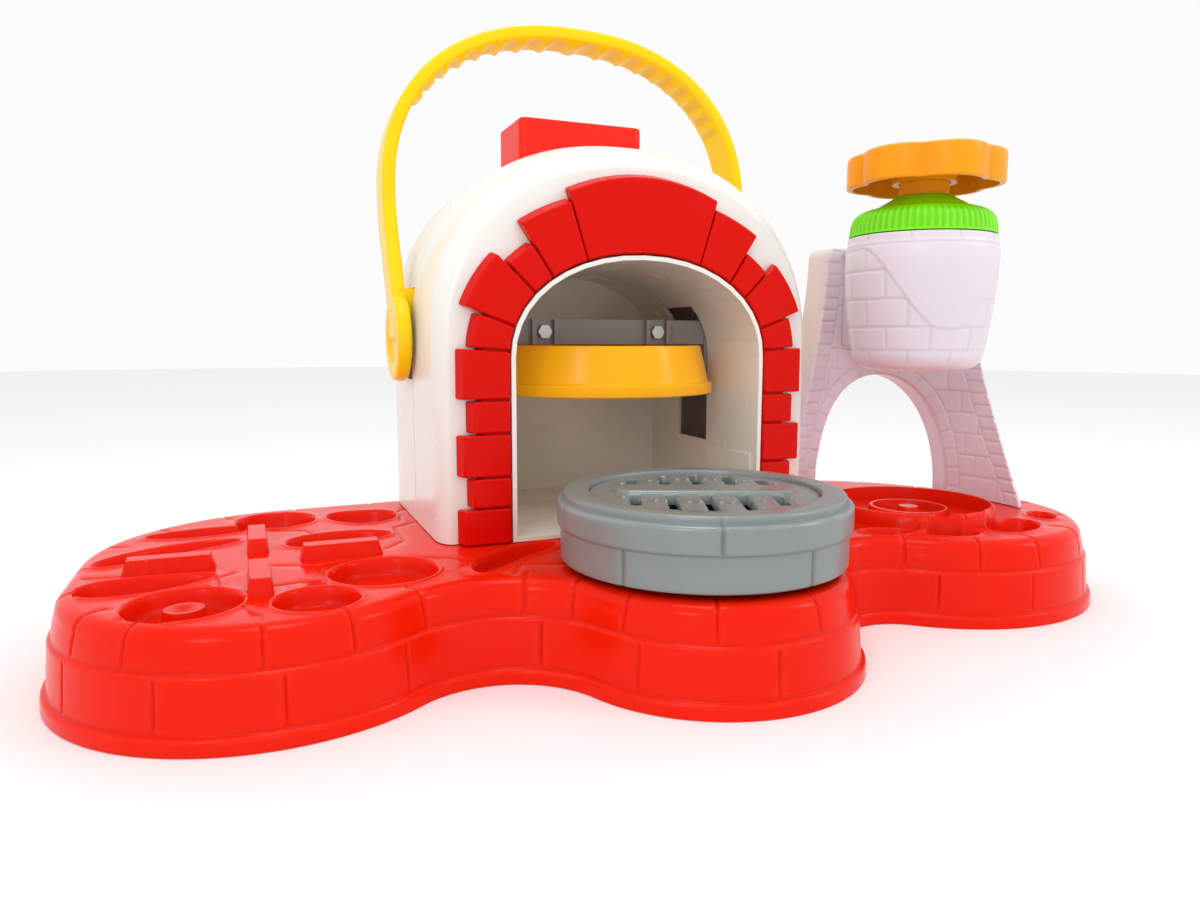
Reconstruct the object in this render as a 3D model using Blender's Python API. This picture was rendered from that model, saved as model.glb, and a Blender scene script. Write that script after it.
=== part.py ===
"""Toy pizza oven: a lobed base with topping moulds, a domed oven with a hand press and a sliding pan, and a
screw-fed extruder on a curved brick tower. Metres, +Z up, the base stands on Z = 0 with its middle at the origin.

Places in the plan are measured from the middle of the oven's mouth: x to the right, y backwards. spot() turns
them into the part's own frame.
"""

import math

import bmesh
import bpy
import numpy as np
from mathutils import Vector

# Clearances that every fit uses
GAP = 0.0003
SLIDE_GAP = 0.0004
OVERRUN = 0.002
BITE = 0.0006

# Base: ground outline as circles joined by tangents and hollow fillets
BASE_HEIGHT = 0.0285
BASE_WALL = 0.002
FRONT_LOBE_Y = -0.0445
FRONT_LOBE_RADIUS = 0.0465
LEFT_LOBE_X = -0.1218
LEFT_LOBE_Y = -0.0036
LEFT_LOBE_RADIUS = 0.0575
LEFT_BACK_X = -0.110
LEFT_BACK_Y = 0.025
LEFT_BACK_MARGIN = 0.0035
RIGHT_LOBE_X = 0.1194
RIGHT_LOBE_Y = -0.0033
RIGHT_LOBE_RADIUS = 0.0605
RIGHT_BACK_X = 0.098
RIGHT_BACK_Y = 0.010
RIGHT_BACK_MARGIN = 0.0165
BACK_CORNER_X = 0.062
BACK_CORNER_RADIUS = 0.032
BACK_MARGIN = 0.0070
LEFT_FILLET = 0.028
RIGHT_FILLET = 0.020

# Base: courses of the side wall, from the ground up
FLANGE_HEIGHT = 0.0042
FLANGE_STEP = 0.0014
FLANGE_CHAMFER = 0.0008
SEAM_HEIGHT = 0.0185
SEAM_STEP = 0.0010
COURSE_DRAFT = 0.0011
TOP_ROUND = 0.0042

# Base: moulds, bars, pan rest and pedestal on the top
MOULD_DEPTH = 0.0050
MOULD_DRAFT = 0.0008
BAR_LENGTH = 0.0245
BAR_WIDTH = 0.0065
BAR_HEIGHT = 0.0045
BAR_DRAFT = 0.0014
BAR_CROSS_X = -0.1243
BAR_CROSS_Y = 0.0050
BAR_REACH = 0.0115
PEDESTAL_X = 0.109
PEDESTAL_Y = -0.008
PEDESTAL_RADIUS = 0.031
PEDESTAL_HEIGHT = 0.0052
PEDESTAL_WALL = 0.0024
PEDESTAL_RING_RADIUS = 0.0150
PEDESTAL_RING_HEIGHT = 0.0028
PEDESTAL_HUB_RADIUS = 0.0042
PAN_REST_RADIUS = 0.0360
PAN_REST_HEIGHT = 0.0015

# Moulds as shares of their lobe's radius, measured from its centre: x, y, radius
ROUND_MOULD_SHARES = {
    "wheel": (-0.358, -0.483, 0.247),
    "dish": (0.188, -0.616, 0.191),
    "pool": (0.534, -0.257, 0.268),
}
WHEEL_HUB_SHARE = 0.37
DISH_STEP_SHARE = 0.65
# Bent moulds: centre x, centre y, length, width as shares of the lobe's radius, turn and bend in degrees, swell share
POD_MOULD_SHARES = {
    "pepper": (-0.540, -0.085, 0.60, 0.300, 8.0, 24.0, -0.30),
    "pod": (-0.500, 0.580, 0.78, 0.220, 28.0, -30.0, -0.15),
    "bean": (-0.350, 0.990, 0.58, 0.230, 8.0, 20.0, 0.10),
    "leaf": (0.400, 0.560, 0.60, 0.330, 10.0, -25.0, -0.20),
    "cap": (0.590, 1.140, 0.46, 0.400, -35.0, 18.0, 0.25),
    "crescent": (1.222, -0.160, 0.80, 0.220, 38.0, -58.0, 0.05),
}
BACK_BOWL_SHARES = (0.075, 1.200, 0.240)
RIGHT_POD_SHARES = {
    "slice": (-0.680, -0.460, 0.30, 0.150, -22.0, 16.0, 0.0),
    "drop": (-0.365, -0.620, 0.34, 0.190, -20.0, 24.0, 0.20),
    "flower": (0.125, -0.620, 0.46, 0.270, 25.0, -20.0, 0.10),
    "olive": (0.540, -0.470, 0.24, 0.170, 52.0, -12.0, 0.0),
}

# Oven casing
OVEN_DEPTH = 0.0905
TRIM_DEPTH = 0.0045
SHELL_WALL = 0.0018
SHELL_HALF_WIDTH = 0.0700
SHELL_SPRING = 0.0620
SHELL_TOP = 0.1335
SHELL_FACE_INSET = 0.0045
SHELL_FACE_TOP = 0.1220
SHELL_SIDE_ROUND = 0.0090
SHELL_TOP_ROUND = 0.0260
SHELL_BACK_ROUND = 0.0080
SHELL_BACK_INSET = 0.0050
PARTING = 0.0463
DOME_BULGE = 2.40
DOME_FRONT_BULGE = 2.25
CASING_POST_RADIUS = 0.0036
CASING_POST_HEIGHT = 0.0160
CASING_POST_SIDE = 0.0125
CASING_POST_X = SHELL_HALF_WIDTH - CASING_POST_SIDE
CASING_POST_INSET = 0.0140

# Oven liner
MOUTH_MARGIN = 0.0228
MOUTH_HALF_WIDTH = SHELL_HALF_WIDTH - MOUTH_MARGIN
MOUTH_SPRING = 0.0600
MOUTH_TOP = 0.0943
MOUTH_BULGE = 2.1
LINER_WALL = 0.0015
LINER_FLOOR = 0.0012
LINER_BACK_GAP = 0.0033
LINER_BACK = OVEN_DEPTH - LINER_BACK_GAP
LIP_SETBACK = 0.0006
GUIDE_HEIGHT = 0.0245
GUIDE_START = 0.0045
GUIDE_END = 0.0370
GUIDE_THICKNESS = 0.0008

# Brick arch: radial thickness of the bricks and the keystone's height
WIDE_BRICK = 0.0155
NARROW_BRICK = 0.0123
WIDE_VOUSSOIR = 0.0195
MIDDLE_VOUSSOIR = 0.0172
KEYSTONE_TOP = 0.1190
KEYSTONE_CORNER = 0.1130
KEYSTONE_HALF_TOP = 0.0270
BRICK_JOINT = 0.0007
JOINT_DEPTH = 0.0012
BRICK_DRAFT = 0.0018
TRIM_INNER_DRAFT = 0.0003
PILLAR_JOINT_SHARES = (0.0, 0.202, 0.368, 0.603, 0.782)
PILLAR_TOP_DEGREES = 3.5
VOUSSOIR_JOINT_DEGREES = (16.0, 36.0, 47.5, 65.5)

# Chimney
CHIMNEY_WIDTH = 0.0506
CHIMNEY_START = 0.0582
CHIMNEY_DEPTH = 0.0296
CHIMNEY_TOP = 0.1494
CHIMNEY_CORNER = 0.0030
CHIMNEY_FLARE = 0.0008
CHIMNEY_RIM = 0.0042
CHIMNEY_SINK = 0.0026

# Press: handle, carriage, stamper
PRESS_Y = 0.0430
PRESS_STROKE = 0.0220
LOBE_Y = 0.0520
LOBE_Z = 0.0665
LOBE_RADIUS = 0.0155
LOBE_THICKNESS = 0.0050
LOBE_DISH_RADIUS = 0.0092
LOBE_DISH_DEPTH = 0.0016
LOBE_STAND_OFF = 0.0013
BAIL_Y = 0.0715
BAIL_WIDTH = 0.0165
BAIL_THICKNESS = 0.0048
BAIL_SPRING = 0.1200
BAIL_TOP = 0.1855
BAIL_BULGE = 2.3
BAIL_EDGE = 0.0014
FINGER_RIB_HEIGHT = 0.0016
FINGER_RIB_WIDTH = 0.0030
FINGER_RIBS_PER_SIDE = 8
FINGER_RIB_PITCH_DEGREES = 7.2
FINGER_RIB_SHARES = ((0.0, 0.5), (1.3, 0.22), (1.3, -0.22), (0.0, -0.5))
TONGUE_DEPTH = 0.0080
TONGUE_HEIGHT = 0.0100
TONGUE_Z = 0.0740
TONGUE_REACH = 0.0100
SLOT_TOP = 0.0790
BLOCK_HEIGHT = 0.0250
BLOCK_TOP = 0.0735
BLOCK_DEPTH = 0.0236
BLOCK_START = 0.0384
BLOCK_OVERHANG = 0.0032
BLOCK_INNER = MOUTH_HALF_WIDTH - BLOCK_OVERHANG
BLOCK_SIDE_GAP = 0.0026
BEAM_TOP = 0.0735
BEAM_HEIGHT = 0.0092
BEAM_DEPTH = 0.0080
BEAM_WALL = 0.0018
BRACKET_X = 0.0230
BRACKET_WIDTH = 0.0085
BRACKET_RIB = 0.0016
BRACKET_PROUD = 0.0022
BOLT_RADIUS = 0.0014
BOLT_HEAD_RADIUS = 0.0027
BOLT_HEAD_HEIGHT = 0.0016
PIN_RADIUS = 0.0012
PIN_FLOOR = 0.0020

# Stamper
STAMPER_BOTTOM = 0.0464
STAMPER_TOP = 0.0640
STAMPER_CLEARANCE = 0.0034
STAMPER_FLANGE_RADIUS = MOUTH_HALF_WIDTH - STAMPER_CLEARANCE
STAMPER_FLANGE_HEIGHT = 0.0046
STAMPER_FLANGE_REACH = 0.0015
STAMPER_SIDE_DRAFT = 0.0031
STAMPER_SIDE_RADIUS = STAMPER_FLANGE_RADIUS - STAMPER_FLANGE_REACH
STAMPER_TOP_RADIUS = STAMPER_SIDE_RADIUS - STAMPER_SIDE_DRAFT
STAMPER_WALL = 0.0020
STAMPER_LUG_WIDTH = 0.0080

# Pan
PAN_Y = -0.0410
PAN_CLEARANCE = 0.0034
PAN_COURSE_STEP = 0.0010
PAN_TOP_STEP = 0.0020
PAN_UPPER_RADIUS = MOUTH_HALF_WIDTH - PAN_CLEARANCE
PAN_LOWER_RADIUS = PAN_UPPER_RADIUS - PAN_COURSE_STEP
PAN_TOP_RADIUS = PAN_UPPER_RADIUS - PAN_TOP_STEP
PAN_LOWER_HEIGHT = 0.0103
PAN_UPPER_HEIGHT = 0.0078
PAN_TOP_HEIGHT = 0.0023
PAN_ROUND = 0.0014
PAN_WALL = 0.0020
PAN_RIM_WIDTH = 0.0073
PAN_WELL_RADIUS = PAN_TOP_RADIUS - PAN_RIM_WIDTH
PAN_WELL_DEPTH = 0.0062
PAN_LEDGE = 0.0022
PAN_NOTCH_WIDTH = 0.0010
PAN_NOTCH_DEPTH = 0.0007
PAN_BRICKS = 5
PAN_TURN_DEGREES = -22.5
GRATE_SLATS = 6
GRATE_SLAT_WIDTH = 0.0072
GRATE_THICKNESS = 0.0030
GRATE_RIM = 0.0030
GRATE_BAND_MARGIN = 0.0150
GRATE_BAND_LENGTH = 2 * PAN_WELL_RADIUS - GRATE_BAND_MARGIN
GRATE_BAND_WIDTH = 0.0120
GRATE_BAND_PROUD = 0.0010

# Tower, as a curved wall round the extruder's axis
TOWER_RADIUS = 0.0480
TOWER_DEPTH = 0.0110
TOWER_WALL = 0.0022
TOWER_HEIGHT = 0.1042
TOWER_FACING_DEGREES = 64.7
TOWER_TOP_RIGHT = 0.0340
TOWER_TOP_LEFT = 0.0270
TOWER_FOOT_RIGHT = 0.0650
TOWER_FOOT_LEFT = 0.0510
TOWER_FLARE = 1.8
TOWER_CORNER = 0.0040
TOWER_PIVOT = -0.0300
TOWER_BACK_SHARE = 0.88
ARCH_HALF = 0.0295
ARCH_RISE = 0.0510
ARCH_BULGE = 2.1

# Extruder, on the pedestal's axis; heights from the base's top
BARREL_DROP = 0.0004
BARREL_HEIGHT = 0.0486
BARREL_TOP = TOWER_HEIGHT - BARREL_DROP
BARREL_BOTTOM = BARREL_TOP - BARREL_HEIGHT
BARREL_RADIUS = 0.0270
BARREL_MOUTH_RADIUS = 0.0262
BARREL_FOOT_RADIUS = 0.0236
BARREL_ROUND = 0.0075
BARREL_BORE = 0.0215
BARREL_FLOOR = 0.0032
BARREL_OUTLET = 0.0140
SADDLE_WIDTH = 0.0356
SADDLE_LIFT = 0.0083
SADDLE_BOTTOM = BARREL_BOTTOM + SADDLE_LIFT
NOZZLE_THICKNESS = 0.0024
NOZZLE_HOLE = 0.0022
NOZZLE_RING = 0.0085
NOZZLE_HOLES = 6
CAP_HEIGHT = 0.0143
CAP_WALL = 0.0020
CAP_SPIGOT_DEPTH = 0.0055
CAP_SPIGOT_WALL = 0.0020
CAP_RIBS = 24
CAP_RIB_DEPTH = 0.0005
CAP_RIB_ROWS = 4
SPINDLE_RADIUS = 0.0088
SPINDLE_GROOVE_DEPTH = 0.0011
SPINDLE_GROOVE_WIDTH = 0.0030
SPINDLE_STARTS = 2
SPINDLE_LEAD = 0.0180
SPINDLE_FOOT_RADIUS = 0.0110
SPINDLE_FOOT_HEIGHT = 0.0024
PISTON_LIFT = 0.0088
PISTON_BOTTOM = BARREL_BOTTOM + PISTON_LIFT
PISTON_HEIGHT = 0.0095
PISTON_SEAL_HEIGHT = 0.0026
PISTON_SEAL_DEPTH = 0.0016
PISTON_SKIN = 0.0022
KNOB_RISE = 0.0181
KNOB_BOTTOM = BARREL_TOP + KNOB_RISE
KNOB_HEIGHT = 0.0125
KNOB_RADIUS = 0.0276
KNOB_NOTCH = 0.0032
KNOB_LOBES = 6
KNOB_TURN_DEGREES = 16.5
KNOB_WALL = 0.0022
KNOB_CROWN = 0.0008
KNOB_EDGE = 0.0012
KNOB_SOCKET = 0.0080

# The cap's outside as shares of the barrel mouth's radius and of the cap's height, and its inside below the wall
CAP_PROFILE_SHARES = (
    (0.992, 0.0),
    (0.981, 0.245),
    (0.950, 0.455),
    (0.889, 0.566),
    (0.802, 0.643),
    (0.649, 0.706),
    (0.573, 0.797),
    (0.458, 0.909),
    (0.392, 1.0),
)
CAP_INNER_SHARES = ((0.440, 0.790), (0.535, 0.640), (0.650, 0.560))

# Screws from below
SCREW_RADIUS = 0.0015
SCREW_LENGTH = 0.0100
SCREW_HEAD_RADIUS = 0.0032
SCREW_HEAD_HEIGHT = 0.0018
TOWER_POST_RADIUS = 0.0036
TOWER_POST_HEIGHT = 0.0140

# Facets
ARC_STEPS = 8
FILLET_STEPS = 4
ROUND_STEPS = 2
VAULT_STEPS = 20
TURN_STEPS = 36
SMALL_TURN_STEPS = 10
SKIN_STEPS = 5

# Colours
BASE_RED = (0.93, 0.030, 0.006)
TRIM_RED = (0.78, 0.012, 0.003)
CHIMNEY_RED = (0.95, 0.045, 0.025)
SHELL_WHITE = (0.86, 0.87, 0.84)
LAVENDER = (0.76, 0.67, 0.74)
CAP_GREEN = (0.20, 0.80, 0.005)
KNOB_ORANGE = (1.0, 0.36, 0.010)
HANDLE_YELLOW = (1.0, 0.66, 0.010)
STAMPER_AMBER = (1.0, 0.42, 0.008)
PAN_GREY = (0.20, 0.23, 0.23)
STEEL = (0.55, 0.55, 0.56)
SEAL_BLACK = (0.03, 0.03, 0.03)

BACK_CORNER_Y = OVEN_DEPTH + BACK_MARGIN - BACK_CORNER_RADIUS
BACK_EDGE = BACK_CORNER_Y + BACK_CORNER_RADIUS
LEFT_BACK_RADIUS = BACK_EDGE - LEFT_BACK_Y - LEFT_BACK_MARGIN
RIGHT_BACK_RADIUS = BACK_EDGE - RIGHT_BACK_Y - RIGHT_BACK_MARGIN
FRONT_EDGE = FRONT_LOBE_Y - FRONT_LOBE_RADIUS
LEFT_EDGE = LEFT_LOBE_X - LEFT_LOBE_RADIUS
RIGHT_EDGE = RIGHT_LOBE_X + RIGHT_LOBE_RADIUS
ORIGIN_X = (LEFT_EDGE + RIGHT_EDGE) / 2
ORIGIN_Y = (FRONT_EDGE + BACK_EDGE) / 2


def spot(x, y, above_base=0.0):
    """A place in the part's frame, from its place in the plan and its height above the base's top."""
    return Vector((x - ORIGIN_X, y - ORIGIN_Y, BASE_HEIGHT + above_base))


def plastic(name, colour, roughness=0.28, metallic=0.0):
    """A material for one node."""
    material = bpy.data.materials.new(name)
    material.use_nodes = True
    shader = material.node_tree.nodes["Principled BSDF"]
    shader.inputs["Base Color"].default_value = (*colour, 1.0)
    shader.inputs["Roughness"].default_value = roughness
    shader.inputs["Metallic"].default_value = metallic
    material.diffuse_color = (*colour, 1.0)
    return material


def to_object(name, shape, colour=None, roughness=0.28, metallic=0.0):
    """A bmesh as a named object; without a colour it is a cutter or an added shape, which the build leaves out."""
    bmesh.ops.recalc_face_normals(shape, faces=shape.faces)
    mesh = bpy.data.meshes.new(name)
    shape.to_mesh(mesh)
    shape.free()
    mesh.shade_smooth()
    mesh.set_sharp_from_angle(angle=math.radians(32))
    item = bpy.data.objects.new(name, mesh)
    bpy.context.scene.collection.objects.link(item)
    if colour is None:
        item.hide_render = True
        item.display_type = "WIRE"
    else:
        mesh.materials.append(plastic(name, colour, roughness, metallic))
    return item


def loft(loops, closed=False):
    """A skin through loops of points that all have the same count; open ends get a flat cap."""
    shape = bmesh.new()
    rings = [[shape.verts.new(point) for point in loop] for loop in loops]
    count = len(rings[0])
    pairs = list(zip(rings, rings[1:]))
    if closed:
        pairs.append((rings[-1], rings[0]))
    for first, second in pairs:
        for i in range(count):
            j = (i + 1) % count
            shape.faces.new((first[i], first[j], second[j], second[i]))
    if not closed:
        shape.faces.new(rings[0])
        shape.faces.new(rings[-1])
    return shape


def prism(outline, low, high, shrink_to=None):
    """An upright prism from z = low to high; shrink_to is an outline for its top where the sides have draft."""
    top = outline if shrink_to is None else shrink_to
    return loft([[(x, y, low) for x, y in outline], [(x, y, high) for x, y in top]])


def block(low, high):
    """A box between two corners."""
    outline = [(low[0], low[1]), (high[0], low[1]), (high[0], high[1]), (low[0], high[1])]
    return prism(outline, low[2], high[2])


def turned(profile, steps, centre):
    """A profile of (radius, z) turned about the upright line through centre; ends at radius 0 close on the axis."""
    shape = bmesh.new()
    points = [shape.verts.new((centre[0] + r, centre[1], z)) for r, z in profile]
    closed = profile[0][0] > 0
    edges = [shape.edges.new(pair) for pair in zip(points, points[1:])]
    if closed:
        edges.append(shape.edges.new((points[-1], points[0])))
    bmesh.ops.spin(
        shape,
        geom=points + edges,
        cent=(centre[0], centre[1], 0.0),
        axis=(0.0, 0.0, 1.0),
        angle=math.tau,
        steps=steps,
        use_merge=True,
    )
    bmesh.ops.remove_doubles(shape, verts=shape.verts, dist=GAP / 1000)
    return shape


def cylinder(centre, radius, low, high, steps=SMALL_TURN_STEPS, turn=0.0):
    """An upright cylinder."""
    return prism(circle(centre[0], centre[1], radius, steps, turn), low, high)


def circle(x, y, radius, steps=SMALL_TURN_STEPS, turn=0.0):
    """Points round a circle."""
    angles = [turn + math.tau * i / steps for i in range(steps)]
    return [(x + radius * math.cos(a), y + radius * math.sin(a)) for a in angles]


def change(body, operation, shapes):
    """Cut shapes from a body or join them to it with live Boolean modifiers."""
    for number, shape in enumerate(shapes):
        tool = shape
        if isinstance(shape, bmesh.types.BMesh):
            tool = to_object(f"{body.name}_{operation.lower()}_{len(body.modifiers)}", shape)
        step = body.modifiers.new(f"{operation.title()} {number}", "BOOLEAN")
        step.operation = operation
        step.solver = "EXACT"
        step.object = tool
    return body


def cut(body, *shapes):
    return change(body, "DIFFERENCE", shapes)


def fuse(body, *shapes):
    return change(body, "UNION", shapes)


def superellipse(half_width, rise, bulge, degrees):
    """A point of a vault over its spring line; 0 degrees is its right foot, 180 its left foot."""
    c = math.cos(math.radians(degrees))
    s = math.sin(math.radians(degrees))
    return (
        math.copysign(half_width * abs(c) ** (2 / bulge), c),
        rise * abs(s) ** (2 / bulge),
    )


def vault(half_width, spring, top, bulge, foot=0.0, steps=VAULT_STEPS):
    """Points (x, height) of an arch: right foot, over the top, left foot."""
    points = [(half_width, foot)]
    for i in range(steps + 1):
        x, rise = superellipse(half_width, top - spring, bulge, 180 * i / steps)
        points.append((x, spring + rise))
    points.append((-half_width, foot))
    return points


def slice_at(y, points):
    """An outline (x, height above the base) as a loop across the oven at depth y."""
    return [spot(x, y, height) for x, height in points]


def base_links():
    """The base's circles in order, counter-clockwise, each with the fillet that joins it to the next; 0 is a tangent."""
    return [
        (0.0, FRONT_LOBE_Y, FRONT_LOBE_RADIUS, RIGHT_FILLET),
        (RIGHT_LOBE_X, RIGHT_LOBE_Y, RIGHT_LOBE_RADIUS, 0.0),
        (RIGHT_BACK_X, RIGHT_BACK_Y, RIGHT_BACK_RADIUS, 0.0),
        (BACK_CORNER_X, BACK_CORNER_Y, BACK_CORNER_RADIUS, 0.0),
        (-BACK_CORNER_X, BACK_CORNER_Y, BACK_CORNER_RADIUS, 0.0),
        (LEFT_BACK_X, LEFT_BACK_Y, LEFT_BACK_RADIUS, 0.0),
        (LEFT_LOBE_X, LEFT_LOBE_Y, LEFT_LOBE_RADIUS, LEFT_FILLET),
    ]


def base_outline(inset):
    """The base's outline in plan, moved inwards by inset: outer arcs shrink and hollow fillets grow."""
    links = base_links()
    starts = {}
    ends = {}
    hollows = {}
    for i, (ax, ay, a_radius, fillet) in enumerate(links):
        j = (i + 1) % len(links)
        bx, by, b_radius, _ = links[j]
        start = np.array((ax, ay))
        along = np.array((bx, by)) - start
        length = float(np.hypot(*along))
        along = along / length
        outwards = np.array((along[1], -along[0]))
        if fillet:
            from_a = a_radius + fillet
            from_b = b_radius + fillet
            forward = (from_a**2 - from_b**2 + length**2) / (2 * length)
            sideways = math.sqrt(from_a**2 - forward**2)
            centre = start + along * forward + outwards * sideways
            ends[i] = math.atan2(*(centre - start)[::-1])
            starts[j] = math.atan2(*(centre - np.array((bx, by)))[::-1])
            hollows[i] = (centre, fillet)
        else:
            lean = (a_radius - b_radius) / length
            normal = along * lean + outwards * math.sqrt(1 - lean**2)
            ends[i] = starts[j] = math.atan2(normal[1], normal[0])
    points = []
    for i, (x, y, radius, _) in enumerate(links):
        sweep = (ends[i] - starts[i]) % math.tau
        for k in range(ARC_STEPS + 1):
            angle = starts[i] + sweep * k / ARC_STEPS
            reach = radius - inset
            points.append((x + reach * math.cos(angle), y + reach * math.sin(angle)))
        if i in hollows:
            (x, y), fillet = hollows[i]
            first = ends[i] + math.pi
            back = (first - starts[(i + 1) % len(links)] - math.pi) % math.tau
            for k in range(1, FILLET_STEPS):
                angle = first - back * k / FILLET_STEPS
                reach = fillet + inset
                points.append((x + reach * math.cos(angle), y + reach * math.sin(angle)))
    return points


def base_loop(inset, height):
    return [(x - ORIGIN_X, y - ORIGIN_Y, height) for x, y in base_outline(inset)]


def base_profile():
    """The side wall's section as (inset, height), from the ground to the flat top."""
    course = FLANGE_STEP + COURSE_DRAFT
    upper = course + SEAM_STEP
    shoulder = upper + COURSE_DRAFT
    profile = [
        (0.0, 0.0),
        (0.0, FLANGE_HEIGHT - FLANGE_CHAMFER),
        (FLANGE_CHAMFER, FLANGE_HEIGHT),
        (FLANGE_STEP, FLANGE_HEIGHT),
        (course, SEAM_HEIGHT - SEAM_STEP),
        (upper, SEAM_HEIGHT),
        (shoulder, BASE_HEIGHT - TOP_ROUND),
    ]
    for i in range(1, ROUND_STEPS + 1):
        angle = math.pi / 2 * i / ROUND_STEPS
        inset = shoulder + TOP_ROUND * (1 - math.cos(angle))
        profile.append((inset, BASE_HEIGHT - TOP_ROUND * (1 - math.sin(angle))))
    return profile


def pod(x, y, length, width, turn, bend, swell, grow=0.0, steps=12):
    """A bean outline: an ellipse bent along an arc, wider towards one end by swell."""
    arc = math.radians(bend) or GAP
    radius = length / arc
    points = []
    for i in range(steps):
        angle = math.tau * i / steps
        along = math.cos(angle) * (length / 2 + grow)
        side = math.sin(angle) * (width / 2 * (1 + swell * math.cos(angle)) + grow)
        phase = along / radius
        px = (radius + side) * math.sin(phase)
        py = radius - (radius + side) * math.cos(phase)
        c = math.cos(math.radians(turn))
        s = math.sin(math.radians(turn))
        points.append((x + c * px - s * py, y + s * px + c * py))
    return points


def in_part(outline):
    return [(x - ORIGIN_X, y - ORIGIN_Y) for x, y in outline]


def mould(shape_of):
    """One mould: its cup under the plate and its hollow; shape_of(grow) is its outline, grown by a wall."""
    floor = BASE_HEIGHT - MOULD_DEPTH
    cup = prism(in_part(shape_of(BASE_WALL)), floor - BASE_WALL, BASE_HEIGHT - BASE_WALL / 2)
    hollow = prism(in_part(shape_of(-MOULD_DRAFT)), floor, BASE_HEIGHT + OVERRUN, in_part(shape_of(MOULD_DRAFT / 2)))
    return cup, hollow


def round_mould(x, y, radius):
    return mould(lambda grow: circle(x, y, radius + grow, TURN_STEPS // 2))


def pod_moulds(shares, lobe_x, lobe_y, lobe_radius):
    """A lobe's bent moulds, placed and sized as shares of its radius."""
    made = []
    for x, y, length, width, turn, bend, swell in shares.values():
        cx = lobe_x + x * lobe_radius
        cy = lobe_y + y * lobe_radius
        size = (length * lobe_radius, width * lobe_radius)
        made.append(
            mould(
                lambda grow, cx=cx, cy=cy, size=size, turn=turn, bend=bend, swell=swell: pod(
                    cx, cy, size[0], size[1], turn, bend, swell, grow
                )
            )
        )
    return made


def bars(base):
    """Four raised bars in a cross, with draft on all sides."""
    for quarter in range(4):
        angle = math.pi / 2 * quarter
        along = (math.cos(angle), math.sin(angle))
        loops = []
        for grow, height in ((0.0, -BASE_WALL / 2), (0.0, 0.0), (-BAR_DRAFT, BAR_HEIGHT)):
            corners = []
            for end, side in ((0, -1), (0, 1), (1, 1), (1, -1)):
                reach = BAR_REACH - grow if end == 0 else BAR_REACH + BAR_LENGTH + grow
                off = side * (BAR_WIDTH / 2 + grow / 2)
                corners.append(
                    spot(
                        BAR_CROSS_X + along[0] * reach - along[1] * off,
                        BAR_CROSS_Y + along[1] * reach + along[0] * off,
                        height,
                    )
                )
            loops.append(corners)
        fuse(base, loft(loops))


def pedestal(base):
    """The round stand under the extruder: a rim, an inner ring and a hub, sunk one wall into the plate."""
    centre = spot(PEDESTAL_X, PEDESTAL_Y)
    sink = BASE_HEIGHT - BASE_WALL / 2

    def ring(outer, inner, height):
        top = BASE_HEIGHT + height
        profile = [(inner, sink), (outer, sink), (outer - MOULD_DRAFT / 2, top), (inner, top)]
        return turned(profile, TURN_STEPS, centre)

    fuse(
        base,
        ring(PEDESTAL_RADIUS, PEDESTAL_RADIUS - PEDESTAL_WALL, PEDESTAL_HEIGHT),
        ring(PEDESTAL_RING_RADIUS, PEDESTAL_RING_RADIUS - PEDESTAL_WALL, PEDESTAL_RING_HEIGHT),
        cylinder(centre, PEDESTAL_HUB_RADIUS, sink, BASE_HEIGHT + PEDESTAL_RING_HEIGHT),
    )


def casing_posts():
    """Where the four screws enter the oven casing: x, y, and +1 for the front half or -1 for the rear."""
    front = TRIM_DEPTH + CASING_POST_INSET
    rear = OVEN_DEPTH - CASING_POST_INSET
    return [(x, y, half) for y, half in ((front, 1), (rear, -1)) for x in (-CASING_POST_X, CASING_POST_X)]


def tower_posts():
    """Where the two screws enter the tower's feet, as plan places on the wall's mid line."""
    middle = TOWER_RADIUS + TOWER_DEPTH / 2
    places = []
    for side, foot in ((1, TOWER_FOOT_RIGHT), (-1, TOWER_FOOT_LEFT)):
        arc = side * (ARCH_HALF + foot) / 2
        places.append(wall_place(arc, middle))
    return places


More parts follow.
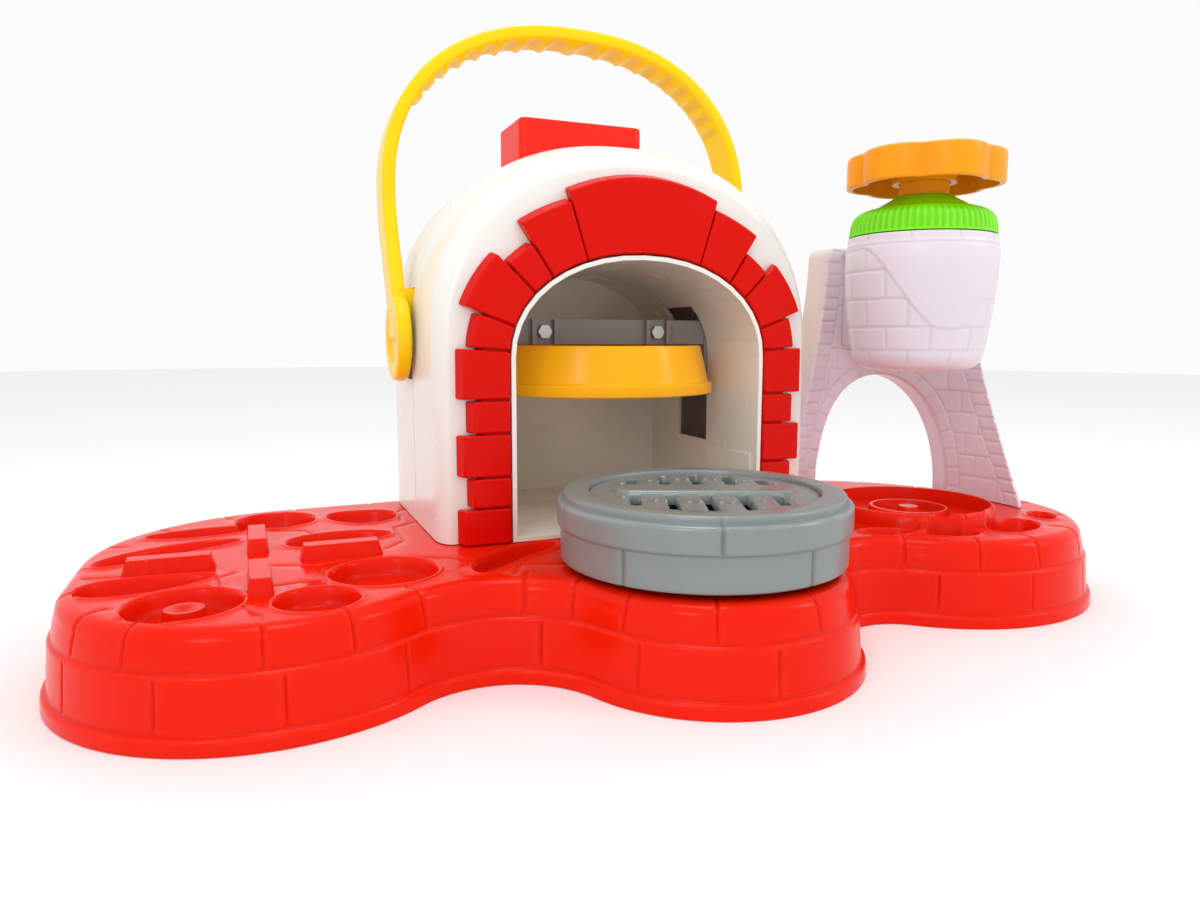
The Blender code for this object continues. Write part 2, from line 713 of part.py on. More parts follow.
def base_shell():
    """The red moulding: a skin of even wall open underneath, with moulds, bars, pedestal, pan rest and screw holes."""
    outer = base_profile()
    loops = [base_loop(inset, height) for inset, height in reversed(outer)]
    inner_top = BASE_HEIGHT - BASE_WALL
    shoulder = outer[-ROUND_STEPS - 1][0]
    inner = [(BASE_WALL, 0.0), (FLANGE_STEP + BASE_WALL, FLANGE_HEIGHT), (shoulder + BASE_WALL, inner_top)]
    loops += [base_loop(inset, height) for inset, height in inner]
    base = to_object("base_shell", loft(loops), BASE_RED)
    rest = spot(0.0, PAN_Y)
    fuse(base, cylinder(rest, PAN_REST_RADIUS, inner_top + BASE_WALL / 2, BASE_HEIGHT + PAN_REST_HEIGHT, TURN_STEPS))
    bars(base)
    pedestal(base)
    left = (LEFT_LOBE_X, LEFT_LOBE_Y, LEFT_LOBE_RADIUS)
    moulds = pod_moulds(POD_MOULD_SHARES, *left)
    moulds += pod_moulds(RIGHT_POD_SHARES, RIGHT_LOBE_X, RIGHT_LOBE_Y, RIGHT_LOBE_RADIUS)
    for x, y, radius in [*ROUND_MOULD_SHARES.values(), BACK_BOWL_SHARES]:
        moulds.append(round_mould(left[0] + x * left[2], left[1] + y * left[2], radius * left[2]))
    fuse(base, *[cup for cup, _ in moulds])
    cut(base, *[hollow for _, hollow in moulds])
    wheel_x, wheel_y, wheel = ROUND_MOULD_SHARES["wheel"]
    hub = spot(left[0] + wheel_x * left[2], left[1] + wheel_y * left[2])
    fuse(
        base,
        cylinder(
            hub,
            WHEEL_HUB_SHARE * wheel * left[2],
            BASE_HEIGHT - MOULD_DEPTH - BASE_WALL / 2,
            BASE_HEIGHT - MOULD_DRAFT,
        ),
    )
    holes = [(x, y) for x, y, _ in casing_posts()] + tower_posts()
    for x, y in holes:
        cut(base, cylinder(spot(x, y), SCREW_RADIUS + GAP, inner_top - OVERRUN, BASE_HEIGHT + OVERRUN))
    return base


def casing_section(y, grow):
    """The dome's outline at depth y, grown by grow: rounded towards the front face and, less, towards the back."""
    start = TRIM_DEPTH + GAP
    depth = y - start
    rise = SHELL_TOP - SHELL_FACE_TOP
    side_share = min(max(depth / SHELL_SIDE_ROUND, 0.0), 1.0)
    top_share = min(max(depth / SHELL_TOP_ROUND, 0.0), 1.0)
    half_width = SHELL_HALF_WIDTH - SHELL_FACE_INSET * (1 - math.sqrt(1 - (1 - side_share) ** 2))
    top = SHELL_TOP - rise * (1 - math.sqrt(1 - (1 - top_share) ** 2))
    left = OVEN_DEPTH - y
    back_share = min(max(left / SHELL_BACK_ROUND, 0.0), 1.0)
    tuck = SHELL_BACK_INSET * (1 - math.sqrt(1 - (1 - back_share) ** 2))
    bulge = DOME_FRONT_BULGE + (DOME_BULGE - DOME_FRONT_BULGE) * top_share
    return vault(half_width - tuck + grow, SHELL_SPRING, top - tuck + grow, bulge, GAP)


def casing_depths():
    """Depths of the dome's sections: close together where the front face rounds over."""
    start = TRIM_DEPTH + GAP
    fronts = [start + SHELL_TOP_ROUND * (1 - math.cos(math.radians(a))) for a in (0, 12, 24, 36, 50, 68, 90)]
    return fronts


def back_depths():
    return [OVEN_DEPTH - SHELL_BACK_ROUND * (1 - math.cos(math.radians(a))) for a in (90, 60, 40, 20, 0)]


def hollow_section(y):
    """The casing's inside at depth y; its foot runs out below so that the casing is open underneath."""
    points = casing_section(y, -SHELL_WALL)
    points[0] = (points[0][0], -OVERRUN)
    points[-1] = (points[-1][0], -OVERRUN)
    return points


def casing_post(x, y):
    """A screw post with a web to the side wall."""
    foot = spot(x, y, GAP)
    web_low = (foot.x, foot.y - SHELL_WALL / 2, foot.z)
    edge = SHELL_HALF_WIDTH - SHELL_WALL / 2
    web_high = (spot(math.copysign(edge, x), y).x, foot.y + SHELL_WALL / 2, foot.z + CASING_POST_HEIGHT)
    low = (min(web_low[0], web_high[0]), web_low[1], web_low[2])
    high = (max(web_low[0], web_high[0]), web_high[1], web_high[2])
    return [cylinder(foot, CASING_POST_RADIUS, foot.z, foot.z + CASING_POST_HEIGHT), block(low, high)]


def screw_hole(x, y, depth=SCREW_LENGTH):
    foot = spot(x, y)
    return cylinder(foot, SCREW_RADIUS + GAP, foot.z - OVERRUN, foot.z + depth)


def mouth_prism(grow, y_from, y_to):
    """The mouth's arch as a prism through the depth of the oven."""
    outline = vault(MOUTH_HALF_WIDTH + grow, MOUTH_SPRING, MOUTH_TOP + grow, MOUTH_BULGE, -OVERRUN)
    return loft([slice_at(y_from, outline), slice_at(y_to, outline)])


def oven_front_shell():
    """Front half of the white dome, from the brick arch to the parting line."""
    depths = casing_depths() + [PARTING - GAP / 2]
    shell = to_object("oven_front_shell", loft([slice_at(y, casing_section(y, 0.0)) for y in depths]), SHELL_WHITE)
    inner = [y + SHELL_WALL for y in depths]
    inner[-1] = PARTING + OVERRUN
    cut(shell, loft([slice_at(y, hollow_section(y - SHELL_WALL)) for y in inner]))
    cut(shell, mouth_prism(0.0, 0.0, PARTING / 2))
    for x, y, half in casing_posts():
        if half > 0:
            fuse(shell, *casing_post(x, y))
            cut(shell, screw_hole(x, y))
    return shell


def oven_rear_shell():
    """Rear half of the white dome, with a back wall and a slot on each side for the handle's tongues."""
    depths = [PARTING + GAP / 2] + back_depths()
    shell = to_object("oven_rear_shell", loft([slice_at(y, casing_section(y, 0.0)) for y in depths]), SHELL_WHITE)
    inner = [y - SHELL_WALL for y in depths]
    inner[0] = PARTING - OVERRUN
    cut(shell, loft([slice_at(y, hollow_section(y + SHELL_WALL)) for y in inner]))
    reach = SHELL_HALF_WIDTH + OVERRUN
    low = spot(-reach, LOBE_Y - TONGUE_DEPTH / 2 - SLIDE_GAP, TONGUE_Z - PRESS_STROKE - SLIDE_GAP)
    high = spot(reach, LOBE_Y + TONGUE_DEPTH / 2 + SLIDE_GAP, TONGUE_Z + TONGUE_HEIGHT + SLIDE_GAP)
    cut(shell, block(low, high))
    for x, y, half in casing_posts():
        if half < 0:
            fuse(shell, *casing_post(x, y))
            cut(shell, screw_hole(x, y))
    return shell


def liner_section(inside, foot):
    wall = LINER_WALL if inside else 0.0
    edge = MOUTH_HALF_WIDTH - GAP - wall
    return vault(edge, MOUTH_SPRING, MOUTH_TOP - GAP - wall, MOUTH_BULGE, foot)


def oven_liner():
    """The white tunnel with its floor, side slots for the carriage and guide ledges for the pan."""
    outer = liner_section(False, GAP)
    inner = liner_section(True, GAP + LINER_FLOOR)
    back = LINER_BACK + LINER_WALL
    loops = [
        slice_at(back, outer),
        slice_at(LIP_SETBACK, outer),
        slice_at(LIP_SETBACK, inner),
        slice_at(LINER_BACK, inner),
    ]
    liner = to_object("oven_liner", loft(loops), SHELL_WHITE)
    inner_edge = MOUTH_HALF_WIDTH - GAP - LINER_WALL
    for side in (-1, 1):
        near = side * (inner_edge - GUIDE_THICKNESS)
        far = side * (inner_edge + LINER_WALL / 2)
        low = spot(min(near, far), GUIDE_START, GAP + LINER_FLOOR / 2)
        high = spot(max(near, far), GUIDE_END, GUIDE_HEIGHT)
        fuse(liner, block(low, high))
    reach = MOUTH_HALF_WIDTH + OVERRUN
    bottom = BLOCK_TOP - BLOCK_HEIGHT - PRESS_STROKE - SLIDE_GAP
    low = spot(-reach, BLOCK_START - SLIDE_GAP, bottom)
    high = spot(reach, BLOCK_START + BLOCK_DEPTH + SLIDE_GAP, SLOT_TOP)
    cut(liner, block(low, high))
    return liner


def brick_stations():
    """Each brick as (degrees or pillar height, and so on) from the right foot: (start, end, thickness)."""
    heights = [share * MOUTH_SPRING for share in PILLAR_JOINT_SHARES]
    pillar = list(zip(heights, heights[1:]))
    stations = []
    for number, (low, high) in enumerate(pillar):
        stations.append((("pillar", low), ("pillar", high), NARROW_BRICK if number % 2 else WIDE_BRICK))
    stations.append((("pillar", heights[-1]), ("arch", PILLAR_TOP_DEGREES), WIDE_BRICK))
    joints = (PILLAR_TOP_DEGREES, *VOUSSOIR_JOINT_DEGREES)
    sizes = (NARROW_BRICK, MIDDLE_VOUSSOIR, NARROW_BRICK, WIDE_VOUSSOIR)
    for (low, high), size in zip(zip(joints, joints[1:]), sizes):
        stations.append((("arch", low), ("arch", high), size))
    return stations, joints[-1]


def mouth_point(station):
    """The point of the mouth's edge at a station and the direction outwards from it."""
    kind, value = station
    if kind == "pillar":
        return np.array((MOUTH_HALF_WIDTH, value)), np.array((1.0, 0.0))
    rise = MOUTH_TOP - MOUTH_SPRING
    x, height = superellipse(MOUTH_HALF_WIDTH, rise, MOUTH_BULGE, value)
    power = MOUTH_BULGE - 1
    normal = np.array(
        (
            math.copysign((abs(x) / MOUTH_HALF_WIDTH) ** power / MOUTH_HALF_WIDTH, x),
            (height / rise) ** power / rise,
        )
    )
    return np.array((x, MOUTH_SPRING + height)), normal / np.hypot(*normal)


def brick_section(point, outwards, thickness, front):
    """Four corners of the trim's section: the back is wider than the front by the draft."""
    outer = point + outwards * (thickness + BRICK_DRAFT)
    face = point + outwards * thickness
    inner = point + outwards * TRIM_INNER_DRAFT
    return [
        (*point, TRIM_DEPTH),
        (*outer, TRIM_DEPTH),
        (*face, front),
        (*inner, front),
    ]


def brick_arch():
    """The red trim round the mouth: bricks of two widths on each side, voussoirs and a keystone, grooved at joints."""
    stations, key_degrees = brick_stations()
    half = []
    for start, end, thickness in stations:
        half.append(brick(start, end, thickness))
    strips = []
    for side in (1, -1):
        for loops in half:
            strips.append(loft([[spot(side * x, y, height) for x, height, y in loop] for loop in loops]))
    key_loops = []
    for share in (-1.0, -0.5, 0.0, 0.5, 1.0):
        foot, out, reach = keystone_ray(share, key_degrees)
        key_loops.append([spot(x, y, h) for x, h, y in brick_section(foot, out, reach, 0.0)])
    body = to_object("brick_arch", loft(key_loops), TRIM_RED)
    fuse(body, backing_strip(key_degrees), *strips)
    return body


def keystone_ray(share, key_degrees):
    """The keystone's section at a share of its half width: its foot on the mouth, its direction and its length."""
    foot, _ = mouth_point(("arch", 90 + (90 - key_degrees) * share))
    crown = KEYSTONE_TOP - (KEYSTONE_TOP - KEYSTONE_CORNER) * share**2
    ray = np.array((-share * KEYSTONE_HALF_TOP, crown)) - foot
    reach = float(np.hypot(*ray))
    return foot, ray / reach, reach


def brick(start, end, thickness):
    """One brick of the right half: loops across it, drawn in at its joints."""
    first, first_out = mouth_point(start)
    last, last_out = mouth_point(end)
    along = (last - first) / np.hypot(*(last - first))
    inset = along * BRICK_JOINT / 2
    loops = []
    count = 1 if start[0] == "pillar" else 3
    for k in range(count + 1):
        share = k / count
        if start[0] == "arch":
            point, _ = mouth_point(("arch", start[1] + (end[1] - start[1]) * share))
        else:
            point = first + (last - first) * share
        out = first_out * (1 - share) + last_out * share
        out = out / np.hypot(*out)
        if k == 0:
            point = point + inset
        if k == count:
            point = point - inset
        loops.append([(x, height, y) for x, height, y in brick_section(point, out, thickness, 0.0)])
    return loops


def backing_strip(key_degrees):
    """A thin strip behind all bricks, which shows as the bottom of their joints."""
    points = []
    for share in (0.0, 1.0):
        points.append(mouth_point(("pillar", share * MOUTH_SPRING)))
    for degrees in range(6, 90, 6):
        points.append(mouth_point(("arch", degrees)))
    loops = []
    for side, run in ((1, points), (-1, reversed(points))):
        for point, out in run:
            inner = point + out * TRIM_INNER_DRAFT
            outer = point + out * (NARROW_BRICK - BRICK_JOINT)
            loops.append(
                [
                    spot(side * inner[0], TRIM_DEPTH - BITE / 2, inner[1]),
                    spot(side * outer[0], TRIM_DEPTH - BITE / 2, outer[1]),
                    spot(side * outer[0], JOINT_DEPTH, outer[1]),
                    spot(side * inner[0], JOINT_DEPTH, inner[1]),
                ]
            )
    return loft(loops)


def rounded_rectangle(x, y, width, depth, corner, steps=4):
    """A rectangle with round corners, centred on (x, y)."""
    points = []
    for quarter, (sx, sy) in enumerate(((1, 1), (-1, 1), (-1, -1), (1, -1))):
        cx = x + sx * (width / 2 - corner)
        cy = y + sy * (depth / 2 - corner)
        for k in range(steps + 1):
            angle = math.pi / 2 * (quarter + k / steps)
            points.append((cx + corner * math.cos(angle), cy + corner * math.sin(angle)))
    return points


def chimney():
    """The red stack, its foot cut to the dome with a gap, its top sunk inside a rim."""
    middle = CHIMNEY_START + CHIMNEY_DEPTH / 2
    foot_height = SHELL_FACE_TOP
    loops = []
    for grow, height in ((CHIMNEY_FLARE, foot_height), (0.0, SHELL_TOP + CHIMNEY_FLARE), (0.0, CHIMNEY_TOP)):
        width = CHIMNEY_WIDTH + 2 * grow
        depth = CHIMNEY_DEPTH + 2 * grow
        outline = rounded_rectangle(0.0, middle, width, depth, CHIMNEY_CORNER)
        loops.append([spot(x, y, height) for x, y in outline])
    stack = to_object("chimney", loft(loops), CHIMNEY_RED)
    rim = rounded_rectangle(
        0.0, middle, CHIMNEY_WIDTH - 2 * CHIMNEY_RIM, CHIMNEY_DEPTH - 2 * CHIMNEY_RIM, CHIMNEY_CORNER / 2
    )
    well = loft([[spot(x, y, height) for x, y in rim] for height in (CHIMNEY_TOP - CHIMNEY_SINK, CHIMNEY_TOP + OVERRUN)])
    depths = [PARTING, *back_depths()]
    dome = [slice_at(y, casing_section(y, GAP)) for y in depths]
    last = OVEN_DEPTH + GAP
    dome.append(slice_at(last, casing_section(OVEN_DEPTH, GAP)))
    cut(stack, well, loft(dome))
    return stack


def wall_place(arc, radius):
    """A plan place on the tower's curved wall: arc runs along its front from its middle, and narrows towards its back."""
    depth = max(0.0, radius - TOWER_RADIUS) / TOWER_DEPTH
    taper = 1 - (1 - TOWER_BACK_SHARE) * depth
    angle = math.radians(TOWER_FACING_DEGREES) - (TOWER_PIVOT + (arc - TOWER_PIVOT) * taper) / TOWER_RADIUS
    return PEDESTAL_X + radius * math.cos(angle), PEDESTAL_Y + radius * math.sin(angle)


def tower_edge(height, side):
    """Half width of the tower at a height: straight at the top, flaring towards its feet."""
    foot = TOWER_FOOT_RIGHT if side > 0 else TOWER_FOOT_LEFT
    top = TOWER_TOP_RIGHT if side > 0 else TOWER_TOP_LEFT
    return top + (foot - top) * (1 - height / TOWER_HEIGHT) ** TOWER_FLARE


def tower_rails(wall):
    """Pairs of (outer, inner) points (arc, height) from the right foot, over the arch, to the left foot."""
    outer = []
    inner = []
    side_steps = 8
    top_steps = 8
    corner = TOWER_CORNER
    rise = ARCH_RISE + wall
    half = ARCH_HALF + wall
    for k in range(side_steps + 1):
        height = (TOWER_HEIGHT - wall - corner) * k / side_steps
        outer.append((tower_edge(height, 1) - wall, height))
    for k in range(1, top_steps):
        share = k / top_steps
        reach = (TOWER_TOP_RIGHT - wall - corner) * (1 - share) - (TOWER_TOP_LEFT - wall - corner) * share
        outer.append((reach, TOWER_HEIGHT - wall))
    for k in range(side_steps, -1, -1):
        height = (TOWER_HEIGHT - wall - corner) * k / side_steps
        outer.append((-(tower_edge(height, -1) - wall), height))
    count = len(outer) - 1
    for k in range(count + 1):
        inner.append(superellipse(half, rise, ARCH_BULGE, 180 * k / count))
    return outer, inner


def mix(start, end, step):
    """A point between two points (arc, height) of the wall's skin."""
    share = step / SKIN_STEPS
    return tuple(p + (q - p) * share for p, q in zip(start, end))


def tower():
    """The curved brick wall with its arch: front skin, arch return and edge returns, open behind."""
    outer, inner = tower_rails(0.0)
    outer_in, inner_in = tower_rails(TOWER_WALL)
    front = TOWER_RADIUS
    skin = TOWER_RADIUS + TOWER_WALL
    back = TOWER_RADIUS + TOWER_DEPTH
    loops = []
    for a, b, c, d in zip(outer, inner, outer_in, inner_in):
        section = [(a, back), *((mix(a, b, k), front) for k in range(SKIN_STEPS + 1)), (b, back), (d, back)]
        section += [*((mix(d, c, k), skin) for k in range(SKIN_STEPS + 1)), (c, back)]
        loops.append([spot(*wall_place(arc, radius), height + GAP) for (arc, height), radius in section])
    wall = to_object("tower", loft(loops), LAVENDER)
    for x, y in tower_posts():
        foot = spot(x, y, GAP)
        fuse(wall, cylinder(foot, TOWER_POST_RADIUS, foot.z, foot.z + TOWER_POST_HEIGHT))
        cut(wall, screw_hole(x, y))
    return wall


def barrel_profile():
    """The barrel's outside as (radius, height), from the outlet's edge up to the mouth."""
    profile = []
    for k in range(5):
        angle = math.pi / 2 * k / 4
        profile.append(
            (
                BARREL_FOOT_RADIUS - BARREL_ROUND * (1 - math.sin(angle)),
                BARREL_BOTTOM + BARREL_ROUND * (1 - math.cos(angle)),
            )
        )
    swell = BARREL_RADIUS - BARREL_FOOT_RADIUS
    for share in (0.35, 0.55, 0.75, 0.90):
        rise = math.sin(math.pi / 2 * min(1.0, (share - 0.15) / 0.7))
        profile.append((BARREL_FOOT_RADIUS + swell * rise, BARREL_BOTTOM + BARREL_HEIGHT * share))
    profile.append((BARREL_MOUTH_RADIUS, BARREL_TOP))
    return profile


def extruder_barrel():
    """The lavender cup with a saddle that joins it to the tower's wall and an outlet in its floor."""
    centre = spot(PEDESTAL_X, PEDESTAL_Y)
    floor = BARREL_BOTTOM + BARREL_FLOOR
    solid = [(0.0, BARREL_BOTTOM)] + barrel_profile() + [(0.0, BARREL_TOP)]
    barrel = to_object(
        "extruder_barrel", turned([(r, BASE_HEIGHT + h) for r, h in solid], TURN_STEPS, centre), LAVENDER
    )
    loops = []
    for height in (SADDLE_BOTTOM, BARREL_TOP - GAP):
        shares = [k / 3 - 1 for k in range(7)]
        near = [saddle_place(share, BARREL_BORE + BITE, height) for share in shares]
        far = [saddle_place(share, TOWER_RADIUS - GAP, height) for share in shares]
        loops.append(near + far[::-1])
    fuse(barrel, loft(loops))
    bore = [(0.0, floor), (BARREL_BORE, floor), (BARREL_BORE, BARREL_TOP + OVERRUN), (0.0, BARREL_TOP + OVERRUN)]
    cut(
        barrel,
        turned([(r, BASE_HEIGHT + h) for r, h in bore], TURN_STEPS, centre),
        cylinder(
            centre, BARREL_OUTLET, BASE_HEIGHT + BARREL_BOTTOM - OVERRUN, BASE_HEIGHT + floor + OVERRUN, TURN_STEPS // 2
        ),
    )
    return barrel


def saddle_place(share, radius, height):
    """A point of the saddle: its sides run parallel from the barrel to the tower's wall."""
    facing = math.radians(TOWER_FACING_DEGREES)
    sideways = share * SADDLE_WIDTH / 2
    out = math.sqrt(radius**2 - sideways**2)
    x = PEDESTAL_X + out * math.cos(facing) + sideways * math.sin(facing)
    y = PEDESTAL_Y + out * math.sin(facing) - sideways * math.cos(facing)
    return spot(x, y, height)


def nozzle_plate():
    """The disc of holes on the barrel's floor."""
    centre = spot(PEDESTAL_X, PEDESTAL_Y)
    low = BASE_HEIGHT + BARREL_BOTTOM + BARREL_FLOOR + GAP
    high = low + NOZZLE_THICKNESS
    plate = to_object("nozzle_plate", cylinder(centre, BARREL_BORE - GAP, low, high, TURN_STEPS // 2), LAVENDER)
    places = circle(centre.x, centre.y, NOZZLE_RING, NOZZLE_HOLES) + [(centre.x, centre.y)]
    for place in places:
        cut(plate, cylinder(place, NOZZLE_HOLE, low - OVERRUN, high + OVERRUN, SMALL_TURN_STEPS // 2))
    return plate


def barrel_cap():
    """The green cap: ribbed band, domed shoulder, bore for the spindle and a spigot into the barrel."""
    centre = spot(PEDESTAL_X, PEDESTAL_Y)
    low = BASE_HEIGHT + BARREL_TOP + GAP
    steps = CAP_RIBS * 2
    bore = SPINDLE_RADIUS + SLIDE_GAP
    spigot = BARREL_BORE - SLIDE_GAP
    outside = [(r * BARREL_MOUTH_RADIUS, low + z * CAP_HEIGHT) for r, z in CAP_PROFILE_SHARES]
    inner_spigot = spigot - CAP_SPIGOT_WALL
    under = [(r * BARREL_MOUTH_RADIUS, low + z * CAP_HEIGHT) for r, z in CAP_INNER_SHARES]
    inside = [
        (bore, low + CAP_HEIGHT),
        (bore, low + CAP_HEIGHT - CAP_WALL),
        *under,
        (inner_spigot, under[-1][1] - CAP_RIB_DEPTH),
        (inner_spigot, low - CAP_SPIGOT_DEPTH),
        (spigot, low - CAP_SPIGOT_DEPTH),
        (spigot, low),
    ]
    profile = outside + inside
    loops = []
    for step in range(steps):
        angle = math.tau * step / steps
        loop = []
        for number, (radius, height) in enumerate(profile):
            ribbed = number < CAP_RIB_ROWS and step % 2
            reach = radius - (CAP_RIB_DEPTH if ribbed else 0.0)
            loop.append((centre.x + reach * math.cos(angle), centre.y + reach * math.sin(angle), height))
        loops.append(loop)
    return to_object("barrel_cap", loft(loops, closed=True), CAP_GREEN)


def spindle():
    """The orange stem with its helical grooves, from the knob's socket down to a round foot in the piston."""
    centre = spot(PEDESTAL_X, PEDESTAL_Y)
    foot = BASE_HEIGHT + PISTON_BOTTOM + PISTON_SKIN + GAP
    neck = foot + SPINDLE_FOOT_HEIGHT
    start = BASE_HEIGHT + PISTON_BOTTOM + PISTON_HEIGHT + OVERRUN
    top = BASE_HEIGHT + KNOB_BOTTOM + KNOB_SOCKET - GAP
    end = BASE_HEIGHT + BARREL_TOP + CAP_HEIGHT + GAP
    rows = 14
    steps = 20
    half = SPINDLE_GROOVE_WIDTH / 2 * math.tau / SPINDLE_LEAD
    loops = [ring(centre, SPINDLE_FOOT_RADIUS, foot, steps), ring(centre, SPINDLE_FOOT_RADIUS, neck, steps)]
    loops.append(ring(centre, SPINDLE_RADIUS - SPINDLE_GROOVE_DEPTH, neck, steps))
    for row in range(rows + 1):
        height = start + (end - start) * row / rows
        phase = math.tau * (height - start) / SPINDLE_LEAD
        fade = min(1.0, min(row, rows - row) / 2)
        loop = []
        for step in range(steps):
            angle = math.tau * step / steps
            off = ((angle - phase) * SPINDLE_STARTS + math.pi) % math.tau - math.pi
            depth = SPINDLE_GROOVE_DEPTH * fade * max(0.0, 1 - (off / SPINDLE_STARTS / half) ** 2)
            reach = SPINDLE_RADIUS - depth
            loop.append((centre.x + reach * math.cos(angle), centre.y + reach * math.sin(angle), height))
        loops.append(loop)
    loops.append(ring(centre, SPINDLE_RADIUS, top, steps))
    return to_object("spindle", loft(loops), KNOB_ORANGE)


def ring(centre, radius, height, steps):
    return [(x, y, height) for x, y in circle(centre[0], centre[1], radius, steps)]


def piston():
    """The disc in the barrel: a groove for its seal and a socket round the spindle's foot."""
    centre = spot(PEDESTAL_X, PEDESTAL_Y)
    low = BASE_HEIGHT + PISTON_BOTTOM
    high = low + PISTON_HEIGHT
    edge = BARREL_BORE - SLIDE_GAP
    groove = edge - PISTON_SEAL_DEPTH
    seal_low = low + (PISTON_HEIGHT - PISTON_SEAL_HEIGHT) / 2
    seal_high = seal_low + PISTON_SEAL_HEIGHT
    socket = SPINDLE_FOOT_RADIUS + GAP
    neck = SPINDLE_RADIUS + GAP
    shelf = low + PISTON_SKIN + SPINDLE_FOOT_HEIGHT + 2 * GAP
    profile = [
        (0.0, low),
        (edge, low),
        (edge, seal_low),
        (groove, seal_low),
        (groove, seal_high),
        (edge, seal_high),
        (edge, high),
        (neck, high),
        (neck, shelf),
        (socket, shelf),
        (socket, low + PISTON_SKIN),
        (0.0, low + PISTON_SKIN),
    ]
    disc = to_object("piston", turned(profile, TURN_STEPS // 2, centre), KNOB_ORANGE)
    gap = GAP / 2
    seal = [
        (groove + gap, seal_low + gap),
        (edge + gap, seal_low + gap),
        (edge + gap, seal_high - gap),
        (groove + gap, seal_high - gap),
    ]
    to_object("piston_seal", turned(seal, TURN_STEPS // 2, centre), SEAL_BLACK, 0.6)
    return disc


def knob_outline(radius, steps=42):
    """Six broad lobes with round hollows between them."""
    turn = math.radians(KNOB_TURN_DEGREES)
    points = []
    for i in range(steps):
        angle = math.tau * i / steps
        wave = 0.5 + 0.5 * math.cos(KNOB_LOBES * (angle - turn))
        reach = radius - KNOB_NOTCH * (1 - wave**0.45)
        points.append((reach * math.cos(angle), reach * math.sin(angle)))
    return points


def knob():
    """The lobed knob: a hollow skirt under a slightly crowned top, with a socket boss for the spindle."""
    centre = spot(PEDESTAL_X, PEDESTAL_Y)
    low = BASE_HEIGHT + KNOB_BOTTOM
    high = low + KNOB_HEIGHT
    ceiling = high - KNOB_WALL - KNOB_CROWN

    def loop(radius, height):
        return [(centre.x + x, centre.y + y, height) for x, y in knob_outline(radius)]

    def dome(share, height):
        scale = KNOB_RADIUS - KNOB_EDGE
        return [(centre.x + x * share, centre.y + y * share, height) for x, y in knob_outline(scale)]

    loops = [
        loop(KNOB_RADIUS - KNOB_WALL, ceiling),
        loop(KNOB_RADIUS - KNOB_WALL, low),
        loop(KNOB_RADIUS - KNOB_EDGE / 2, low),
        loop(KNOB_RADIUS, low + KNOB_EDGE / 2),
        loop(KNOB_RADIUS, high - KNOB_CROWN - KNOB_EDGE),
        loop(KNOB_RADIUS - KNOB_EDGE / 3, high - KNOB_CROWN - KNOB_EDGE / 3),
        loop(KNOB_RADIUS - KNOB_EDGE, high - KNOB_CROWN),
        dome(0.6, high - KNOB_CROWN / 4),
        dome(0.2, high),
    ]
    grip = to_object("knob", loft(loops), KNOB_ORANGE)
    boss = SPINDLE_RADIUS + GAP + KNOB_WALL
    fuse(grip, cylinder(centre, boss, low + KNOB_EDGE, ceiling + KNOB_WALL / 2, TURN_STEPS // 2))
    cut(grip, cylinder(centre, SPINDLE_RADIUS + GAP, low, low + KNOB_SOCKET, TURN_STEPS // 2))
    return grip


def bail_shift(height):
    """How far back the handle's band lies at a height: its legs sweep back from their feet."""
    share = min(max((height - LOBE_Z) / (BAIL_SPRING - LOBE_Z), 0.0), 1.0)
    return (BAIL_Y - LOBE_Y) * share * share * (3 - 2 * share)


def bail_path():
    """Mid line of the band as (x, height, width): left foot, over the top, right foot."""
    inner = SHELL_HALF_WIDTH + LOBE_STAND_OFF
    side = inner + BAIL_THICKNESS / 2
    leg = [(side, LOBE_Z + (BAIL_SPRING - LOBE_Z) * k / 6) for k in range(6)]
    arch = []
    steps = 24
    for k in range(steps + 1):
        x, rise = superellipse(side, BAIL_TOP - BAIL_THICKNESS / 2 - BAIL_SPRING, BAIL_BULGE, 180 * k / steps)
        arch.append((x, BAIL_SPRING + rise))
    return leg + arch + [(-x, height) for x, height in reversed(leg)]


def band_section(x, height, normal, width, thickness):
    """A cross-section of the band with softened edges; normal points outwards in the x-z plane."""
    half_t = thickness / 2
    half_w = width / 2
    edge = BAIL_EDGE
    y = LOBE_Y + bail_shift(height)
    corners = [
        (half_t - edge, -half_w),
        (half_t, -half_w + edge),
        (half_t, half_w - edge),
        (half_t - edge, half_w),
        (-half_t + edge, half_w),
        (-half_t, half_w - edge),
        (-half_t, -half_w + edge),
        (-half_t + edge, -half_w),
    ]
    return [spot(x + normal[0] * t, y + w, height + normal[1] * t) for t, w in corners]


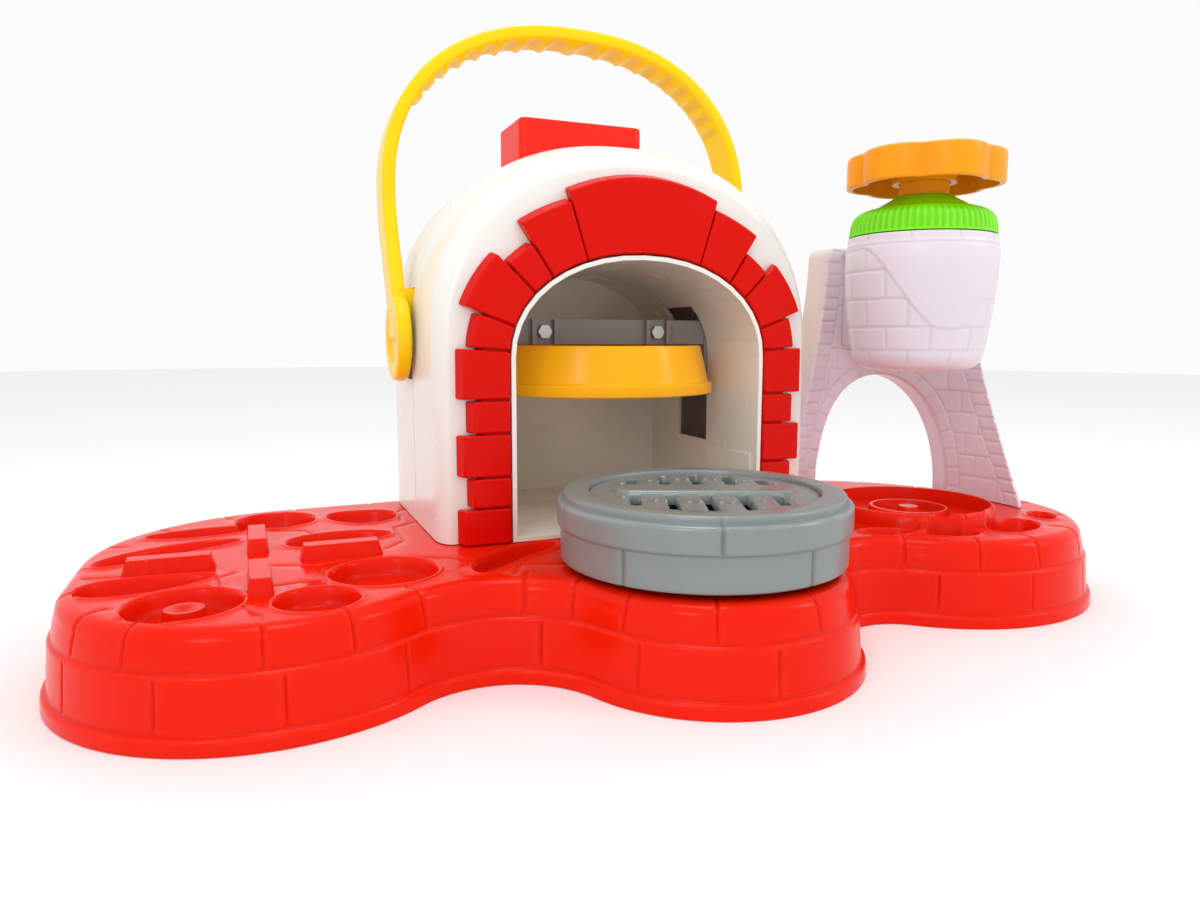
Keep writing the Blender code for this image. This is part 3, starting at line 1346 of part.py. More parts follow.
def handle():
    """The yellow bail: a band over the dome, finger ribs inside it and a round foot with a tongue on each side."""
    path = bail_path()
    loops = []
    for i, (x, height) in enumerate(path):
        before = np.array(path[max(i - 1, 0)])
        after = np.array(path[min(i + 1, len(path) - 1)])
        along = (after - before) / np.hypot(*(after - before))
        normal = (along[1], -along[0])
        loops.append(band_section(x, height, normal, BAIL_WIDTH, BAIL_THICKNESS))
    bail = to_object("handle", loft(loops), HANDLE_YELLOW)
    inner = SHELL_HALF_WIDTH + LOBE_STAND_OFF
    for side in (-1, 1):
        loops = []
        outer = inner + LOBE_THICKNESS
        steps = TURN_STEPS // 2
        edge = BAIL_EDGE
        for x, radius in (
            (inner, LOBE_RADIUS - edge),
            (inner + edge, LOBE_RADIUS),
            (outer - edge, LOBE_RADIUS),
            (outer, LOBE_RADIUS - edge),
        ):
            loops.append([spot(side * x, y, height) for y, height in circle(LOBE_Y, LOBE_Z, radius, steps)])
        fuse(bail, loft(loops))
        dish = []
        for x, radius in ((outer - LOBE_DISH_DEPTH, LOBE_DISH_RADIUS - MOULD_DRAFT), (outer + OVERRUN, LOBE_DISH_RADIUS)):
            dish.append([spot(side * x, y, height) for y, height in circle(LOBE_Y, LOBE_Z, radius, steps)])
        cut(bail, loft(dish))
        ends = sorted((side * (inner - TONGUE_REACH), side * (inner + LOBE_THICKNESS / 2)))
        low = spot(ends[0], LOBE_Y - TONGUE_DEPTH / 2, TONGUE_Z)
        high = spot(ends[1], LOBE_Y + TONGUE_DEPTH / 2, TONGUE_Z + TONGUE_HEIGHT)
        fuse(bail, block(low, high))
        cut(bail, pin_hole(side, TONGUE_Z - OVERRUN, TONGUE_Z + TONGUE_HEIGHT + OVERRUN))
    finger_ribs(bail)
    return bail


def finger_ribs(bail):
    """Cross ribs on the inside of the band, evenly spaced about its top."""
    side = SHELL_HALF_WIDTH + LOBE_STAND_OFF
    rise = BAIL_TOP - BAIL_THICKNESS - BAIL_SPRING
    for k in range(-FINGER_RIBS_PER_SIDE, FINGER_RIBS_PER_SIDE + 1):
        degrees = 90 + k * FINGER_RIB_PITCH_DEGREES
        x, up = superellipse(side, rise, BAIL_BULGE, degrees)
        power = BAIL_BULGE - 1
        normal = np.array((math.copysign((abs(x) / side) ** power / side, x), (up / rise) ** power / rise))
        normal = normal / np.hypot(*normal)
        along = np.array((-normal[1], normal[0]))
        foot = np.array((x, BAIL_SPRING + up))
        loops = []
        for y_share in (-1, 1):
            y = BAIL_Y + y_share * (BAIL_WIDTH / 2 - BAIL_EDGE)
            corners = []
            for depth, half in FINGER_RIB_SHARES:
                reach = depth * FINGER_RIB_HEIGHT - BITE
                point = foot - normal * reach + along * half * FINGER_RIB_WIDTH
                corners.append(spot(point[0], y, point[1]))
            loops.append(corners)
        fuse(bail, loft(loops))


def pin_x():
    return SHELL_HALF_WIDTH + LOBE_STAND_OFF - TONGUE_REACH * 0.66


def pin_hole(side, low, high):
    place = spot(side * pin_x(), LOBE_Y)
    return cylinder(place, PIN_RADIUS + GAP / 2, BASE_HEIGHT + low, BASE_HEIGHT + high, SMALL_TURN_STEPS // 2)


def block_outer():
    return SHELL_HALF_WIDTH - SHELL_WALL - BLOCK_SIDE_GAP


def carriage():
    """The grey cross-beam: a channel open below, a guide block at each end with a socket for the handle's tongue."""
    middle = PRESS_Y
    bottom = BEAM_TOP - BEAM_HEIGHT
    inner = BLOCK_INNER
    half = BEAM_DEPTH / 2
    socket_top = TONGUE_Z + TONGUE_HEIGHT + GAP
    arm_top = socket_top + BEAM_WALL
    beam = to_object(
        "carriage",
        block(spot(-inner - BITE, middle - half, bottom), spot(inner + BITE, middle + half, BEAM_TOP)),
        PAN_GREY,
    )
    channel = block(
        spot(-inner + BEAM_WALL, middle - half + BEAM_WALL, bottom - OVERRUN),
        spot(inner - BEAM_WALL, middle + half - BEAM_WALL, BEAM_TOP - BEAM_WALL),
    )
    for side in (-1, 1):
        ends = sorted((side * inner, side * block_outer()))
        low = spot(ends[0], BLOCK_START, BLOCK_TOP - BLOCK_HEIGHT)
        high = spot(ends[1], BLOCK_START + BLOCK_DEPTH, BLOCK_TOP)
        fuse(beam, block(low, high))
        arm = sorted((side * (MOUTH_HALF_WIDTH + BLOCK_SIDE_GAP), side * block_outer()))
        low = spot(arm[0], LOBE_Y - TONGUE_DEPTH / 2 - BEAM_WALL, BLOCK_TOP - OVERRUN)
        high = spot(arm[1], LOBE_Y + TONGUE_DEPTH / 2 + BEAM_WALL, arm_top)
        fuse(beam, block(low, high))
    cut(beam, channel)
    for side in (-1, 1):
        tip = SHELL_HALF_WIDTH + LOBE_STAND_OFF - TONGUE_REACH - GAP
        ends = sorted((side * tip, side * (block_outer() + OVERRUN)))
        low = spot(ends[0], LOBE_Y - TONGUE_DEPTH / 2 - GAP, TONGUE_Z - GAP)
        high = spot(ends[1], LOBE_Y + TONGUE_DEPTH / 2 + GAP, TONGUE_Z + TONGUE_HEIGHT + GAP)
        cut(beam, block(low, high))
        cut(beam, pin_hole(side, BLOCK_TOP - BLOCK_HEIGHT + PIN_FLOOR, arm_top + OVERRUN))
    for side in (-1, 1):
        for edge in (-1, 1):
            x = side * BRACKET_X + edge * BRACKET_WIDTH / 2
            low = spot(x - BRACKET_RIB / 2, middle - half - BRACKET_PROUD, bottom)
            high = spot(x + BRACKET_RIB / 2, middle - half + BITE, BEAM_TOP)
            fuse(beam, block(low, high))
        cut(beam, bolt_shape(side, BOLT_RADIUS + GAP / 2, middle - half - OVERRUN, middle - half + BEAM_WALL + OVERRUN))
    return beam


def bolt_height():
    return BEAM_TOP - BEAM_HEIGHT / 2


def bolt_shape(side, radius, y_from, y_to, steps=SMALL_TURN_STEPS // 2):
    """A round or hexagonal bar along the depth of the oven at one bracket."""
    outline = circle(side * BRACKET_X, bolt_height(), radius, steps)
    return loft([[spot(x, y, height) for x, height in outline] for y in (y_from, y_to)])


def carriage_bolts():
    """The two hex-headed bolts that hold the stamper's lugs in the beam."""
    face = PRESS_Y - BEAM_DEPTH / 2 - GAP
    for side, word in ((-1, "left"), (1, "right")):
        bolt = to_object(
            f"carriage_bolt_{word}", bolt_shape(side, BOLT_HEAD_RADIUS, face - BOLT_HEAD_HEIGHT, face, 6), STEEL, 0.35, 1.0
        )
        fuse(bolt, bolt_shape(side, BOLT_RADIUS, face - BITE, PRESS_Y + BEAM_WALL / 2))


def handle_pins():
    """The two pins dropped through the carriage's arms and the handle's tongues."""
    for side, word in ((-1, "left"), (1, "right")):
        place = spot(side * pin_x(), LOBE_Y)
        low = BASE_HEIGHT + BLOCK_TOP - BLOCK_HEIGHT + PIN_FLOOR + GAP
        high = BASE_HEIGHT + TONGUE_Z + TONGUE_HEIGHT + GAP + BEAM_WALL
        pin = cylinder(place, PIN_RADIUS, low, high, SMALL_TURN_STEPS // 2)
        to_object(f"handle_pin_{word}", pin, STEEL, 0.35, 1.0)


def stamper():
    """The amber cup that presses the dough: flange below, tapered side, open top, two lugs up into the beam."""
    centre = spot(0.0, PRESS_Y)
    low = BASE_HEIGHT + STAMPER_BOTTOM
    high = BASE_HEIGHT + STAMPER_TOP
    flange = low + STAMPER_FLANGE_HEIGHT
    wall = STAMPER_WALL
    profile = [
        (0.0, low),
        (STAMPER_FLANGE_RADIUS, low),
        (STAMPER_FLANGE_RADIUS, flange - MOULD_DRAFT),
        (STAMPER_SIDE_RADIUS, flange),
        (STAMPER_TOP_RADIUS + wall / 2, high - 2 * wall),
        (STAMPER_TOP_RADIUS, high),
        (STAMPER_TOP_RADIUS - wall, high),
        (STAMPER_SIDE_RADIUS - wall, low + wall),
        (0.0, low + wall),
    ]
    cup = to_object("stamper", turned(profile, TURN_STEPS, centre), STAMPER_AMBER)
    half = BEAM_DEPTH / 2 - BEAM_WALL - GAP
    for side in (-1, 1):
        low_corner = spot(side * BRACKET_X - STAMPER_LUG_WIDTH / 2, PRESS_Y - half, STAMPER_BOTTOM + wall / 2)
        high_corner = spot(side * BRACKET_X + STAMPER_LUG_WIDTH / 2, PRESS_Y + half, BEAM_TOP - BEAM_WALL - GAP)
        fuse(cup, block(low_corner, high_corner))
        cut(cup, bolt_shape(side, BOLT_RADIUS + GAP / 2, PRESS_Y - half - OVERRUN, PRESS_Y + BEAM_WALL / 2 + GAP))
    return cup


def pan_profile():
    """The pan's turned section, heights from its underside."""
    upper = PAN_LOWER_HEIGHT + PAN_UPPER_HEIGHT
    top = upper + PAN_TOP_HEIGHT
    well = top - PAN_WELL_DEPTH
    ceiling = well - PAN_WALL
    ledge = PAN_WELL_RADIUS - PAN_LEDGE
    return [
        (PAN_LOWER_RADIUS - PAN_WALL, 0.0),
        (PAN_LOWER_RADIUS, 0.0),
        (PAN_LOWER_RADIUS, PAN_LOWER_HEIGHT),
        (PAN_UPPER_RADIUS, PAN_LOWER_HEIGHT),
        (PAN_UPPER_RADIUS, upper - PAN_ROUND),
        (PAN_UPPER_RADIUS - PAN_ROUND / 3, upper - PAN_ROUND / 3),
        (PAN_UPPER_RADIUS - PAN_ROUND, upper),
        (PAN_TOP_RADIUS, upper),
        (PAN_TOP_RADIUS - PAN_ROUND / 2, top),
        (PAN_WELL_RADIUS, top),
        (PAN_WELL_RADIUS, well + PAN_WALL),
        (ledge, well + PAN_WALL),
        (ledge, well),
        (0.0, well),
        (0.0, ceiling),
        (PAN_LOWER_RADIUS - PAN_WALL, ceiling),
    ]


def pan_bottom():
    return BASE_HEIGHT + PAN_REST_HEIGHT + GAP


def pan_body():
    """The grey pan: two courses of bricks, a raised round top with a well for the grate, open underneath."""
    centre = spot(0.0, PAN_Y)
    profile = pan_profile()
    start = profile.index((0.0, pan_profile()[13][1]))
    ordered = profile[start + 1 :] + profile[: start + 1]
    pan = to_object(
        "pan_body", turned([(r, pan_bottom() + h) for r, h in ordered], TURN_STEPS, centre), PAN_GREY, 0.36
    )
    pitch = math.tau / PAN_BRICKS
    turn = math.radians(PAN_TURN_DEGREES) - math.pi / 2
    bottom = pan_bottom()
    upper = PAN_LOWER_HEIGHT + PAN_UPPER_HEIGHT
    courses = (
        (PAN_LOWER_RADIUS, -OVERRUN, PAN_LOWER_HEIGHT - PAN_NOTCH_DEPTH, turn + pitch / 2),
        (PAN_UPPER_RADIUS, PAN_LOWER_HEIGHT + PAN_NOTCH_DEPTH, upper - PAN_NOTCH_DEPTH, turn),
    )
    for radius, low, high, first in courses:
        for k in range(PAN_BRICKS):
            angle = first + k * pitch
            cut(pan, radial_bar(centre, angle, radius - PAN_NOTCH_DEPTH, radius + OVERRUN, bottom + low, bottom + high))
    return pan


def radial_bar(centre, angle, inner, outer, low, high, width=PAN_NOTCH_WIDTH):
    """A narrow bar that points away from a centre."""
    along = Vector((math.cos(angle), math.sin(angle)))
    across = Vector((-along.y, along.x)) * width / 2
    middle = Vector((centre[0], centre[1]))
    corners = [
        middle + along * inner - across,
        middle + along * outer - across,
        middle + along * outer + across,
        middle + along * inner + across,
    ]
    return prism([tuple(corner) for corner in corners], low, high)


def pan_grate():
    """The slatted insert in the pan's well: a rim, slats across it and a plain raised band along its middle."""
    centre = spot(0.0, PAN_Y)
    upper = PAN_LOWER_HEIGHT + PAN_UPPER_HEIGHT
    well = pan_bottom() + upper + PAN_TOP_HEIGHT - PAN_WELL_DEPTH
    low = well + PAN_WALL + GAP
    high = low + GRATE_THICKNESS
    radius = PAN_WELL_RADIUS - GAP
    grate = to_object("pan_grate", cylinder(centre, radius, low, high, TURN_STEPS), PAN_GREY, 0.36)
    turn = math.radians(PAN_TURN_DEGREES)
    along = Vector((math.cos(turn), math.sin(turn)))
    across = Vector((-along.y, along.x))
    middle = Vector((centre.x, centre.y))
    inner = radius - GRATE_RIM
    pitch = 2 * inner / GRATE_SLATS
    gap = pitch - GRATE_SLAT_WIDTH
    band = GRATE_BAND_WIDTH / 2
    for k in range(GRATE_SLATS + 1):
        place = -inner + k * pitch
        place = min(max(place, -inner + gap / 2), inner - gap / 2)
        edge = abs(place) + gap / 2
        reach = math.sqrt(max(inner**2 - edge**2, 0.0))
        if reach <= band + GRATE_RIM / 2:
            continue
        for side in (-1, 1):
            corners = []
            for u, v in ((-1, band), (1, band), (1, reach), (-1, reach)):
                corners.append(tuple(middle + along * (place + u * gap / 2) + across * side * v))
            cut(grate, prism(corners, low - OVERRUN, high + OVERRUN))
    outline = []
    half = GRATE_BAND_LENGTH / 2 - band
    for end in (1, -1):
        for k in range(9):
            angle = math.pi * (k / 8 - 0.5) + (0 if end == 1 else math.pi)
            local = along * (end * half + band * math.cos(angle)) + across * band * math.sin(angle)
            outline.append(tuple(middle + local))
    fuse(grate, prism(outline, low + BITE, high + GRATE_BAND_PROUD))
    return grate


def screw(name, x, y):
    """A screw up through the base's plate: head under the plate, shank in the post above."""
    place = spot(x, y)
    plate = BASE_HEIGHT - BASE_WALL - GAP
    head = cylinder(place, SCREW_HEAD_RADIUS, plate - SCREW_HEAD_HEIGHT, plate, SMALL_TURN_STEPS)
    item = to_object(name, head, STEEL, 0.35, 1.0)
    top = BASE_HEIGHT + SCREW_LENGTH - OVERRUN / 2
    fuse(item, cylinder(place, SCREW_RADIUS, plate - BITE, top, SMALL_TURN_STEPS // 2))
    return item


def screws():
    for number, (x, y, _) in enumerate(casing_posts(), 1):
        screw(f"oven_screw_{number}", x, y)
    for number, (x, y) in enumerate(tower_posts(), 1):
        screw(f"tower_screw_{number}", x, y)


def carrier(name, place, children):
    """An empty on a joint's axis that carries the pieces of a moving body."""
    empty = bpy.data.objects.new(name, None)
    empty.location = place
    bpy.context.scene.collection.objects.link(empty)
    bpy.context.view_layer.update()
    for child in children:
        child.parent = empty
        child.matrix_parent_inverse = empty.matrix_world.inverted()
    return empty


def main():
    for item in list(bpy.data.objects):
        bpy.data.objects.remove(item)
    base_shell()
    oven_front_shell()
    oven_rear_shell()
    oven_liner()
    brick_arch()
    chimney()
    tower()
    extruder_barrel()
    nozzle_plate()
    screws()
    press = [handle(), carriage(), stamper()]
    carriage_bolts()
    handle_pins()
    pan = [pan_body(), pan_grate()]
    cap = barrel_cap()
    stem = [spindle(), knob()]
    piston()
    items = bpy.data.objects
    press += [items[f"{kind}_{side}"] for kind in ("carriage_bolt", "handle_pin") for side in ("left", "right")]
    axis = spot(PEDESTAL_X, PEDESTAL_Y, BARREL_TOP)
    carrier("press_axis", spot(0.0, LOBE_Y, LOBE_Z), press)
    carrier("pan_axis", spot(0.0, PAN_Y), pan)
    carrier("cap_axis", axis, [cap])
    carrier("knob_axis", axis, stem)
    carrier("piston_axis", axis, [items["piston"], items["piston_seal"]])


main()
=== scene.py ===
"""Looks of the toy pizza oven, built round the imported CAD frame.

Lengths are metres in the CAD's own frame. Places in the plan are measured from the middle of the oven's mouth, as
in the part's source, and PLAN_SHIFT turns them into the frame.
"""

import logging
import math
from dataclasses import dataclass
from enum import Enum

import bmesh
import bpy
import numpy as np
from mathutils import Matrix, Vector
from mathutils.geometry import delaunay_2d_cdt


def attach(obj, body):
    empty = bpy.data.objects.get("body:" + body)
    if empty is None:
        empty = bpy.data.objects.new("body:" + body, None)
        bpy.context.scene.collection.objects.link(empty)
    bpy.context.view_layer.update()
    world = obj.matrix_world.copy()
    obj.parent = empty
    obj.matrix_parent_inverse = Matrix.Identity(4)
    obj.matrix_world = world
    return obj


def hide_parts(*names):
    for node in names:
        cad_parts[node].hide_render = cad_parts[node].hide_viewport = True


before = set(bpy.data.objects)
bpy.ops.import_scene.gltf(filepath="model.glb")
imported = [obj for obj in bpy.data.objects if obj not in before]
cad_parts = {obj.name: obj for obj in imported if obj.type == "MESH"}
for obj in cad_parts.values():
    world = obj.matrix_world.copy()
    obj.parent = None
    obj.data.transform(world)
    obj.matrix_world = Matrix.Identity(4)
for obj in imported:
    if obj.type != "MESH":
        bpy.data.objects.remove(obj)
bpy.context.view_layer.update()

LOG = logging.getLogger("toy_oven")

Colour = tuple[float, float, float]
Points = np.ndarray
Faces = list


class Slot(Enum):
    """Names of material slots."""

    BASE = "base_red"
    TRIM = "trim_red"
    CHIMNEY = "chimney_red"
    SHELL = "shell_white"
    LAVENDER = "lavender"
    CAP = "cap_green"
    KNOB = "knob_orange"
    HANDLE = "handle_yellow"
    STAMPER = "stamper_amber"
    PAN = "pan_grey"
    STEEL = "screw_steel"
    SEAL = "seal_black"


# ---------------------------------------------------------------- finishes


@dataclass(frozen=True)
class Finish:
    """A moulded finish: colour, a darker colour for its grooves (dust and painted shade, also the deep tone of its
    mottle), a lighter colour for its raised edges (wear and a painted highlight), gloss and the texture of its skin.
    """

    name: str
    colour: Colour
    # groove: dust and painted shade in grooves; the next colour: wear and a painted highlight on raised edges
    groove: Colour
    highlight_and_wear: Colour
    roughness: float = 0.26
    mottle: float = 0.25
    grain: float = 0.35
    scuffs: float = 0.3
    flow: float = 0.3
    metallic: float = 0.0
    coat: float = 0.0
    subsurface: float = 0.0
    bump: float = 0.25
    specular: float = 0.5


# In each finish the third colour darkens grooves with dust and painted shade, the fourth lightens raised edges with
# wear and a painted highlight.
BASE_RED = Finish(
    "base_red_gloss", (0.82, 0.012, 0.0006), (0.42, 0.004, 0.001), (0.95, 0.05, 0.02), 0.20, mottle=0.2,
    specular=0.12
)
TRIM_RED = Finish(
    "trim_red_gloss", (0.70, 0.004, 0.0004), (0.34, 0.002, 0.001), (0.85, 0.03, 0.012), 0.24, mottle=0.2, specular=0.10
)
CHIMNEY_RED = Finish(
    "chimney_red_satin", (0.88, 0.016, 0.006), (0.52, 0.006, 0.004), (0.95, 0.07, 0.04), 0.34, mottle=0.2, specular=0.2
)
SHELL_WHITE = Finish(
    "shell_white_gloss", (0.84, 0.845, 0.80), (0.55, 0.56, 0.52), (0.93, 0.93, 0.92), 0.24, mottle=0.12, flow=0.5,
    coat=0.15, subsurface=0.10
)
LINER_WHITE = Finish(
    "liner_white_marbled", (0.90, 0.87, 0.80), (0.60, 0.55, 0.47), (0.94, 0.92, 0.89), 0.22, mottle=0.3, flow=0.9,
    coat=0.2, subsurface=0.10
)
LAVENDER = Finish(
    "lavender_satin", (0.77, 0.70, 0.77), (0.50, 0.38, 0.46), (0.90, 0.86, 0.90), 0.32, mottle=0.12, flow=0.3,
    subsurface=0.10, specular=0.4
)
CAP_GREEN = Finish(
    "cap_green_gloss", (0.20, 0.80, 0.0), (0.09, 0.50, 0.0), (0.45, 0.95, 0.10), 0.28, subsurface=0.06, specular=0.3
)
KNOB_ORANGE = Finish(
    "knob_orange_gloss", (1.0, 0.36, 0.006), (0.75, 0.18, 0.002), (1.0, 0.55, 0.08), 0.27, subsurface=0.05,
    specular=0.18
)
HANDLE_YELLOW = Finish(
    "handle_yellow_gloss", (1.0, 0.66, 0.003), (0.78, 0.38, 0.001), (1.0, 0.78, 0.10), 0.23, subsurface=0.05,
    specular=0.18
)
STAMPER_AMBER = Finish(
    "stamper_amber_gloss", (1.0, 0.45, 0.004), (0.70, 0.22, 0.001), (1.0, 0.62, 0.10), 0.20, subsurface=0.05,
    specular=0.18
)
BEAM_GREY = Finish(
    "beam_grey_satin", (0.30, 0.285, 0.27), (0.12, 0.11, 0.10), (0.50, 0.48, 0.46), 0.35, mottle=0.3, flow=0.5,
    metallic=0.1
)
PAN_GREY = Finish(
    "pan_grey_satin", (0.235, 0.27, 0.265), (0.11, 0.13, 0.125), (0.48, 0.52, 0.51), 0.30, mottle=0.35, flow=0.6,
    metallic=0.15, specular=0.6
)
SCREW_STEEL = Finish(
    "screw_steel_brushed", (0.56, 0.56, 0.57), (0.22, 0.22, 0.22), (0.75, 0.75, 0.76), 0.30, mottle=0.3, grain=0.8,
    metallic=1.0
)
SEAL_BLACK = Finish(
    "seal_black_rubber", (0.022, 0.022, 0.024), (0.008, 0.008, 0.008), (0.07, 0.07, 0.07), 0.62, grain=0.9, flow=0.1
)


class ShaderShop:
    """Builds the shared shader groups once and places them in each finish's material."""

    def __init__(self) -> None:
        """Starts with no material made."""
        self.made: dict[str, bpy.types.Material] = {}
        self.skin = self._moulded_skin()
        self.relief = self._relief_shade()

    @staticmethod
    def _group(name: str, inputs: list[tuple[str, str, object]], outputs: list[tuple[str, str]]):
        """A new node group with its sockets.

        Args:
            name: the group's name.
            inputs: (name, socket kind, default value) of each input.
            outputs: (name, socket kind) of each output.

        Returns:
            The group.
        """
        tree = bpy.data.node_groups.new(name, "ShaderNodeTree")
        for label, kind, default in inputs:
            socket = tree.interface.new_socket(label, in_out="INPUT", socket_type=kind)
            socket.default_value = default
        for label, kind in outputs:
            tree.interface.new_socket(label, in_out="OUTPUT", socket_type=kind)
        return tree

    def _moulded_skin(self) -> bpy.types.NodeTree:
        """The skin of a moulding: mottled colour, flow marks, fine grain and small scuffs.

        Returns:
            A group that puts out Color, Roughness and Height.
        """
        tree = self._group(
            "moulded_skin",
            [
                ("Color", "NodeSocketColor", (0.8, 0.8, 0.8, 1.0)),
                ("Deep Color", "NodeSocketColor", (0.4, 0.4, 0.4, 1.0)),
                ("Roughness", "NodeSocketFloat", 0.3),
                ("Mottle", "NodeSocketFloat", 0.3),
                ("Grain", "NodeSocketFloat", 0.3),
                ("Scuffs", "NodeSocketFloat", 0.3),
                ("Flow", "NodeSocketFloat", 0.3),
            ],
            [("Color", "NodeSocketColor"), ("Roughness", "NodeSocketFloat"), ("Height", "NodeSocketFloat")],
        )
        bench = Bench(tree)
        given = bench.add("NodeGroupInput")
        coords = bench.add("ShaderNodeTexCoord").outputs["Object"]
        cloud = bench.noise(coords, 16.0, 4.0, 0.55)
        bent = bench.add("ShaderNodeTexNoise", Scale=9.0, Detail=3.0, Distortion=2.6, Roughness=0.5)
        bench.link(coords, bent.inputs["Vector"])
        peel = bench.noise(coords, 420.0, 2.0, 0.5)
        grit = bench.noise(coords, 2600.0, 2.0, 0.6)
        stretched = bench.add("ShaderNodeMapping")
        stretched.inputs["Scale"].default_value = (1.0, 0.22, 0.55)
        stretched.inputs["Rotation"].default_value = (0.35, 0.6, 0.8)
        bench.link(coords, stretched.inputs["Vector"])
        hair = bench.noise(stretched.outputs["Vector"], 520.0, 3.0, 0.7)
        patch = bench.noise(coords, 38.0, 2.0, 0.5)
        line = bench.ramp(hair, 0.70, 0.76)
        area = bench.ramp(patch, 0.54, 0.66)
        scuff = bench.math("MULTIPLY", bench.math("MULTIPLY", line, area), given.outputs["Scuffs"])
        amount = bench.math("MULTIPLY", bench.math("SUBTRACT", cloud, 0.35), given.outputs["Mottle"])
        shade = bench.mix(bench.math("MAXIMUM", amount, 0.0), given.outputs["Color"], given.outputs["Deep Color"])
        swirl = bench.ramp(bent.outputs["Fac"], 0.46, 0.58)
        marks = bench.math("MULTIPLY", bench.math("MULTIPLY", swirl, given.outputs["Flow"]), 0.06)
        shade = bench.mix(marks, shade, given.outputs["Deep Color"])
        shade = bench.mix(bench.math("MULTIPLY", scuff, 0.35), shade, (0.9, 0.88, 0.86, 1.0))
        rough = bench.math("ADD", given.outputs["Roughness"], bench.math("MULTIPLY", marks, 1.2))
        rough = bench.math("ADD", rough, bench.math("MULTIPLY", bench.math("SUBTRACT", patch, 0.5), 0.10))
        rough = bench.math("ADD", rough, bench.math("MULTIPLY", scuff, 0.35))
        texture = bench.math("ADD", peel, bench.math("MULTIPLY", grit, 0.35))
        fine = bench.math("MULTIPLY", texture, given.outputs["Grain"])
        height = bench.math("SUBTRACT", fine, bench.math("MULTIPLY", scuff, 0.5))
        out = bench.add("NodeGroupOutput")
        bench.link(shade, out.inputs["Color"])
        bench.link(rough, out.inputs["Roughness"])
        bench.link(height, out.inputs["Height"])
        return tree

    def _relief_shade(self) -> bpy.types.NodeTree:
        """Colour that follows relief: dust, thicker colour and painted shade in grooves, wear and a painted highlight
        on raised edges.

        Returns:
            A group that puts out Color and Roughness.
        """
        tree = self._group(
            "relief_shade",
            [
                ("Color", "NodeSocketColor", (0.8, 0.8, 0.8, 1.0)),
                ("Groove Color", "NodeSocketColor", (0.3, 0.3, 0.3, 1.0)),
                ("Highlight And Wear Color", "NodeSocketColor", (1.0, 1.0, 1.0, 1.0)),
                ("Roughness", "NodeSocketFloat", 0.3),
                ("Groove", "NodeSocketFloat", 0.0),
                ("Edge", "NodeSocketFloat", 0.0),
            ],
            [("Color", "NodeSocketColor"), ("Roughness", "NodeSocketFloat")],
        )
        bench = Bench(tree)
        given = bench.add("NodeGroupInput")
        coords = bench.add("ShaderNodeTexCoord").outputs["Object"]
        broken = bench.ramp(bench.noise(coords, 150.0, 3.0, 0.6), 0.35, 0.70)
        share = bench.math("ADD", bench.math("MULTIPLY", broken, 0.3), 0.6)
        # Painted shade with dust: the groove mark darkens towards the groove colour.
        dust_and_shade = bench.math("MULTIPLY", given.outputs["Groove"], share)
        # Painted highlight with wear: the edge mark lightens towards the lighter edge colour.
        rubbed_and_lit = bench.math("MULTIPLY", given.outputs["Edge"], bench.math("MULTIPLY", broken, 0.6))
        shade = bench.mix(dust_and_shade, given.outputs["Color"], given.outputs["Groove Color"])
        shade = bench.mix(rubbed_and_lit, shade, given.outputs["Highlight And Wear Color"])
        rough = bench.math("ADD", given.outputs["Roughness"], bench.math("MULTIPLY", dust_and_shade, 0.25))
        rough = bench.math("SUBTRACT", rough, bench.math("MULTIPLY", rubbed_and_lit, 0.08))
        out = bench.add("NodeGroupOutput")
        bench.link(shade, out.inputs["Color"])
        bench.link(rough, out.inputs["Roughness"])
        return tree

    def material(self, finish: Finish, relief: bool = False) -> bpy.types.Material:
        """The material of a finish, made at its first use.

        Args:
            finish: what it looks like.
            relief: whether the mesh has the attributes "groove" and "edge".

        Returns:
            The material.
        """
        name = finish.name + ("_relief" if relief else "")
        if name in self.made:
            return self.made[name]
        material = bpy.data.materials.new(name)
        material.use_nodes = True
        material.diffuse_color = (*finish.colour, 1.0)
        bench = Bench(material.node_tree)
        shader = material.node_tree.nodes["Principled BSDF"]
        skin = bench.place(self.skin)
        skin.inputs["Color"].default_value = (*finish.colour, 1.0)
        skin.inputs["Deep Color"].default_value = (*finish.groove, 1.0)
        for label in ("roughness", "mottle", "grain", "scuffs", "flow"):
            skin.inputs[label.title()].default_value = getattr(finish, label)
        colour, rough = skin.outputs["Color"], skin.outputs["Roughness"]
        if relief:
            shade = bench.place(self.relief)
            bench.link(colour, shade.inputs["Color"])
            bench.link(rough, shade.inputs["Roughness"])
            # Grooves take dust and painted shade, raised edges wear and a painted highlight.
            shade.inputs["Groove Color"].default_value = (*finish.groove, 1.0)
            shade.inputs["Highlight And Wear Color"].default_value = (*finish.highlight_and_wear, 1.0)
            for label in ("groove", "edge"):
                reading = bench.add("ShaderNodeAttribute")
                reading.attribute_name = label
                bench.link(reading.outputs["Fac"], shade.inputs[label.title()])
            colour, rough = shade.outputs["Color"], shade.outputs["Roughness"]
        bump = bench.add("ShaderNodeBump", Strength=finish.bump, Distance=0.0002)
        bench.link(skin.outputs["Height"], bump.inputs["Height"])
        bench.link(colour, shader.inputs["Base Color"])
        bench.link(rough, shader.inputs["Roughness"])
        bench.link(bump.outputs["Normal"], shader.inputs["Normal"])
        shader.inputs["Metallic"].default_value = finish.metallic
        shader.inputs["Specular IOR Level"].default_value = finish.specular
        shader.inputs["Coat Weight"].default_value = finish.coat
        shader.inputs["Coat Roughness"].default_value = 0.12
        shader.inputs["Subsurface Weight"].default_value = finish.subsurface
        shader.inputs["Subsurface Scale"].default_value = 0.002
        self.made[name] = material
        return material


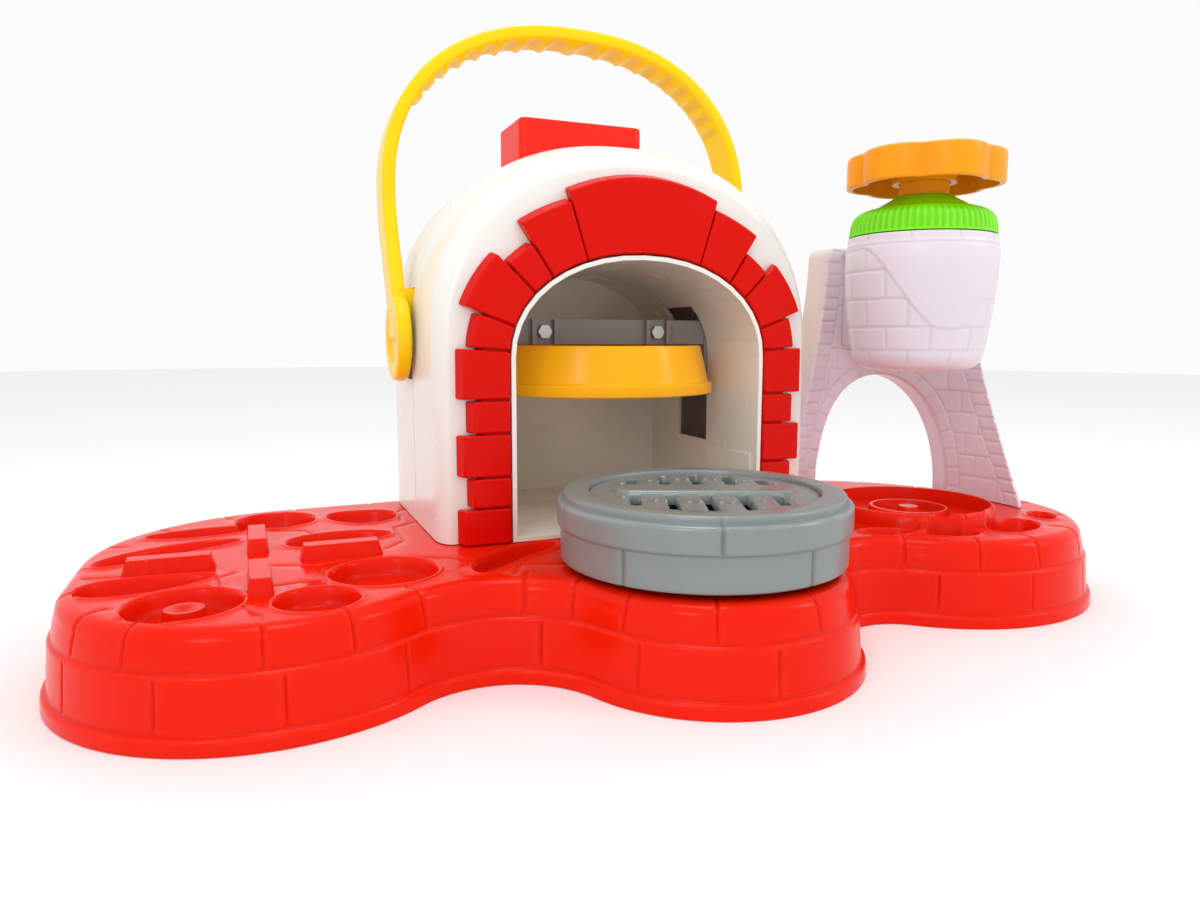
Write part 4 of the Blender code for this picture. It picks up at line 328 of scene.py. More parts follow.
class Bench:
    """Adds nodes to a tree and links them, in a few words a step."""

    def __init__(self, tree: bpy.types.NodeTree) -> None:
        """Works on one node tree."""
        self.tree = tree

    def add(self, kind: str, **values: float) -> bpy.types.Node:
        """A node of a kind with values on its inputs."""
        node = self.tree.nodes.new(kind)
        for label, value in values.items():
            node.inputs[label].default_value = value
        return node

    def place(self, group: bpy.types.NodeTree) -> bpy.types.Node:
        """A shader group as a node."""
        node = self.tree.nodes.new("ShaderNodeGroup")
        node.node_tree = group
        return node

    def link(self, source, target) -> None:
        """Links an output to an input, or sets the input to a plain value."""
        if isinstance(source, bpy.types.NodeSocket):
            self.tree.links.new(source, target)
        else:
            target.default_value = source

    def noise(self, coords, scale: float, detail: float, roughness: float):
        """A noise value over coordinates."""
        node = self.add("ShaderNodeTexNoise", Scale=scale, Detail=detail, Roughness=roughness)
        self.link(coords, node.inputs["Vector"])
        return node.outputs["Fac"]

    def ramp(self, value, low: float, high: float):
        """A value mapped from low..high to 0..1, smooth at both ends."""
        node = self.add("ShaderNodeMapRange")
        node.interpolation_type = "SMOOTHSTEP"
        self.link(value, node.inputs["Value"])
        node.inputs["From Min"].default_value = low
        node.inputs["From Max"].default_value = high
        return node.outputs["Result"]

    def math(self, operation: str, first, second):
        """One step of arithmetic on two values."""
        node = self.add("ShaderNodeMath")
        node.operation = operation
        self.link(first, node.inputs[0])
        self.link(second, node.inputs[1])
        return node.outputs[0]

    def mix(self, share, first, second):
        """Two colours mixed by a share."""
        node = self.add("ShaderNodeMix")
        node.data_type = "RGBA"
        self.link(share, node.inputs["Factor"])
        self.link(first, node.inputs["A"])
        self.link(second, node.inputs["B"])
        return node.outputs["Result"]


CAD_FINISHES: dict[str, Finish] = {
    "base_shell": BASE_RED,
    "oven_front_shell": SHELL_WHITE,
    "oven_rear_shell": SHELL_WHITE,
    "oven_liner": LINER_WHITE,
    "brick_arch": TRIM_RED,
    "chimney": CHIMNEY_RED,
    "tower": LAVENDER,
    "extruder_barrel": LAVENDER,
    "nozzle_plate": LAVENDER,
    "barrel_cap": CAP_GREEN,
    "spindle": KNOB_ORANGE,
    "piston": KNOB_ORANGE,
    "piston_seal": SEAL_BLACK,
    "knob": KNOB_ORANGE,
    "handle": HANDLE_YELLOW,
    "carriage": BEAM_GREY,
    "stamper": STAMPER_AMBER,
    "pan_body": PAN_GREY,
    "pan_grate": PAN_GREY,
}


def dress_cad_nodes(shop: ShaderShop) -> None:
    """Gives every CAD node its finish; screws, bolts and pins are steel."""
    for name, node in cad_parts.items():
        node.data.materials.clear()
        node.data.materials.append(shop.material(CAD_FINISHES.get(name, SCREW_STEEL)))
        node.data.shade_smooth()
        node.data.set_sharp_from_angle(angle=math.radians(32))


# ---------------------------------------------------------------- studio


@dataclass(frozen=True)
class Studio:
    """The camera at the photograph's place, a pale floor and soft lights."""

    camera_place: Colour = (-0.12587665, -0.26695154, 0.09526318)
    camera_right: Colour = (0.92429985, -0.38165642, 0.00285832)
    camera_up: Colour = (0.04692416, 0.12106732, 0.99153458)
    camera_forward: Colour = (0.37877159, 0.91634114, -0.12981141)
    lens: float = 25.7393625
    sensor: float = 36.0
    floor_radius: float = 2.6
    floor_colour: Colour = (0.90, 0.90, 0.895)
    sky_colour: Colour = (1.0, 1.0, 1.0)
    sky_strength: float = 0.97

    def camera(self) -> None:
        """Sets the scene's camera."""
        data = bpy.data.cameras.new("photo_camera")
        data.lens = self.lens
        data.sensor_width = self.sensor
        data.clip_start = 0.005
        eye = bpy.data.objects.new("photo_camera", data)
        bpy.context.scene.collection.objects.link(eye)
        axes = (self.camera_right, self.camera_up, [-a for a in self.camera_forward])
        turn = Matrix(axes).transposed().to_4x4()
        eye.matrix_world = Matrix.Translation(Vector(self.camera_place)) @ turn
        bpy.context.scene.camera = eye

    def floor(self) -> None:
        """A pale round floor, a ring of points at each radius, with a faint cloud of tone."""
        radii = np.linspace(0.0, self.floor_radius, 9)[1:, None]
        angles = np.linspace(0.0, math.tau, 64, endpoint=False)[None, :]
        rings = np.stack([radii * np.cos(angles), radii * np.sin(angles), np.full((8, 64), -0.0002)], axis=-1)
        verts = np.vstack([rings.reshape(-1, 3), [[0.0, 0.0, -0.0002]]])
        faces = grid_faces(8, 64, wrap=True)
        hub = [(512, i, (i + 1) % 64) for i in range(64)]
        mesh = bpy.data.meshes.new("floor")
        mesh.from_pydata(verts.tolist(), [], faces + hub)
        floor = bpy.data.objects.new("floor", mesh)
        bpy.context.scene.collection.objects.link(floor)
        material = bpy.data.materials.new("floor_paper")
        material.use_nodes = True
        bench = Bench(material.node_tree)
        shader = material.node_tree.nodes["Principled BSDF"]
        coords = bench.add("ShaderNodeTexCoord").outputs["Object"]
        tone = bench.noise(coords, 3.0, 2.0, 0.5)
        bright = (*self.floor_colour, 1.0)
        dim = (*(c * 0.985 for c in self.floor_colour), 1.0)
        bench.link(bench.mix(tone, bright, dim), shader.inputs["Base Color"])
        shader.inputs["Roughness"].default_value = 0.75
        mesh.materials.append(material)

    def lights(self) -> None:
        """A broad soft box overhead, one from the left front and a tall one at the right, under a white sky."""
        lamps = (
            ("top_box", (-0.10, -0.15, 0.95), (0.02, 0.02, 0.05), 0.30, 0.30, 1.8),
            ("front_box", (-0.75, -0.85, 0.55), (0.0, 0.0, 0.07), 0.20, 0.40, 1.5),
            ("right_box", (0.85, -0.55, 0.60), (0.08, 0.0, 0.06), 0.14, 0.36, 1.3),
        )
        for name, place, aim, width, height, power in lamps:
            data = bpy.data.lights.new(name, "AREA")
            data.shape = "RECTANGLE"
            data.size = width
            data.size_y = height
            data.energy = power
            lamp = bpy.data.objects.new(name, data)
            bpy.context.scene.collection.objects.link(lamp)
            away = Vector(place) - Vector(aim)
            lamp.matrix_world = Matrix.Translation(Vector(place)) @ away.to_track_quat("Z", "Y").to_matrix().to_4x4()
        world = bpy.data.worlds.new("studio_sky")
        world.use_nodes = True
        sky = world.node_tree.nodes["Background"]
        sky.inputs["Color"].default_value = (*self.sky_colour, 1.0)
        sky.inputs["Strength"].default_value = self.sky_strength
        bpy.context.scene.world = world
        bpy.context.scene.view_settings.view_transform = "Standard"


# ---------------------------------------------------------------- surfaces


PLAN_SHIFT = np.array((0.0003, 0.00325, -0.0285))
MM = 0.001
GAP = 0.0003


def grid_faces(rows: int, columns: int, wrap: bool = False, first: int = 0) -> Faces:
    """Quads of a grid of rows x columns points.

    Args:
        rows: how many rows of points there are.
        columns: how many points a row has.
        wrap: whether the last column meets the first.
        first: the index of the grid's first point.

    Returns:
        The faces as index tuples, in the order that faces outwards when rows rise and columns turn left.
    """
    last = columns if wrap else columns - 1
    row, column = np.meshgrid(np.arange(rows - 1), np.arange(last), indexing="ij")
    beside = (column + 1) % columns
    quads = np.stack(
        [row * columns + column, row * columns + beside, (row + 1) * columns + beside, (row + 1) * columns + column],
        axis=-1,
    )
    return (quads.reshape(-1, 4) + first).tolist()


def smooth(value: Points, low: float, high: float) -> Points:
    """Values mapped from low..high to 0..1 by t * t * (3 - 2 * t)."""
    share = np.clip((value - low) / (high - low), 0.0, 1.0)
    return share * share * (3 - 2 * share)


def groove_at(distance: Points, width: float) -> Points:
    """A groove's section: 1 on its middle line and exp(-(distance / width) ** 2) beside it."""
    return np.exp(-((distance / width) ** 2))


def round_over(distance: Points, radius: float) -> Points:
    """How far an edge's quarter round falls back: r - sqrt(r * r - (r - d) ** 2), and 0 past the radius."""
    inside = np.clip(radius - distance, 0.0, radius)
    return radius - np.sqrt(radius * radius - inside * inside)


def marked_steps(start: float, end: float, step: float, marks=(), offsets=(0.0,)) -> Points:
    """Evenly spaced stations with extra ones beside each mark.

    Args:
        start: the first station.
        end: the last station.
        step: the even spacing.
        marks: places that need extra stations.
        offsets: where the extra stations lie from each mark.

    Returns:
        The stations in rising order, none closer than a twentieth of a millimetre.
    """
    even = np.linspace(start, end, max(2, int(round((end - start) / step)) + 1))
    near = np.add.outer(np.asarray(marks, float), np.asarray(offsets, float)).ravel()
    near = near[(near > start + step / 9) & (near < end - step / 9)]
    stations = np.sort(np.concatenate([even, near]))
    return stations[np.concatenate([[True], np.diff(stations) > 0.05 * MM])]


def nearest_mark(stations: Points, marks, period: float) -> Points:
    """Distance from each station to the nearest mark on a closed line of that length."""
    apart = np.abs(np.subtract.outer(stations, np.asarray(marks, float)))
    return np.minimum(apart, period - apart).min(axis=1)


def superellipse(half_width, rise, bulge, degrees) -> tuple[Points, Points]:
    """x = a * cos(t) ** (2 / n) and y = b * sin(t) ** (2 / n), with the cosine's sign kept."""
    c = np.cos(np.radians(degrees))
    s = np.abs(np.sin(np.radians(degrees)))
    c = np.where(np.abs(c) < 1e-9, 0.0, c)
    return half_width * np.sign(c) * np.abs(c) ** (2 / bulge), rise * s ** (2 / bulge)


def polar(centre, radius, angle, height) -> Points:
    """Points round a centre: (x + r * cos(a), y + r * sin(a), z), arrays stretched to one shape."""
    radius, angle, height = np.broadcast_arrays(radius, angle, height)
    return np.stack([centre[0] + radius * np.cos(angle), centre[1] + radius * np.sin(angle), height], axis=-1)


def segment_distance(points: Points, starts: Points, ends: Points) -> tuple[Points, Points]:
    """Distance from points to the nearest of some segments.

    Args:
        points: (n, 2) places.
        starts: (m, 2) first ends.
        ends: (m, 2) second ends.

    Returns:
        The distances, and for each point the nearest segment's number plus its share along it.
    """
    along = ends - starts
    length = np.maximum((along**2).sum(axis=1), 1e-18)
    near, where = [], []
    for block in np.array_split(points, max(1, len(points) * len(starts) // 1500000)):
        away = block[:, None] - starts[None]
        share = np.clip((away * along).sum(axis=2) / length, 0.0, 1.0)
        gap = np.hypot(*np.moveaxis(away - share[..., None] * along, 2, 0))
        best = gap.argmin(axis=1)
        row = np.arange(len(block))
        near.append(gap[row, best])
        where.append(best + share[row, best])
    return np.concatenate(near), np.concatenate(where)


def depth_inside(loop: Points, points: Points) -> Points:
    """Distance from a closed outline, positive inside it, by counting the outline's crossings of a ray."""
    starts, ends = loop, np.roll(loop, -1, axis=0)
    distance, _ = segment_distance(points, starts, ends)
    signs = []
    for block in np.array_split(points, max(1, len(points) * len(loop) // 1500000)):
        x, y = block[:, :1], block[:, 1:]
        spans = (starts[:, 1] > y) != (ends[:, 1] > y)
        rise = ends[:, 1] - starts[:, 1]
        rise = np.where(np.abs(rise) < 1e-15, 1e-15, rise)
        crossing = (ends[:, 0] - starts[:, 0]) * (y - starts[:, 1]) / rise + starts[:, 0]
        signs.append((spans & (x < crossing)).sum(axis=1) % 2)
    return np.where(np.concatenate(signs) > 0, distance, -distance)


def scatter(low, high, step: float, taken: Points) -> Points:
    """A triangular lattice of places over a box, without those close to places already taken."""
    columns = np.arange(low[0], high[0], step)
    rows = np.arange(low[1], high[1], step * math.sqrt(3) / 2)
    x, y = np.meshgrid(columns, rows)
    x = x + np.where(np.arange(len(rows)) % 2, step / 2, 0.0)[:, None]
    lattice = np.stack([x.ravel(), y.ravel()], axis=1)
    cell = step * 0.6
    origin = np.array(low) - 10 * cell

    def key(places: Points, dx: int = 0, dy: int = 0) -> Points:
        """One whole number for the square cell that each place lies in."""
        square = np.floor((places - origin) / cell).astype(np.int64)
        return (square[:, 0] + dx) * 1000003 + square[:, 1] + dy

    used = np.concatenate([key(taken), key(taken, 1), key(taken, -1), key(taken, 0, 1), key(taken, 0, -1)])
    return lattice[~np.isin(key(lattice), used)]


def triangulate(loops: list[Points], extra: Points) -> tuple[Points, Points]:
    """Delaunay triangles of the region inside the first loop and outside the others.

    Args:
        loops: closed outlines, the outer one first.
        extra: more places to use as corners.

    Returns:
        The places, the loops' own first, and the triangles as rows of three numbers.
    """
    edges, start = [], 0
    for loop in loops:
        ids = np.arange(len(loop)) + start
        edges.append(np.stack([ids, np.roll(ids, -1)], axis=1))
        start += len(loop)
    places = np.vstack([*loops, extra]) / MM
    made = delaunay_2d_cdt([Vector(place) for place in places.tolist()], np.vstack(edges).tolist(), [], 1, 1e-5)
    corners = np.array([tuple(place) for place in made[0]]) * MM
    triangles = np.array(made[2])
    middle = corners[triangles].mean(axis=1)
    for loop in loops[1:]:
        near = (np.abs(middle - loop.mean(axis=0)) < np.ptp(loop, axis=0)).all(axis=1)
        inside = np.zeros(len(middle), bool)
        inside[near] = depth_inside(loop, middle[near]) > 0
        triangles, middle = triangles[~inside], middle[~inside]
    used = np.union1d(np.arange(start), triangles)
    number = np.zeros(len(corners), int)
    number[used] = np.arange(len(used))
    return corners[used], number[triangles]


class Skin:
    """Gathers the surfaces of one piece, welds them and hands the finished object to the frame."""

    def __init__(self, name: str) -> None:
        """Starts a piece of that name with no surface."""
        self.name = name
        self.points: list[Points] = []
        self.faces: Faces = []
        self.marks: dict[str, list[Points]] = {"groove": [], "edge": []}
        self.count = 0

    def add(self, points: Points, faces: Faces, groove=0.0, edge=0.0) -> None:
        """Adds points with their faces and their relief marks, 0 to 1: grooves, which get dust and painted shade, and
        raised edges, which get wear and a painted highlight.
        """
        flat = points.reshape(-1, 3)
        self.points.append(flat)
        for label, value in (("groove", groove), ("edge", edge)):
            self.marks[label].append(np.clip(np.broadcast_to(value, points.shape[:-1]).ravel(), 0.0, 1.0))
        self.faces += (faces + self.count).tolist()
        self.count += len(flat)

    def grid(self, points: Points, groove=0.0, edge=0.0) -> None:
        """Adds a grid of rings, each ring closed on itself and the ends left open."""
        rows, columns = points.shape[:2]
        self.add(points, np.array(grid_faces(rows, columns, wrap=True)), groove, edge)

    def sweep(self, rings: Points, wrap: bool = False, groove=0.0, edge=0.0) -> None:
        """Adds a body of rings, one after the other.

        Args:
            rings: stations x ring x 3 points; each ring closes on itself.
            wrap: whether the last ring meets the first; if not, both ends get a flat cap.
            groove: how deep in a groove each point lies, 0 to 1; it darkens the point with dust and painted shade.
            edge: how much each point is on a raised edge, 0 to 1; it lightens the point with wear and a painted
                highlight.
        """
        stations, ring = rings.shape[:2]
        faces = np.array(grid_faces(stations, ring, wrap=True))
        self.add(rings, faces, groove, edge)
        ids = np.arange(stations * ring).reshape(stations, ring) + self.count - stations * ring
        if wrap:
            pair = np.stack([ids[-1], np.roll(ids[-1], -1), np.roll(ids[0], -1), ids[0]], axis=1)
            self.faces += pair.tolist()
        else:
            self.faces += [ids[0][::-1].tolist(), ids[-1].tolist()]

    def sheet(
        self, outer: Points, inner: Points, keep: Points, open_rows: bool = False, groove=0.0, edge=0.0
    ) -> None:
        """Adds a thick sheet between two grids: both faces, and a wall round each edge and opening.

        Args:
            outer: rows x columns x 3 points of one face.
            inner: the matching points of the other face.
            keep: which cells of the grid are there.
            open_rows: leaves out the wall along the last row, where the sheet's halves meet.
            groove: as for sweep, on the outer face.
            edge: as for sweep, on the outer face.
        """
        rows, columns = outer.shape[:2]
        ids = np.arange(rows * columns).reshape(rows, columns)
        a, b, c, d = ids[:-1, :-1], ids[:-1, 1:], ids[1:, 1:], ids[1:, :-1]
        under = rows * columns
        ring = np.pad(keep, 1)
        if open_rows:
            ring[-1] = True
        walls = (
            (keep & ~ring[:-2, 1:-1], a, b),
            (keep & ~ring[2:, 1:-1], c, d),
            (keep & ~ring[1:-1, :-2], d, a),
            (keep & ~ring[1:-1, 2:], b, c),
        )
        faces = [np.stack([a, b, c, d], axis=-1)[keep], np.stack([d, c, b, a], axis=-1)[keep] + under]
        faces += [np.stack([q, p, p + under, q + under], axis=-1)[where] for where, p, q in walls]
        zero = np.zeros((rows, columns))
        marks = [np.stack([np.broadcast_to(value, (rows, columns)), zero]) for value in (groove, edge)]
        self.add(np.stack([outer, inner]), np.vstack(faces), *marks)

    def plate(
        self, corners: Points, triangles: Points, top: Points, bottom: Points, loops: list[Points], groove=0.0, edge=0.0
    ) -> None:
        """Adds a plate from a triangulated plan: a top, a bottom and a wall down each loop."""
        count = len(corners)
        faces = [triangles.tolist(), (triangles[:, ::-1] + count).tolist()]
        start = 0
        for loop in loops:
            ids = np.arange(len(loop)) + start
            beside = np.roll(ids, -1)
            faces.append(np.stack([beside, ids, ids + count, beside + count], axis=1).tolist())
            start += len(loop)
        zero = np.zeros(count)
        marks = [np.stack([np.broadcast_to(value, count), zero]) for value in (groove, edge)]
        first = self.count
        self.add(np.stack([top, bottom]), np.zeros((0, 4), int), *marks)
        self.faces += [[corner + first for corner in face] for part in faces for face in part]

    def finish(
        self, shop: ShaderShop, finish: Finish, body: str, slot: Slot, nodes: list[str], sharp: float, bevel=0.0
    ) -> bpy.types.Object:
        """Makes the object, welds its seams, turns its faces outwards, hides the CAD nodes it replaces and hangs it on
        its body.

        Args:
            shop: where its material comes from.
            finish: what it looks like.
            body: the CAD body it rides on.
            slot: a material slot; not used.
            nodes: the CAD nodes it replaces.
            sharp: edges bent by more degrees than this stay sharp.
            bevel: width of a soft edge, or 0 for none.

        Returns:
            The object.
        """
        mesh = bpy.data.meshes.new(self.name)
        mesh.from_pydata((np.vstack(self.points) - PLAN_SHIFT).tolist(), [], self.faces)
        for label, values in self.marks.items():
            layer = mesh.attributes.new(label, "FLOAT", "POINT")
            layer.data.foreach_set("value", np.concatenate(values).astype(np.float32))
        shape = bmesh.new()
        shape.from_mesh(mesh)
        bmesh.ops.remove_doubles(shape, verts=shape.verts, dist=1e-6)
        bmesh.ops.recalc_face_normals(shape, faces=shape.faces)
        shape.to_mesh(mesh)
        shape.free()
        mesh.shade_smooth()
        mesh.set_sharp_from_angle(angle=math.radians(sharp))
        mesh.materials.append(shop.material(finish, relief=True))
        piece = bpy.data.objects.new(self.name, mesh)
        bpy.context.scene.collection.objects.link(piece)
        if bevel:
            soft = piece.modifiers.new("soft_edges", "BEVEL")
            soft.width = bevel
            soft.segments = 2
            soft.limit_method = "ANGLE"
            soft.angle_limit = math.radians(35)
            soft.harden_normals = False
        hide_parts(*nodes)
        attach(piece, body)
        LOG.info("%s: %d corners, %d faces", self.name, len(mesh.vertices), len(mesh.polygons))
        return piece


# ---------------------------------------------------------------- base


def pod(x, y, length, width, turn, bend, swell, grow=0.0, count=80) -> Points:
    """A bean outline: an ellipse bent along an arc and wider towards one end, grown all round by grow."""
    radius = length / (math.radians(bend) or 1e-4)
    angle = np.linspace(0.0, math.tau, count, endpoint=False)
    phase = np.cos(angle) * (length / 2 + grow) / radius
    side = np.sin(angle) * (width / 2 * (1 + swell * np.cos(angle)) + grow)
    px, py = (radius + side) * np.sin(phase), radius - (radius + side) * np.cos(phase)
    c, s = math.cos(math.radians(turn)), math.sin(math.radians(turn))
    return np.stack([x + c * px - s * py, y + s * px + c * py], axis=1)


def circle(x: float, y: float, radius: float, count: int = 80) -> Points:
    """Places evenly round a circle."""
    angle = np.linspace(0.0, math.tau, count, endpoint=False)
    return np.stack([x + radius * np.cos(angle), y + radius * np.sin(angle)], axis=1)


@dataclass(frozen=True)
class Base:
    """The red base: a stepped side wall in two brick courses and a top with moulds, bars and a pedestal."""

    circles: tuple = (
        (0.0, -0.0445, 0.0465, 0.020),
        (0.1194, -0.0033, 0.0605, 0.0),
        (0.098, 0.010, 0.071, 0.0),
        (0.062, 0.0655, 0.032, 0.0),
        (-0.062, 0.0655, 0.032, 0.0),
        (-0.110, 0.025, 0.069, 0.0),
        (-0.1218, -0.0036, 0.0575, 0.028),
    )
    height: float = 0.0285
    inside_mm: tuple = ((6.6, 26.5), (4.9, 15.0), (3.5, 4.4), (2.0, 0.0))
    wall_mm: tuple = (
        (0.0, 0.0), (0.0, 0.3), (0.0, 2.6), (0.05, 3.2), (0.25, 3.75), (0.6, 4.1), (1.0, 4.22), (1.3, 4.34), (1.45, 4.7),
        (1.52, 5.4), (1.65, 7.0), (1.95, 11.0), (2.25, 15.0), (2.38, 16.6), (2.46, 17.3), (2.6, 17.75), (2.9, 18.0),
        (3.2, 18.12), (3.42, 18.4), (3.5, 18.9), (3.6, 19.8), (3.85, 21.6), (4.3, 23.4), (4.6, 24.3),
    )
    top_round: float = 0.0042
    lower_marks: tuple = (13.2, 52.0, 92.0, 130.0, 165.5, 199.1, 233.0, 267.0, 301.0, 335.0, 369.0, 403.0, 437.0,
                          471.0, 505.0, 539.0, 573.0, 607.0, 641.0, 675.0, 709.0, 743.0, 776.0, 805.4, 836.7,
                          867.4, 900.7, 937.9)
    upper_marks: tuple = (6.9, 34.9, 67.4, 105.0, 130.0, 154.4, 179.6, 203.3, 233.0, 262.0, 291.0, 320.0, 349.0,
                          378.0, 407.0, 436.0, 465.0, 494.0, 523.0, 552.0, 581.0, 610.0, 639.0, 668.0, 697.0, 726.0,
                          755.0, 782.0, 807.8, 827.3, 862.5, 885.7, 908.7, 933.5, 945.5)
    groove_depth: float = 0.00050
    mould_depth: float = 0.0050
    left_pods: tuple = (
        (-0.540, -0.085, 0.60, 0.300, 8, 24, -0.30), (-0.500, 0.580, 0.78, 0.220, 28, -30, -0.15),
        (-0.350, 0.990, 0.58, 0.230, 8, 20, 0.10), (0.400, 0.560, 0.60, 0.330, 10, -25, -0.20),
        (0.590, 1.140, 0.46, 0.400, -35, 18, 0.25), (1.222, -0.160, 0.80, 0.220, 38, -58, 0.05),
    )
    left_rounds: tuple = (
        (-0.358, -0.483, 0.247), (0.188, -0.616, 0.191), (0.534, -0.257, 0.268), (0.075, 1.200, 0.240),
    )
    right_pods: tuple = (
        (-0.680, -0.460, 0.30, 0.150, -22, 16, 0), (-0.365, -0.620, 0.34, 0.190, -20, 24, 0.20),
        (0.125, -0.620, 0.46, 0.270, 25, -20, 0.10), (0.540, -0.470, 0.24, 0.170, 52, -12, 0),
    )
    hub: tuple = (-0.14239, -0.03137, 0.00525)
    bars: tuple = (-0.1243, 0.0050, 0.0115, 0.0360, 0.00325, 0.0045, 0.0014)
    pedestal: tuple = (0.109, -0.008)
    rest: tuple = (0.0, -0.041, 0.0360, 0.0015)
    cracks_mm: tuple = (
        ((-124.5, -46.9), (-128.6, -38.2), (-134.9, -15.9), (-135.4, -8.3), (-130.9, -4.1)),
        ((-120.2, 0.0), (-108.3, -4.1), (-107.4, -23.2)), ((-121.2, -22.2), (-106.8, -19.8)),
        ((-108.3, -4.1), (-93.1, 0.8), (-74.1, -7.9), (-59.5, -17.4), (-52.2, -24.9), (-39.6, -30.3)),
        ((-86.9, 8.5), (-79.1, 17.8), (-79.5, 38.4), (-71.4, 45.2)), ((-171.3, 4.6), (-156.0, 3.0), (-145.9, 2.1)),
        ((-108.7, 45.3), (-106.0, 37.3), (-98.0, 33.0)), ((-104.0, -51.7), (-109.2, -50.8)),
        ((-85.3, -45.2), (-84.6, -40.3), (-87.6, -36.3)), ((-96.8, -2.4), (-105.2, -14.2)),
        ((-52.2, -24.9), (-57.0, -33.1)), ((72.0, -20.0), (62.0, -24.0), (52.0, -22.0)),
        ((60.0, 72.0), (72.0, 58.0), (76.0, 40.0)), ((-62.0, 84.0), (-74.0, 66.0), (-75.0, 50.0)),
        ((150.0, 8.0), (158.0, 2.0), (166.0, 6.0)), ((-128.0, 62.0), (-122.0, 52.0), (-108.7, 45.3)),
    )

    def segments(self) -> list[Points]:
        """The outline's arcs as arrays: length, centre, radius, first angle, sense; a straight is a very wide arc."""
        count = len(self.circles)
        starts, ends, links = [0.0] * count, [0.0] * count, [None] * count
        for i, (ax, ay, ar, fillet) in enumerate(self.circles):
            j = (i + 1) % count
            bx, by, br, _ = self.circles[j]
            a, b = np.array((ax, ay)), np.array((bx, by))
            length = float(np.hypot(*(b - a)))
            along = (b - a) / length
            out = np.array((along[1], -along[0]))
            if fillet:
                forward = ((ar + fillet) ** 2 - (br + fillet) ** 2 + length**2) / (2 * length)
                centre = a + along * forward + out * math.sqrt((ar + fillet) ** 2 - forward**2)
                ends[i] = math.atan2(*(centre - a)[::-1])
                starts[j] = math.atan2(*(centre - b)[::-1])
                links[i] = (centre, fillet)
            else:
                lean = (ar - br) / length
                normal = along * lean + out * math.sqrt(1 - lean**2)
                ends[i] = starts[j] = math.atan2(normal[1], normal[0])
                links[i] = (normal, 0.0)
        rows = []
        for i, (x, y, radius, _) in enumerate(self.circles):
            j = (i + 1) % count
            rows.append((radius * ((ends[i] - starts[i]) % math.tau), x, y, radius, starts[i], 1.0))
            middle, fillet = links[i]
            if fillet:
                first = ends[i] + math.pi
                back = (first - starts[j] - math.pi) % math.tau
                rows.append((fillet * back, *middle, fillet, first, -1.0))
            else:
                from_place = np.array((x, y)) + radius * middle
                to_place = np.array(self.circles[j][:2]) + self.circles[j][2] * middle
                far = from_place - 1000.0 * middle
                rows.append((float(np.hypot(*(to_place - from_place))), *far, 1000.0, ends[i], 1.0))
        return list(np.array(rows).T)

    def place(self, stations: Points) -> tuple[Points, Points]:
        """Places on the outline and the directions outwards, from lengths along it."""
        length, x, y, radius, start, sense = self.segments()
        last = np.cumsum(length)
        k = np.minimum(np.searchsorted(last, stations, side="right"), len(length) - 1)
        angle = start[k] + sense[k] * (stations - last[k] + length[k]) / radius[k]
        unit = np.stack([np.cos(angle), np.sin(angle)], axis=1)
        return np.stack([x[k], y[k]], axis=1) + radius[k, None] * unit, sense[k, None] * unit

    def moulds(self) -> list:
        """Each mould as a function of grow that gives its outline."""
        lx, ly, lr, _ = self.circles[6]
        rx, ry, rr, _ = self.circles[1]
        made = []
        for cx, cy, r, shares in ((lx, ly, lr, self.left_pods), (rx, ry, rr, self.right_pods)):
            for x, y, length, width, turn, bend, swell in shares:
                size = (cx + x * r, cy + y * r, length * r, width * r, turn, bend, swell)
                made.append(lambda grow, size=size: pod(*size, grow, int(size[2] * 2.6 / MM)))
        for x, y, radius in self.left_rounds:
            spot = (lx + x * lr, ly + y * lr, radius * lr)
            made.append(lambda grow, spot=spot: circle(*spot[:2], spot[2] + grow, 96))
        return made

    def top_marks(self) -> tuple[Points, Points]:
        """The top's faint cracks as segments: measured ones, and a short one from each joint of the upper course."""
        starts = np.vstack([np.array(line[:-1]) for line in self.cracks_mm]) * MM
        ends = np.vstack([np.array(line[1:]) for line in self.cracks_mm]) * MM
        place, out = self.place(np.array(self.upper_marks) * MM)
        inset = self.wall_mm[-1][0] * MM + self.top_round
        return np.vstack([starts, place - out * inset]), np.vstack([ends, place - out * (inset + 0.0035)])

    def relief(self, places: Points) -> tuple[Points, Points, Points]:
        """Height above the flat top, groove marks (dust and painted shade) and edge marks (wear and a painted
        highlight): the sum of lips, cups, bars, rings and cracks.
        """
        lip, cup = np.zeros(len(places)), np.zeros(len(places))
        groove, edge = np.zeros(len(places)), np.zeros(len(places))
        for outline in self.moulds():
            loop = outline(0.0)
            near = ((places > loop.min(axis=0) - 3 * MM) & (places < loop.max(axis=0) + 3 * MM)).all(axis=1)
            depth = depth_inside(loop, places[near])
            lip[near] = np.maximum(lip[near], 0.45 * MM * (1 - smooth(np.abs(depth + 0.6 * MM), 0.0, 1.1 * MM)))
            cup[near] = np.minimum(cup[near], -self.mould_depth * smooth(depth, -0.15 * MM, 1.5 * MM))
